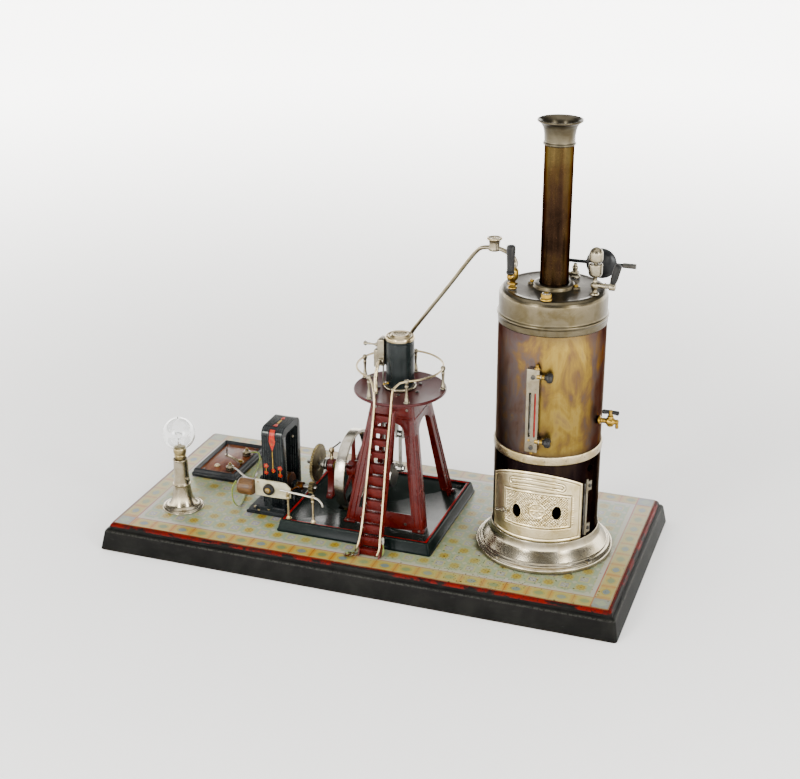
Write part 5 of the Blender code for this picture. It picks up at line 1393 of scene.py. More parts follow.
def gear_outline(centre, tip, teeth, depth):
    """The (y, z) outline of a small gear, its teeth slightly tapered."""
    out = []
    for tooth in range(teeth):
        for share, cut in ((0.0, depth), (0.26, depth), (0.40, 0.4), (0.46, 0.0), (0.80, 0.0), (0.86, 0.4)):
            angle = 2 * pi * (tooth + share) / teeth
            out.append((centre[0] + (tip - cut) * cos(angle), centre[1] + (tip - cut) * sin(angle)))
    return out


def build_drive_gear():
    """A thin disc with fine cut teeth and a small boss."""
    start, end = -83.0, -80.0
    outer = high("drive_gear").y
    shape = gear_outline((0, SHAFT_Z), outer, 36, 1.5)
    disc = carved(slab(shape, start, end, "X", 0), [rod(2.7, 20, (-91, 0, SHAFT_Z), "X", 32, 0)])
    recess = [(8.0, 0), (16.6, 0), (17.0, 0.25), (16.6, 0.5), (8.0, 0.5), (7.6, 0.25)]
    parts = [(bevel_edges(disc, 0.12, 1, 40), gear_brass),
             (lathe(recess, (end - 0.25, 0, SHAFT_Z), "X", 64, ring=True, soft=0.1), gear_brass),
             (lathe([(2.75, 0), (5.6, 0), (5.4, 0.5), (2.75, 0.5)], (end - 0.1, 0, SHAFT_Z), "X", 40,
                    ring=True), gear_brass),
             (lathe([(2.75, 0), (5.6, 0), (5.4, -0.5), (2.75, -0.5)], (start + 0.1, 0, SHAFT_Z), "X", 40,
                    ring=True),
              gear_brass)]
    make("gear_wheel", "crank", parts, "drive_gear", slot="brass")


def build_bearing_standard():
    foot = TRAY_FLOOR + 0.3
    head = circle((0, SHAFT_Z), 7.5, -25, 205, 20)
    waist = [(11, foot), (11, 40.6), (9.6, 41.8), (7.2, 43.6), (5.8, 47), (4.9, 54), (4.6, 60)]
    outline = [(-11, foot), *waist, (5.0, 66), *head, (-5.0, 66), *[(-u, v) for u, v in waist[:0:-1]]]
    post = carved(slab(outline, -68.0, -61.5, "X", 0.5, 3), [rod(2.75, 20, (-75, 0, SHAFT_Z), "X", 32, 0)])
    cup = [(0, 0), (2.4, 0), (2.5, 0.8), (2.4, 3), (1.7, 3.8), (1.6, 8), (2.4, 9.0), (3.0, 9.8),
           (3.1, 12.6), (2.4, 13.6), (1.2, 14.3), (0, 14.5)]
    lever = [(-64.8, 0, 93.5), (-61, 0, 96.5), (-58, 1, 99.0), (-55, 2, 102)]
    parts = [(post, maroon), (lathe(cup, (-64.8, 0, SHAFT_Z + 6.5), steps=32), warm_nickel),
             (tube(smooth_route(lever, 5), (*[0.8] * 14, 1.1, 1.2), 12, 0.8), dark_steel),
             (lathe([(2.75, 0), (4.6, 0), (4.4, 0.6), (2.75, 0.6)], (-61.6, 0, SHAFT_Z), "X", 36,
                    ring=True), brass),
             (lathe([(2.75, 0), (4.6, 0), (4.4, -0.6), (2.75, -0.6)], (-67.9, 0, SHAFT_Z), "X", 36,
                    ring=True), brass)]
    for y in (-8.2, 8.2):
        parts.append((screw((-64.8, y, 41.4), "Z", 1.5, 1.1, 50), steel))
    make("wheel_bearing", "plant", parts, "bearing_standard", slot="maroon_enamel")


# ---------------------------------------------------------------- dynamo

MAGNET_X = (low("field_magnet").x, high("field_magnet").x)
MAGNET_TOP = high("field_magnet").z
MAGNET_HALF = (high("field_magnet").y - low("field_magnet").y) / 2


def magnet_outline(y):
    """The horseshoe magnet from the side: (y, z) points round the outside and back round the inside."""
    half, wall, foot = MAGNET_HALF, 7.5, low("field_magnet").z
    pole, corner = 14.5, 9.0
    outer = [(y + half, foot), *circle((y + half - corner, MAGNET_TOP - corner), corner, 0, 90, 12),
             *circle((y - half + corner, MAGNET_TOP - corner), corner, 90, 180, 12), (y - half, foot)]
    inner = [(y - half + wall, foot), *circle((y, DYNAMO.z), pole, 205, 155, 10),
             *circle((y - half + wall + 4, MAGNET_TOP - wall - 4), 4, 180, 90, 6),
             *circle((y + half - wall - 4, MAGNET_TOP - wall - 4), 4, 90, 0, 6),
             *circle((y, DYNAMO.z), pole, 25, -25, 10), (y + half - wall, foot)]
    return outer + inner


def front_shape(outline, y, depth=0.12):
    """A thin painted shape on the magnet's front face. The outline's points are (x, z)."""
    return slab(outline, y - depth, y + 0.3, "Y", 0)


def flower(x, z, radius, petals=5):
    points = []
    for step in range(40):
        angle = 2 * pi * step / 40
        size = radius * (0.86 + 0.14 * cos(petals * angle))
        points.append((x + size * cos(angle), z + size * sin(angle)))
    return points


def build_magnet():
    y = DYNAMO.y
    face = y - MAGNET_HALF
    centre = sum(MAGNET_X) / 2
    body = slab(magnet_outline(y), *MAGNET_X, "X", 0.7, 3)
    parts = [(body, magnet_paint)]
    spade = [(0, 99.6), (1.2, 103), (2.6, 107.2), (3.6, 111.2), (3.2, 114.4), (2.9, 117.5), (-2.9, 117.5),
             (-3.2, 114.4), (-3.6, 111.2), (-2.6, 107.2), (-1.2, 103)]
    parts.append((front_shape([(centre + u, v) for u, v in spade], face), print_red))
    heart = [(0, 105.0), (1.5, 108.6), (1.7, 112.2), (0, 114.4), (-1.7, 112.2), (-1.5, 108.6)]
    parts.append((front_shape([(centre + u, v) for u, v in heart], face, 0.2), print_pink))
    parts.append((front_shape([(centre - 0.35, 74), (centre + 0.35, 74), (centre + 0.3, 99.5),
                               (centre - 0.3, 99.5)], face),
                  print_gold))
    for u, v, r in ((-8.0, 81.5, 2.9), (-8.0, 73.5, 2.5), (0.5, 77.0, 2.5), (8.2, 80.5, 2.9),
                    (8.4, 72.5, 2.6)):
        parts.append((front_shape(flower(centre + u, v, r), face), print_red))
        parts.append((front_shape(flower(centre + u, v, r * 0.55, 4), face, 0.2), print_pink))
        parts.append((front_shape(circle((centre + u, v), 0.4, 0, 360, 12), face, 0.26), print_gold))
    for u in (-8.0, 8.3):
        parts.append((front_shape([(centre + u - 0.3, 75), (centre + u + 0.3, 75), (centre + u + 0.3, 79),
                                   (centre + u - 0.3, 79)], face), print_gold))
    corner = [(v, w) for v, w in circle((face + 9, MAGNET_TOP - 9), 9.12, 128, 176, 10)]
    inside = [(v, w) for v, w in circle((face + 9, MAGNET_TOP - 9), 8.6, 176, 128, 10)]
    for x0, x1, paint in ((MAGNET_X[0] + 1.6, centre - 4.6, print_grey),
                          (centre + 4.6, MAGNET_X[1] - 1.6, print_grey),
                          (centre - 2.9, centre + 2.9, print_red)):
        points = corner[4:7] + inside[-7:-4] if paint is print_grey else corner + inside
        parts.append((slab(points, x0, x1, "X", 0), paint))
    top = MAGNET_TOP + 0.12
    for y0, y1, half, paint in ((face + 9.0, face + 15.0, 2.6, print_red),
                                (face + 17, face + 27, 1.3, print_gold),
                                (face + 28.5, face + 34.0, 2.2, print_red)):
        outline = [(centre - half, y0), (centre + half, y0), (centre + half * 0.5, y1),
                   (centre - half * 0.5, y1)]
        parts.append((slab(outline, top - 0.4, top, "Z", 0), paint))
    parts.append((screw((MAGNET_X[1] - 0.1, y + 3.0, 108.0), "X", 1.5, 0.9, 15), nickel))
    make("magnet", "plant", parts, "field_magnet", slot="black_enamel")


def build_dynamo_base():
    y = DYNAMO.y
    floor = low("dynamo_base").z
    middle_x = sum(MAGNET_X) / 2
    foot = [(23.6, 36.0, floor), (23.6, 36.0, 31.0), (23.0, 35.4, 31.6), (21.6, 34.4, 32.0),
            (21.4, 34.2, 33.0)]
    base = stacked(foot, (middle_x - 4.4, y), 2.0, 4, 0.25)
    step = [(18.0, 33.5, 32.4), (18.0, 33.5, 35.6), (17.3, 32.8, 36.2),
            (17.0, 32.5, low("field_magnet").z - 0.3)]
    parts = [(base, black), (stacked(step, (middle_x, y), 1.8, 4, 0.25), black)]
    ridge = [(18.4, 33.9, 33.4), (18.4, 33.9, 34.2)]
    parts.append((stacked(ridge, (middle_x, y), 1.8, 4, 0.2), black))
    for x in (MAGNET_X[0] - 5.0, MAGNET_X[1] + 1.0):
        head = circle((y, DYNAMO.z), 5.5, -30, 210, 20)
        yoke = slab([(y + 9, 36), (y + 8.6, 39), *head, (y - 8.6, 39), (y - 9, 36)], x, x + 4.0, "X", 0.35,
                    2)
        parts.append((carved(yoke, [rod(2.4, 20, (x - 8, y, DYNAMO.z), "X", 28, 0)]), black))
        parts.append((lathe([(2.5, 0), (3.6, 0), (3.4, 0.5), (2.5, 0.5)], (x + 3.9, y, DYNAMO.z), "X", 32,
                            ring=True),
                      brass))
    for dx, dy in ((-13.5, -35.2), (-20, -30), (-20, 30), (9, 35.2)):
        parts.append((screw((middle_x + dx, y + dy * 0.96, 32.9), "Z", 1.7, 1.2, 30 + dx), warm_nickel))
    parts.append((screw((middle_x - 2.0, y - 33.3, 35.4), "-Y", 1.5, 0.9, 45), warm_nickel))
    make("dynamo_stand", "plant", parts, "dynamo_base", slot="black_enamel")


def build_armature():
    """Wound drum, commutator, shaft and pinion."""
    x0 = MAGNET_X[0] - 14.0
    low_x, high_x = MAGNET_X[0] + 1.5 - x0, MAGNET_X[1] - 1.5 - x0
    end = -80.0 + 4.0 - x0
    shaft = [(0, 0), (2.0, 0), (2.0, end), (0, end)]
    at = (x0, DYNAMO.y, DYNAMO.z)
    parts = [(lathe(shaft, at, "X", 32, soft=0.3), steel)]
    parts.append((lathe([(2.0, 1.0), (5.2, 1.0), (5.2, 6.4), (2.0, 6.4)], at, "X", 40, soft=0.4),
                  black_wood))
    ends = [(2.0, low_x), (12.6, low_x), (13.4, low_x + 0.9), (13.4, low_x + 2.0), (12.4, low_x + 2.4)]
    turns = []
    count = 16
    for number in range(count):
        h = low_x + 2.4 + (high_x - low_x - 4.8) * number / count
        pitch = (high_x - low_x - 4.8) / count
        turns += [(12.4, h), (13.1, h + pitch * 0.5)]
    other = [(12.4, high_x - 2.4), (13.4, high_x - 2.0), (13.4, high_x - 0.9), (12.6, high_x),
             (2.0, high_x)]
    parts.append((lathe(ends + turns + other, at, "X", 56, soft=0.15), copper))
    bars = []
    for number in range(8):
        arc = circle((0, 0), 4.6, 45 * number + 3, 45 * number + 42,
                     6) + circle((0, 0), 2.0, 45 * number + 42,
                               45 * number + 3, 4)
        bars.append(slab(arc, high_x + 8.0, high_x + 14.0, "Z", 0.15, 1))
    parts.append((placed(merged(bars), at, "X"), copper))
    reach = hypot(DYNAMO.y, SHAFT_Z - DYNAMO.z)
    tip = reach - high("drive_gear").y - 0.35
    shape = gear_outline((DYNAMO.y, DYNAMO.z), tip, 12, 1.4)
    parts.append((slab(shape, -84.0, -79.0, "X", 0.12, 1), gear_brass))
    make("armature_body", "armature", parts, "armature", slot="brass")


def build_brush_gear():
    y = -55.0
    outline = [(-131.0, 53.6), (-113.0, 53.2), (-93.5, 53.8), (-90.2, 55.0), (-90.0, 66.5), (-96.0, 71.6),
               (-103, 72.0), (-131.0, 72.0)]
    plate = slab([tuple(p) for p in soften(outline, 0.9, True, 3)], y - 1.0, y + 1.0, "Y", 0.25, 2)
    parts = [(plate, card), (block((-118.0, y - 0.5, 37.9), (-112.0, y + 0.5, 56.0), 0.2), black)]
    knob = [(0, 0), (5.9, 0), (6.3, 0.5), (6.3, 3.0), (5.8, 3.9), (4.9, 4.4), (0, 4.4)]
    at = (-114.5, y - 0.7, 62.5)
    parts.append((lathe(knob, at, "-Y", 48), black_wood))
    parts.append((lathe([(0, 4.2), (3.2, 4.2), (3.2, 4.9), (0, 4.9)], at, "-Y", 40, soft=0.2), brass))
    parts.append((screw((-114.5, y - 5.4, 62.5), "-Y", 2.3, 1.3, 55, 0.24), warm_nickel))
    for x, z in ((-127.4, 69.0), (-94.6, 57.0)):
        parts.append((lathe([(0, 0), (1.0, 0), (0.8, 0.5), (0, 0.6)], (x, y - 0.9, z), "-Y", 20), brass))
    route = [(-91, y - 0.2, 64.0), (-88, y + 1.5, 66.0), (-85, y + 5.0, 67.0), (-83.5, y + 9.0, 64.0)]
    parts.append((tube(smooth_route(route, 5), 0.7, 10, 0.8), copper))
    make("brush_bar", "plant", parts, "brush_plate", slot="cream_card")
    facets = 14
    body = [(7.4, 0.3), (9.0, 2.2), (9.3, 4.0), (9.3, 14.6), (8.8, 16.6), (7.4, 18.6)]
    knob = lathe([(0, 0), *body, (0, 19.0)], (-150.5, y, 61.5), "X", facets * 4, soft=0.6)
    flute(knob, (y, 61.5), 3, 0.28, facets)
    parts = [(knob, fibre), (lathe([(0, 0), (2.6, 0), (2.4, 0.8), (1.4, 1.2), (0, 1.2)], (-150.4, y, 61.5),
                                   "-X", 28), brass)]
    make("turning_knob", "plant", parts, "brush_knob", slot="brown_fibre")


# ---------------------------------------------------------------- wiring

WHITE_ROUTE = [(-133.5, -46.5, 71.0), (-137, -38, 69), (-146, -26, 56), (-160, -10, 46), (-176, 6, 41),
               (-187, 16, 40.4), (-194.2, 22.0, 39.4)]
GREEN_ROUTE = [(-152.6, -57, 67), (-156.5, -59, 58), (-157.5, -58, 46), (-156, -54, 36), (-156, -44, 30.6),
               (-160, -26, 30.2), (-166, -4, 30.2), (-172, 20, 30.2), (-176.5, 44, 31.5), (-180.0, 60, 37),
               (-185, 65, 41), (-193.2, 65.2, 39.6)]


def add_lead(name, node, route, diameter, paint, slot, pieces):
    path = smooth_route(route, pieces)
    piece = make(name, "plant", [(tube(path, diameter / 2, 10, 0.1), paint)], node, slot=slot)


def build_leads():
    add_lead("white_lead_wire", "lead_front", WHITE_ROUTE, 2.0, white_lead, "white_lead", 6)
    add_lead("green_lead_wire", "lead_rear", GREEN_ROUTE, 1.8, green_lead, "green_lead", 5)


# ---------------------------------------------------------------- switchboard and lamp


def build_switchboard():
    floor = low("switchboard_frame").z
    levels = [(27.2, 43.2, floor), (27.5, 43.5, floor + 0.4), (27.5, 43.5, 32.8), (27.0, 43.0, 33.6),
              (26.2, 42.2, 34.2),
              (25.8, 41.8, 36.6), (25.2, 41.2, 37.6), (24.4, 40.4, 38.1), (23.9, 39.9, 38.1),
              (23.4, 39.4, 37.4),
              (22.2, 38.2, 35.0), (21.8, 37.8, 34.6), (21.2, 37.2, 34.5), (21.2, 37.2, 31.5)]
    make("board_frame", "plant", [(stacked(levels, BOARD, 1.4, 4, 0), frame_black)], "switchboard_frame",
         slot="black_lacquer")
    top = low("terminal_front").z - 0.3
    panel = block((BOARD.x - 20.6, BOARD.y - 36.6, 31.8), (BOARD.x + 20.6, BOARD.y + 36.6, top), 0.35)
    pivot = joint_place("switch_swing")
    contact = [(0, 0), (3.4, 0), (3.4, 1.2), (3.0, 1.5), (2.1, 1.7), (1.9, 2.5), (1.4, 2.6), (0, 2.6)]
    contact_at = (-219.0, 28.4)
    base = top - 0.3
    parts = [(panel, panel_paint), (lathe(contact, (*contact_at, base), steps=32, soft=0.2), warm_nickel),
             (rod(1.5, 3.0, (pivot.x, pivot.y, base), steps=24, edge=0.1), brass)]
    for name in ("front_terminal_turn", "rear_terminal_turn"):
        spot = joint_place(name)
        parts.append((rod(1.3, 9.6, (spot.x, spot.y, base), steps=24, edge=0.3), brass))
    for x, y in ((-230.4, 16.5), (-230.4, 83.2), (-196.6, 83.2), (-196.6, 16.9)):
        parts.append((screw((x, y, top - 0.1), "Z", 1.3, 0.8, x + y), steel))
    make("board_plate", "plant", parts, "switchboard_panel", slot="board_panel")
    for name, node in (("front_terminal", "terminal_front"), ("rear_terminal", "terminal_rear")):
        spot = middle(node)
        at = (spot.x, spot.y, low(node).z)
        collar = lathe([(1.6, 0), (4.4, 0), (4.7, 0.4), (4.7, 0.9), (4.2, 1.2), (1.6, 1.2)], at, steps=40,
                       ring=True, soft=0.2)
        grip = carved(knurled(4.9, 3.0, (at[0], at[1], at[2] + 1.1), "Z", 28, 0.22),
                      [rod(1.6, 12, (at[0], at[1], at[2] - 2), steps=24, edge=0)])
        crown = lathe([(1.6, 4.0), (4.4, 4.0), (4.2, 4.7), (3.0, 5.2), (2.5, 5.8), (2.5, 7.2), (2.1, 7.6),
                       (1.6, 7.6)], at,
                      steps=40, ring=True, soft=0.25)
        make(name + "_nut", name, [(collar, nickel), (grip, nickel), (crown, nickel)], node, slot="nickel")
    build_switch_lever(pivot)


def build_switch_lever(pivot):
    base = low("switch_lever").z
    start = Vector((pivot.x, pivot.y, base))
    tip = Vector((-219.0, 52.0, base))
    way = (tip - start).normalized()
    side = Vector((-way.y, way.x, 0))
    outline = [start - way * 3.0 + side * 2.8, start - way * 4.2, start - way * 3.0 - side * 2.8,
               start + way * 3.5 - side * 2.7, start + way * 7.0 - side * 1.6, tip - way * 3 - side * 1.5,
               tip - side * 2.0,
               tip + way * 1.8, tip + side * 2.0, tip - way * 3 + side * 1.5,
               start + way * 7.0 + side * 1.6, start + way * 3.5 + side * 2.7]
    outline = [(p.x, p.y) for p in soften([(q.x, q.y) for q in outline], 1.2, True, 3)]
    blade = slab(outline, base, base + 1.2, "Z", 0.2, 2)
    handle = [(0, 0), (1.5, 0), (1.5, 0.4), (0.8, 1.2), (0.7, 7.4), (1.2, 8.2), (1.25, 9.0), (0.7, 9.5),
              (0, 9.6)]
    parts = [(blade, warm_nickel), (lathe(handle, tip - way * 1.5 + Vector((0, 0, 0.9)), steps=24,
                                          soft=0.2), dark_steel),
             (screw(start + Vector((0, 0, 0.9)), "Z", 2.6, 1.9, 65), brass)]
    make("switch_blade", "switch", parts, "switch_lever", slot="brass")


def build_lamp():
    x, y = LAMP
    floor = low("lamp_column").z
    column = [(0, 0), (22.3, 0), (22.3, 0.6), (21.8, 1.2), (20.4, 1.5), (19.6, 2.0), (18.8, 1.9),
              (16.5, 2.6), (14.6, 4.4),
              (13.2, 7.0), (11.6, 10.6), (10.4, 15.0), (9.6, 21.0), (9.2, 26.5), (9.5, 27.0), (9.8, 27.8),
              (9.4, 28.6),
              (8.9, 29.0), (8.6, 31.0), (8.1, 38.0), (7.7, 50.0), (7.6, 55.0), (8.1, 55.4), (8.3, 56.2),
              (7.9, 57.0), (6.4, 57.2), (6.4, 52.0), (0, 52.0)]
    parts = [(lathe(column, (x, y, floor), steps=96, soft=0.7), turned_nickel),
             (rod(1.1, 4.6, (x + 6.2, y - 4, floor + 36), "X", 20, 0.4), nickel),
             (knurled(1.6, 1.6, (x + 9.0, y - 4, floor + 36), "X", 14, 0.15), nickel)]
    make("lamp_stand", "plant", parts, "lamp_column", slot="nickel")
    build_bulb(x, y, low("bulb").z)


def build_bulb(x, y, base):
    """A thin glass globe over a metal cap, with a stem, two wires and a filament."""
    globe_r = (high("bulb").x - low("bulb").x) / 2 - 0.05
    centre = high("bulb").z - 2.2 - globe_r
    outer = [(globe_r * cos(radians(a)), centre + globe_r * sin(radians(a))) for a in range(-68, 84, 6)]
    skin = 0.45
    under = centre - globe_r * 0.94
    inner = [((globe_r - skin) * cos(radians(a)), centre + (globe_r - skin) * sin(radians(a)))
             for a in range(83, -69, -6)]
    neck = [(5.4, under - 0.4), (5.4, under + 0.1)]
    tip = [(1.5, centre + globe_r + 0.1), (0.9, centre + globe_r + 1.3), (0, centre + globe_r + 2.1)]
    dome = [(0, centre + globe_r - skin)]
    shell = [*neck, *outer, *tip, *dome, *inner, (5.0, under + 0.1), (5.0, under - 0.4)]
    parts = [(lathe(shell, (x, y, 0), steps=96, ring=True, soft=0), glass)]
    cap = [(0, base), (2.2, base), (2.6, base + 0.6), (5.4, base + 1.4), (5.7, base + 2.0),
           (5.7, under - 9.8),
           (6.6, under - 9.2), (6.8, under - 8.4), (6.2, under - 7.6), (6.2, under - 6.2),
           (6.9, under - 5.4),
           (7.1, under - 3.0), (7.0, under - 0.6), (6.6, under + 0.5), (5.6, under + 0.7), (0, under + 0.7)]
    parts.append((lathe(cap, (x, y, 0), steps=64, soft=0.25), pale_brass))
    stem = [(0, under + 0.5), (2.6, under + 0.5), (1.9, under + 3.6), (1.5, under + 8.0),
            (1.9, under + 9.5), (0.6, under + 11.0), (0, under + 11.2)]
    parts.append((lathe(stem, (x, y, 0), steps=32), glass))
    top = under + 10.2
    for side in (-1, 1):
        route = [(x + side * 0.6, y, top - 1.0), (x + side * 2.4, y, top + 2.6),
                 (x + side * 4.0, y - 0.4, top + 6.5)]
        parts.append((tube(smooth_route(route, 4), 0.18, 6, 0.8), dark_steel))
    coil = []
    for step in range(60):
        t = step / 59
        coil.append((x - 4.0 + 8.0 * t, y - 0.4 + 0.45 * cos(step * 1.3),
                     top + 6.5 + 1.4 * sin(pi * t) + 0.45 * sin(step * 1.3)))
    parts.append((tube(coil, 0.12, 5, 0.8), dark_steel))
    make("lamp_bulb", "bulb", parts, "bulb", slot="glass")


# ---------------------------------------------------------------- boiler

DOOR_ANGLES = (-146.0, -35.0)       # left and right edge, in degrees round the boiler
DEGREE = 0.965                      # millimetres to a degree round the door's face
DOOR_FOOT = 57.0
DOOR_SIDE = 117.0                   # top of the door at its sides
DOOR_CROWN = 133.0                  # and in the middle
HINGE_ANGLE = -33.0
VENTS = (-172, -24, 9, 42, 75, 108, 141)    # angles of the smoke holes
AXIS = (BOILER.x, BOILER.y, 0.0)


def radial(angle, radius, z):
    """A point round the boiler's axis, its angle in degrees."""
    return Vector((BOILER.x + radius * cos(radians(angle)), BOILER.y + radius * sin(radians(angle)), z))


def outward(angle):
    return Vector((cos(radians(angle)), sin(radians(angle)), 0.0))


def arc_height(angle, side, crown):
    """A height that arches between the door's sides: side at the edges and crown in the middle."""
    first, last = DOOR_ANGLES
    share = (2 * angle - first - last) / (last - first)
    return crown - (crown - side) * share ** 2


def curved_plate(inner, outer, start, end, bottom, top, steps=24):
    """A plate bent round the boiler. top may be a function of the angle."""
    bm = bmesh.new()
    rings = []
    for number in range(steps + 1):
        angle = start + (end - start) * number / steps
        high_z = top(angle) if callable(top) else top
        rings.append([bm.verts.new(radial(angle, r, z))
                      for r, z in ((inner, bottom), (outer, bottom), (outer, high_z),
                                  (inner, high_z))])
    return skinned(bm, rings)


def build_boiler_foot():
    floor = low("boiler_foot").z
    profile = [(46, floor), (70.0, floor), (70.5, floor + 0.5), (70.5, 32.4), (70.0, 33.4), (68.6, 34.2),
               (67.2, 34.4),
               (66.2, 35.2), (65.2, 36.6), (64.2, 37.0), (63.4, 38.0), (61.6, 41.0), (58.8, 44.2),
               (56.6, 47.4),
               (55.8, 50.0), (55.4, 53.0), (55.3, 55.8), (54.9, 56.3), (53.9, 56.3), (53.9, 50.0),
               (46, 50.0)]
    parts = [(lathe(profile, AXIS, steps=BOILER_STEPS, ring=True, soft=0.6), turned_nickel)]
    for angle in (-120, -34, 56, 146):
        at = radial(angle, 66.6, 33.6)
        parts.append((shifted(stacked([(3.4, 2.6, 33.0), (3.2, 2.4, 35.2), (2.6, 1.9, 35.7)], (at.x, at.y),
                                      1.2, 4, 0.15),
                              turn=angle, about=at), turned_nickel))
        parts.append((screw(radial(angle, 66.8, 35.5), "Z", 1.8, 1.2, angle + 20), dark_steel))
    make("foot_ring", "plant", parts, "boiler_foot", slot="nickel")


def build_firebox():
    start, end = low("firebox_shell").z, high("firebox_shell").z
    shell = lathe([(51.6, start), (53.5, start), (53.5, end), (51.6, end)], AXIS, steps=BOILER_STEPS,
                  ring=True, soft=0)
    opening = curved_plate(40, 70, DOOR_ANGLES[0] + 6, DOOR_ANGLES[1] - 6, DOOR_FOOT + 6,
                           lambda angle: arc_height(angle, DOOR_SIDE, DOOR_CROWN) - 6)
    holes = [rod(3.8, 30, radial(angle, 40, 131.0), outward(angle), 28, 0) for angle in VENTS]
    parts = [(carved(shell, [opening, *holes]), fire_brass)]
    strip = curved_plate(53.2, 54.7, HINGE_ANGLE + 3.5, HINGE_ANGLE + 6.2, 58.0, 120.0, 4)
    parts.append((bevel_edges(strip, 0.3, 2), nickel))
    for z in (65.0, 112.0):
        leaf = curved_plate(53.3, 54.8, HINGE_ANGLE + 4.5, HINGE_ANGLE + 12.0, z - 5.0, z + 5.0, 6)
        parts.append((bevel_edges(leaf, 0.35, 2), nickel))
        parts.append((screw(radial(HINGE_ANGLE + 8.8, 54.5, z), outward(HINGE_ANGLE + 8.8), 2.0, 1.2, z),
                      dark_steel))
    for number in range(5):
        z0 = 60.5 + number * 11.4
        parts.append((rod(0.8, 10.8, radial(HINGE_ANGLE + 0.6, 55.3, z0), "Z", 20, 0.25), dark_steel))
    make("firebox", "plant", parts, "firebox_shell", slot="burnt_brass")


def inside_oval(angle, z, centre, half):
    """Under 1 inside an oval on the door, whose size is in millimetres round the door and up it."""
    return hypot((angle - centre[0]) * DEGREE / half[0], (z - centre[1]) / half[1])


def ridge(distance, width):
    """A rounded bead of height 1 that is width across."""
    return max(0.0, 1.0 - (distance / (width / 2)) ** 2)


def box_reach(angle, z, window):
    """How far inside an arched window a place is, negative outside."""
    left, right, bottom, side, crown = window
    return min((angle - left) * DEGREE, (right - angle) * DEGREE, z - bottom,
               arc_height(angle, side, crown) - z)


WINDOW = (-123.5, -49.0, 72.0, 102.0, 112.0)    # edges, foot, top at the sides, top in the middle
ROSETTE = (-85.0, 91.0)
AIR_HOLES = ((-107.5, 87.6), (-64.5, 89.8))
HOLE_HALF = (4.9, 7.3)
TREAD = 2.95        # spacing of the tread plate's ridges


def door_relief(angle, z):
    """Height of the embossing over the door's face."""
    round_door = (angle - DOOR_ANGLES[0]) * DEGREE, (DOOR_ANGLES[1] - angle) * DEGREE
    edge = min(*round_door, z - DOOR_FOOT, arc_height(angle, DOOR_SIDE, DOOR_CROWN) - z)
    height = 0.4 * ridge(edge - 1.5, 2.2)
    if 2.8 < edge < 3.5:
        height = -0.25
    depth = box_reach(angle, z, WINDOW)
    if -1.1 < depth < -0.3:
        height = -0.35
    if -0.3 <= depth < 2.7:
        height = 0.75 * ridge(depth - 1.2, 3.0)
    if depth >= 2.7:
        from_rosette = inside_oval(angle, z, ROSETTE, (1.0, 1.0))
        from_hole = min(inside_oval(angle, z, hole, HOLE_HALF) for hole in AIR_HOLES)
        if from_rosette < 8.9:
            height = rosette_relief(angle, z, from_rosette)
        elif from_hole > 1.12:
            u, v = (angle + 85) * DEGREE, z - 91
            crossed = max(cos(2 * pi * (u + v) / TREAD), cos(2 * pi * (u - v) / TREAD))
            height = -0.5 + 0.95 * max(0.0, crossed) ** 0.7
        else:
            height = 0.25
    middle_z = arc_height(angle, 106.0, 121.6)
    reach = abs(angle + 87.0) * DEGREE
    beyond = max(0.0, reach - 26.0)
    from_emboss = hypot(beyond, z - middle_z)
    if abs(from_emboss - 3.2) < 1.9:
        height = 0.55 * ridge(from_emboss - 3.2, 2.0) if abs(from_emboss - 3.2) < 1.0 else -0.3
    if -47.6 < angle < -44.2 and 74 < z < 104:
        height = max(height, 0.5 * ridge((angle + 45.9) * DEGREE,
                                         3.2) * (0.65 + 0.35 * cos(2 * pi * z / 2.6)))
    return height


def rosette_relief(angle, z, radius):
    u, v = (angle - ROSETTE[0]) * DEGREE, z - ROSETTE[1]
    height = 0.65 * ridge(radius - 7.9, 1.7)
    if radius < 7.1:
        around = atan2(v, u)
        cross = min(abs(u), abs(v))
        petals = 0.5 + 0.5 * cos(8 * around)
        height = -0.45 + 0.9 * petals * ridge(radius - 4.4, 5.4)
        height = max(height, 0.5 * ridge(cross, 1.0), 0.6 * ridge(radius, 2.6))
    return height


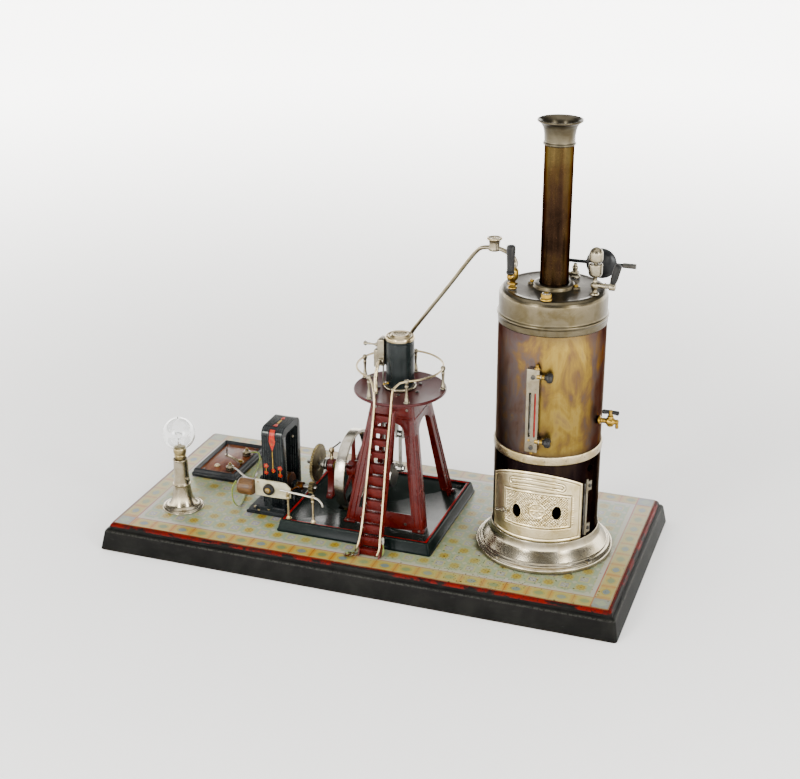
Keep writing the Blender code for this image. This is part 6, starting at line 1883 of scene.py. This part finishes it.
def build_door():
    """The stoking door as one embossed sheet, with two air holes."""
    columns, rows = 250, 164
    face_r, back_r = DOOR_FACE, DOOR_FACE - 0.8
    bm = bmesh.new()
    grid = []
    for i in range(columns + 1):
        angle = DOOR_ANGLES[0] + (DOOR_ANGLES[1] - DOOR_ANGLES[0]) * i / columns
        top = arc_height(angle, DOOR_SIDE, DOOR_CROWN)
        column = []
        for j in range(rows + 1):
            z = DOOR_FOOT + (top - DOOR_FOOT) * j / rows
            column.append((bm.verts.new(radial(angle, face_r + door_relief(angle, z), z)), angle, z))
        grid.append(column)
    for i in range(columns):
        for j in range(rows):
            corners = (grid[i][j], grid[i + 1][j], grid[i + 1][j + 1], grid[i][j + 1])
            if min(inside_oval(sum(c[1] for c in corners) / 4, sum(c[2] for c in corners) / 4, hole,
                               HOLE_HALF)
                   for hole in AIR_HOLES) < 1.0:
                continue
            bm.faces.new([c[0] for c in corners])
    loose = [vert for vert in bm.verts if not vert.link_faces]
    place = {column[0]: column[1:] for rows_of in grid for column in rows_of}
    for vert in list(bm.verts):
        if not vert.link_faces or not any(edge.is_boundary for edge in vert.link_edges):
            continue
        angle, z = place[vert]
        for hole in AIR_HOLES:
            reach = inside_oval(angle, z, hole, HOLE_HALF)
            if reach < 1.3:
                new_angle = hole[0] + (angle - hole[0]) / reach
                new_z = hole[1] + (z - hole[1]) / reach
                vert.co = radial(new_angle, face_r + 0.25, new_z)
    bmesh.ops.delete(bm, geom=loose, context="VERTS")
    pushed = bmesh.ops.extrude_face_region(bm, geom=list(bm.faces))
    for vert in pushed["geom"]:
        if isinstance(vert, bmesh.types.BMVert):
            off = Vector((vert.co.x - BOILER.x, vert.co.y - BOILER.y, 0))
            vert.co -= off.normalized() * (off.length - back_r)
    make("stoking_door", "fire_door", [(bm, lit_door_nickel)], "firebox_door", slot="nickel", sharp=50)
    build_latch()


def build_latch():
    at = joint_place("door_latch_turn")
    out = Vector((at.x - BOILER.x, at.y - BOILER.y, 0)).normalized()
    across = Vector((-out.y, out.x, 0))
    centre = at + out * 1.6
    up = Vector((0, 0, 1))
    boss = lathe([(0, 0), (2.3, 0), (2.3, 0.8), (1.5, 1.3), (1.5, 2.4), (1.9, 2.9), (1.5, 3.9), (0, 4.2)],
                 at - out * 1.1, out, 32, soft=0.25)
    parts = [(boss, nickel)]
    for side in (-1, 1):
        route = [centre + across * side * 0.6, centre + across * side * 3.0 + up * side * 0.8,
                 centre + across * side * 6.2 + up * side * 1.6,
                 centre + across * side * 9.2 + up * side * 1.2]
        parts.append((tube(smooth_route(route, 4), (1.1,) * 5 + (1.15, 1.3, 1.5, 1.7, 1.75, 1.6, 1.2, 0.9),
                           16, 0.8, 0.6),
                      nickel))
    make("door_catch", "fire_door_latch", parts, "door_latch", slot="nickel")


def build_drum():
    start, end = low("boiler_drum").z, high("boiler_drum").z
    shell = [(14.6, 150), (53.0, 150), (53.0, end), (51.6, end), (51.6, 153), (14.6, 153)]
    band = [(51.6, start), (53.8, start), (54.2, start + 0.5), (54.4, start + 1.4), (54.4, start + 7.6),
            (54.2, start + 8.6), (53.8, start + 9.2), (51.6, start + 9.2)]
    parts = [(lathe(shell, AXIS, steps=BOILER_STEPS, ring=True, soft=0.3), boiler_brass),
             (lathe(band, AXIS, steps=BOILER_STEPS, ring=True, soft=0.3), warm_nickel)]
    for number in range(16):
        angle = 11 + number * 22.5
        parts.append((lathe([(0, 0), (0.9, 0), (0.6, 0.5), (0, 0.6)], radial(angle, 54.3, start + 4.7),
                            outward(angle), 14),
                      nickel))
    seam = curved_plate(52.6, 53.35, 91.5, 95.5, 151.0, end - 0.5, 2)
    parts.append((bevel_edges(seam, 0.2, 2), boiler_brass))
    make("drum", "plant", parts, "boiler_drum", slot="heated_brass")


def build_cap():
    top = BOILER_TOP
    base = low("boiler_cap").z
    cap = [(14.6, top - 3), (51.6, top - 6), (51.6, base), (53.3, base), (53.5, base + 0.6), (53.5, 280.4),
           (53.8, 281.2),
           (54.5, 282.0), (54.6, 283.0), (54.2, 284.0), (53.3, 284.6), (53.0, 285.6), (52.9, 300.0),
           (52.5, 303.4),
           (51.2, 306.2), (49.2, 307.8), (46.6, top), (44.6, top - 0.35), (42.0, top - 0.5),
           (23.0, top - 0.3), (20.6, top),
           (20.1, top + 0.6), (19.9, top + 2.8), (19.2, top + 3.8), (17.6, top + 4.2), (14.6, top + 4.2)]
    parts = [(lathe(cap, AXIS, steps=BOILER_STEPS, ring=True, soft=0.5), shaded_cap_nickel)]
    for side in (-1, 1):
        at = Vector((BOILER.x + side * 22.0, BOILER.y - side * 1.0, top - 0.6))
        parts.append((lathe([(0, 0), (4.2, 0), (4.3, 0.5), (4.2, 1.8), (3.6, 2.4), (0, 2.4)], at, steps=40),
                      shaded_cap_nickel))
        parts.append((screw(at + Vector((0, 0, 2.2)), "Z", 2.4, 2.0, 30 * side), brass))
    make("drum_cap", "plant", parts, "boiler_cap", slot="nickel")


def build_chimney():
    base = low("chimney").z
    top = high("chimney").z
    stack = [(12.6, base), (14.0, base), (14.0, top), (12.6, top)]
    make("chimney_tube", "plant", [(lathe(stack, AXIS, steps=112, ring=True, soft=0.2), flue_brass)],
         "chimney", slot="burnt_brass")
    start, end = low("chimney_crown").z, high("chimney_crown").z
    crown = [(12.6, start), (14.6, start), (15.3, start + 0.5), (15.5, start + 1.3), (15.2, start + 2.2),
             (14.6, start + 2.8),
             (14.5, start + 4.0), (14.7, 456.0), (15.2, 460.0), (16.3, 463.8), (18.2, 466.8), (20.6, 468.3),
             (21.4, 468.9),
             (21.5, 469.7), (21.0, end), (20.2, end - 0.1), (18.0, 469.0), (15.8, 466.4), (14.4, 463.0),
             (13.6, 458.6), (13.1, 454.0)]
    make("chimney_top", "plant", [(lathe(crown, AXIS, steps=112, ring=True, soft=0.4), shaded_crown_nickel)],
         "chimney_crown", slot="nickel")


# ---------------------------------------------------------------- boiler fittings

STOP_VALVE = joint_place("stop_valve_turn")


def build_filler_plug():
    spot = joint_place("filler_turn")
    base = low("filler_plug").z
    at = (spot.x, spot.y, base)
    parts = [(lathe([(0, 0), (5.6, 0), (5.8, 0.5), (5.6, 1.4), (4.6, 2.0), (4.3, 2.4), (4.3, 2.8),
                     (0, 2.8)], at, steps=48), brass),
             (knurled(5.0, 3.4, (spot.x, spot.y, base + 2.7), "Z", 20, 0.35), brass),
             (lathe([(0, 6.0), (4.2, 6.0), (3.8, 6.8), (3.0, 7.2), (0, 7.2)], at, steps=48), nickel),
             (screw((spot.x, spot.y, base + 6.2), "Z", 2.2, 1.2, 25), brass)]
    make("filler", "filler", parts, "filler_plug", slot="nickel")


def build_stop_valve():
    base = low("stop_valve").z
    x, hub_z = STOP_VALVE.x, STOP_VALVE.z
    y = -31.0
    stem = [(0, 0), (4.6, 0), (4.7, 0.5), (4.6, 1.5), (3.4, 2.2), (2.9, 3.2), (2.7, 5.2), (2.9, 7.3),
            (4.0, 8.4), (5.0, 9.6),
            (5.5, 11.5), (5.6, 15.0), (5.4, 18.2), (4.6, 19.8), (3.2, 20.5), (0, 20.6)]
    parts = [(lathe(stem, (x, y, base), steps=56), brass),
             (hexagon(4.8, 2.6, (x, y, base + 3.4), "Z", 6, 12), brass),
             (lathe([(0, 0), (3.0, 0), (3.4, 0.6), (3.4, 12.2), (3.0, 13.0), (0, 13.0)],
                    (x, y + 5.5, hub_z), "-Y", 40), brass),
             (tube([(x, y, base + 15), (x, y + 3.0, base + 15.8), (x, y + 6.0, base + 16.5)], 2.8, 24, 0.4),
              brass),
             (hexagon(3.9, 2.6, (x, y + 4.6, base + 16.1), (0, 1, 0.25), 6, 0), warm_nickel)]
    make("stop_valve_body", "plant", parts, "stop_valve", slot="brass")
    back = high("stop_valve_handle").y
    centre = Vector((x, back - 2.6, hub_z))
    parts = [(lathe([(0, 0), (3.2, 0), (3.4, 0.4), (3.4, 3.6), (2.8, 4.4), (2.0, 5.0), (1.0, 5.4),
                     (0, 5.4)],
                    (x, back, hub_z), "-Y", 40), brass),
             (lathe([(0, 2.9), (2.6, 2.9), (3.9, 3.3), (4.3, 4.2), (4.2, 5.2), (3.5, 6.4), (0, 6.4)],
                    centre, steps=48), black_iron),
             (lathe([(0, 6.0), (3.5, 6.0), (3.5, 8.0), (3.7, 14.0), (4.0, 21.0), (4.35, 26.5), (4.3, 29.0),
                     (3.7, 30.8), (2.4, 31.5), (0, 31.6)], centre, steps=56), black_wood)]
    make("stop_handle", "stop_handle", parts, "stop_valve_handle", slot="black_wood")


def build_steam_pipe():
    top = 343.5
    run = [(140.0, -22.8, 326.6), (140.0, -21.0, 331.5), (137.5, -22.5, 337.5),
           (132.0, -24.0, 341.5), (126.0, -25.0, top + 0.8), (119.4, -25.0, top + 1.5),
           (112.5, -23.5, top + 1.0),
           (105.0, -19.5, top - 1.5), (99.0, -15.5, 337.0), (90.0, -11.0, 326.0), (64.0, 1.2, 290.5),
           (38.0, 12.0, 256.0), (22.5, 18.6, 235.0), (18.0, 20.6, 226.0), (16.0, 21.4, 214.0),
           (15.2, 20.6, 205.0), (14.6, 18.6, 201.2), (14.2, 16.0, 200.4)]
    parts = [(tube(smooth_route(run, 8), 2.1, 24, 0.5), nickel)]
    cup_at = (119.4, -25.0, top - 1.2)
    cup = [(0, 0), (4.8, 0), (5.7, 0.5), (6.0, 1.1), (5.7, 1.7), (5.3, 2.1), (5.2, 3.4), (5.1, 8.0),
           (5.5, 8.6), (5.6, 9.2), (0, 9.2)]
    parts.append((lathe(cup, cup_at, steps=64, soft=0.3), nickel))
    parts.append((lathe([(0, 0), (3.4, 0), (3.3, 1.8), (0, 1.8)], (14.5, 18.4, 200.9), (0.05, -1, -0.2),
                        32), nickel))
    make("steam_line", "plant", parts, "steam_pipe", slot="nickel")
    base = low("lubricator_lid").z
    lid = [(0, 0), (4.9, 0), (5.1, 0.5), (5.6, 1.1), (7.0, 1.8), (7.6, 2.3), (7.7, 2.9), (7.3, 3.4),
           (6.4, 3.7), (5.4, 3.3), (2.0, 3.2), (1.6, 3.6), (1.2, 3.8), (0, 3.8)]
    make("cup_cover", "cup_lid", [(lathe(lid, (119.4, -25.0, base), steps=64, soft=0.3), warm_nickel)],
         "lubricator_lid", slot="nickel")


def build_whistle():
    base = low("whistle").z
    tap = joint_place("whistle_tap_turn")
    x, y = 218.5, -24.0
    body = [(0, 0), (4.2, 0), (4.3, 0.6), (3.9, 1.8), (2.8, 2.4), (2.2, 3.0), (2.3, 5.4), (3.2, 6.6),
            (3.9, 7.8), (4.1, 9.4),
            (3.9, 11.0), (3.0, 12.2), (2.1, 12.8), (1.8, 14.4), (2.2, 16.8), (3.6, 18.0), (5.4, 18.8),
            (6.4, 20.2), (6.7, 21.6),
            (6.7, 30.0), (6.2, 30.9), (5.2, 31.0), (2.0, 30.6), (2.0, 33.4), (5.6, 33.2), (6.3, 33.6),
            (6.6, 34.4), (6.6, 39.6), (6.3, 42.0), (5.3, 44.2), (3.6, 45.7), (2.0, 46.5), (0, 46.8)]
    parts = [(lathe(body, (x, y, base), steps=72, soft=0.35), nickel),
             (rod(2.4, 12.0, (x + 2.0, y, base + 9.5), "X", 36, 0.4), nickel),
             (lathe([(2.0, 0), (3.1, 0), (3.1, 1.0), (2.0, 1.0)], (x + 9.5, y, base + 9.5), "X", 36,
                    ring=True, soft=0.2), nickel)]
    make("whistle_bell", "plant", parts, "whistle", slot="nickel")
    hub = Vector((low("whistle_tap").x, tap.y, tap.z))
    knob = lathe([(0, 0), (3.4, 0), (3.8, 0.4), (3.8, 5.2), (3.3, 6.0), (2.2, 6.2), (0, 6.2)], hub, "X", 44)
    route = [hub + Vector((3.0, 0, 2.4)), hub + Vector((4.4, 0, 8.0)), hub + Vector((6.4, 0, 16.0)),
             hub + Vector((8.2, 0, 23.0))]
    route = smooth_route(route, 5)
    radii = [2.6 + 1.0 * min(1.0, i / 5) for i in range(len(route))]
    make("whistle_lever", "whistle_handle", [(knob, nickel), (tube(route, radii, 32, 1.0), black_wood)],
         "whistle_tap", slot="black_wood")


def build_safety_valve():
    lift = joint_place("safety_lever_lift")
    x, y = 188.8, 21.5
    base = low("safety_valve").z
    lever_z = lift.z
    seat = [(0, 0), (5.2, 0), (5.3, 0.5), (5.2, 1.8), (4.0, 2.6), (3.0, 3.2), (2.6, 5.4), (2.6, 9.0),
            (3.1, 9.8), (3.0, 10.8), (2.2, 12.0), (1.8, 13.0), (1.8, 14.2), (0, 14.6)]
    fulcrum = x - 13.0
    parts = [(lathe(seat, (x, y, base), steps=48), nickel),
             (hexagon(4.4, 2.4, (x, y, base + 3.6), "Z", 6, 20), nickel),
             (rod(2.0, 13.0, (fulcrum, y, base + 3.0), "X", 28, 0.4), nickel)]
    for side in (-1, 1):
        ys = sorted((y + side * 2.4, y + side * 4.6))
        outline = [(fulcrum - 2.6, base + 0.2), (fulcrum + 2.6, base + 0.2), (fulcrum + 2.2, base + 6),
                   *circle((fulcrum, lever_z), 2.6, -30, 210, 12), (fulcrum - 2.2, base + 6)]
        parts.append((slab(outline, ys[0], ys[1], "Y", 0.3, 2), nickel))
        parts.append((lathe([(0, 0), (1.5, 0), (1.2, 0.7), (0, 0.9)], (fulcrum, y + side * 4.5, lever_z),
                            "Y" if side > 0 else "-Y", 24), brass))
    parts.append((block((fulcrum - 2.6, y - 4.6, base + 0.2), (fulcrum + 2.6, y + 4.6, base + 4.0), 0.3),
                  nickel))
    make("safety_body", "plant", parts, "safety_valve", slot="nickel")
    start = low("safety_lever").x
    end = high("safety_lever").x
    parts = [(rod(1.7, 235.8 - start, (start, y, lever_z), "X", 32, 0.4), black_iron),
             (rod(2.5, end - 235.5, (235.5, y, lever_z), "X", 32, 0.5), dark_steel)]
    make("safety_arm", "valve_lever", parts, "safety_lever", slot="black_iron")
    half = [(15.2, 0), (15.1, 0.8), (14.4, 1.8), (11.8, 3.6), (8.0, 4.9), (3.4, 5.5), (0, 5.6)]
    profile = [*[(r, -h) for r, h in half[:0:-1]], *half]
    lens = carved(lathe(profile, (214.5, y, lever_z), "Y", 72, soft=0.4),
                  [rod(2.0, 60, (186, y, lever_z), "X", 28, 0)])
    make("arm_weight", "lever_weight", [(lens, black_iron)], "safety_weight", slot="black_iron")


def build_gauge():
    x = 173.0
    front = BOILER.y - 53.0
    bottom, top = 156.5, 243.0
    plate = block((x - 6.2, front - 6.4, bottom), (x + 6.2, front - 0.8, top), 0.6, 3)
    slots = [slab([*circle((x - 2.2, top - 25.0), 1.15, 0, 180, 10),
                   *circle((x - 2.2, bottom + 17.0), 1.15, 180, 360, 10)],
                  front - 10, front - 2.4, "Y", 0),
             slab([*circle((x + 2.9, top - 25.0), 0.95, 0, 180, 10),
                   *circle((x + 2.9, bottom + 17.0), 0.95, 180, 360, 10)],
                  front - 10, front - 5.0, "Y", 0)]
    parts = [(carved(plate, slots), nickel),
             (block((x + 2.0, front - 5.15, bottom + 16.2), (x + 3.8, front - 4.9, top - 24.2), 0),
              gauge_back)]
    for z in (236.0, 168.5):
        parts.append((rod(2.3, 8.0, (x + 3.6, front - 5.4, z), "X", 32, 0.3), brass))
        parts.append((lathe([(2.0, 0), (3.0, 0), (3.0, 1.2), (2.0, 1.2)], (x + 7.4, front - 5.4, z), "X",
                            36, ring=True, soft=0.2),
                      nickel))
    stub = [(0, 0), (2.6, 0), (2.7, 0.6), (2.4, 2.0), (1.6, 2.8), (1.5, 4.2), (1.9, 4.8), (1.4, 5.5),
            (0, 5.6)]
    parts.append((lathe(stub, (x + 3.2, front - 3.4, top - 0.6), steps=36, soft=0.25), brass))
    for z, turn in ((bottom + 5, 40), (top - 8, -20)):
        parts.append((screw((x, front - 6.35, z), "-Y", 2.3, 1.2, turn), dark_steel))
    parts.append((lathe([(0, 0), (1.4, 0), (1.2, 0.8), (0, 1.0)], (x - 2.2, front - 6.3, bottom + 12.6),
                        "-Y", 20), brass))
    parts.append((rod(1.8, 3.0, (x, front - 3.4, bottom - 2.6), "Z", 24, 0.4), brass))
    make("gauge_plate", "plant", parts, "gauge_frame", slot="nickel")
    make("gauge_tube", "plant",
         [(lathe([(0, 0), (1.0, 0), (1.0, 44.0), (0, 44.0)], (x - 2.2, front - 4.6, bottom + 17.0),
                 steps=28, soft=0.4), glass)], "gauge_glass", slot="glass")
    knob = [(0, 0), (2.6, 0), (2.7, 1.3), (3.6, 1.9), (4.8, 2.6), (5.2, 4.0), (5.1, 5.8), (4.5, 7.2),
            (3.4, 8.0), (1.6, 8.2), (0, 8.2)]
    for name, body, node in (("upper_knob", "upper_cock", "gauge_cock_upper"),
                             ("lower_knob", "lower_cock", "gauge_cock_lower")):
        spot = middle(node)
        shape = lathe(knob, (low(node).x, spot.y, spot.z), "X", 54)
        flute(shape, (spot.y, spot.z), 3.6, 0.22, 9)
        make(name, body, [(shape, black_wood),
                          (screw((high(node).x - 0.5, spot.y, spot.z), "X", 1.3, 0.7, 30), brass)], node,
             slot="black_wood")


def build_drain_cock():
    spot = joint_place("drain_cock_turn")
    y = spot.y
    start = low("drain_cock").x - 1.4
    z = 179.5
    profile = [(0, 1.4), (4.4, 1.4), (4.5, 1.9), (4.4, 3.2), (3.2, 3.9), (2.6, 4.6), (2.6, 8.8), (3.4, 9.4),
               (4.2, 10.2), (4.4, 13.0), (4.2, 15.8), (3.2, 16.8), (2.6, 17.4), (2.4, 20.4), (1.9, 21.2),
               (0, 21.4)]
    parts = [(lathe(profile, (start, y, z), "X", 48), brass),
             (rod(3.0, 11.0, (start + 13.0, y, z - 5.0), "Z", 36, 0.5), brass),
             (tube([(start + 19.0, y, z - 0.5), (start + 19.6, y, z - 3.0), (start + 19.8, y, z - 7.0)],
                   1.7, 20, 0.4), brass),
             (lathe([(1.8, 0), (2.8, 0), (2.8, 1.0), (1.8, 1.0)], (start + 19.0, y, z), "X", 32, ring=True,
                    soft=0.2), brass)]
    make("drain_body", "plant", parts, "drain_cock", slot="brass")
    hub = Vector((spot.x, y, low("drain_cock_handle").z))
    bar = smooth_route([hub + Vector((-8.6, 0, 3.0)), hub + Vector((-4.4, 0, 3.3)),
                        hub + Vector((0, 0, 3.5)), hub + Vector((4.4, 0, 3.3)),
                        hub + Vector((8.6, 0, 3.0))], 4)
    radii = [1.8 + 0.6 * abs(i - 8) / 8 for i in range(len(bar))]
    parts = [(lathe([(0, 0), (2.2, 0), (2.4, 0.6), (2.2, 4.8), (1.4, 5.6), (0, 5.7)], hub, steps=32),
              brass),
             (tube(bar, radii, 24, 0.9), black_wood)]
    make("drain_handle", "drain_handle", parts, "drain_cock_handle", slot="black_wood")


# ---------------------------------------------------------------- the whole plant

for step in (add_camera, build_leads, build_base, build_tray, build_tray_rail, build_tower, build_platform,
             build_railing, build_ladder, build_wire_ends, build_cylinder, build_valve_chest,
             build_wheelwork, build_drive_gear, build_bearing_standard, build_magnet, build_dynamo_base,
             build_armature, build_brush_gear, build_switchboard, build_lamp, build_boiler_foot,
             build_firebox, build_door, build_drum, build_cap, build_chimney, build_filler_plug,
             build_stop_valve, build_steam_pipe, build_whistle, build_safety_valve, build_gauge,
             build_drain_cock, add_floor, add_lights):
    step()
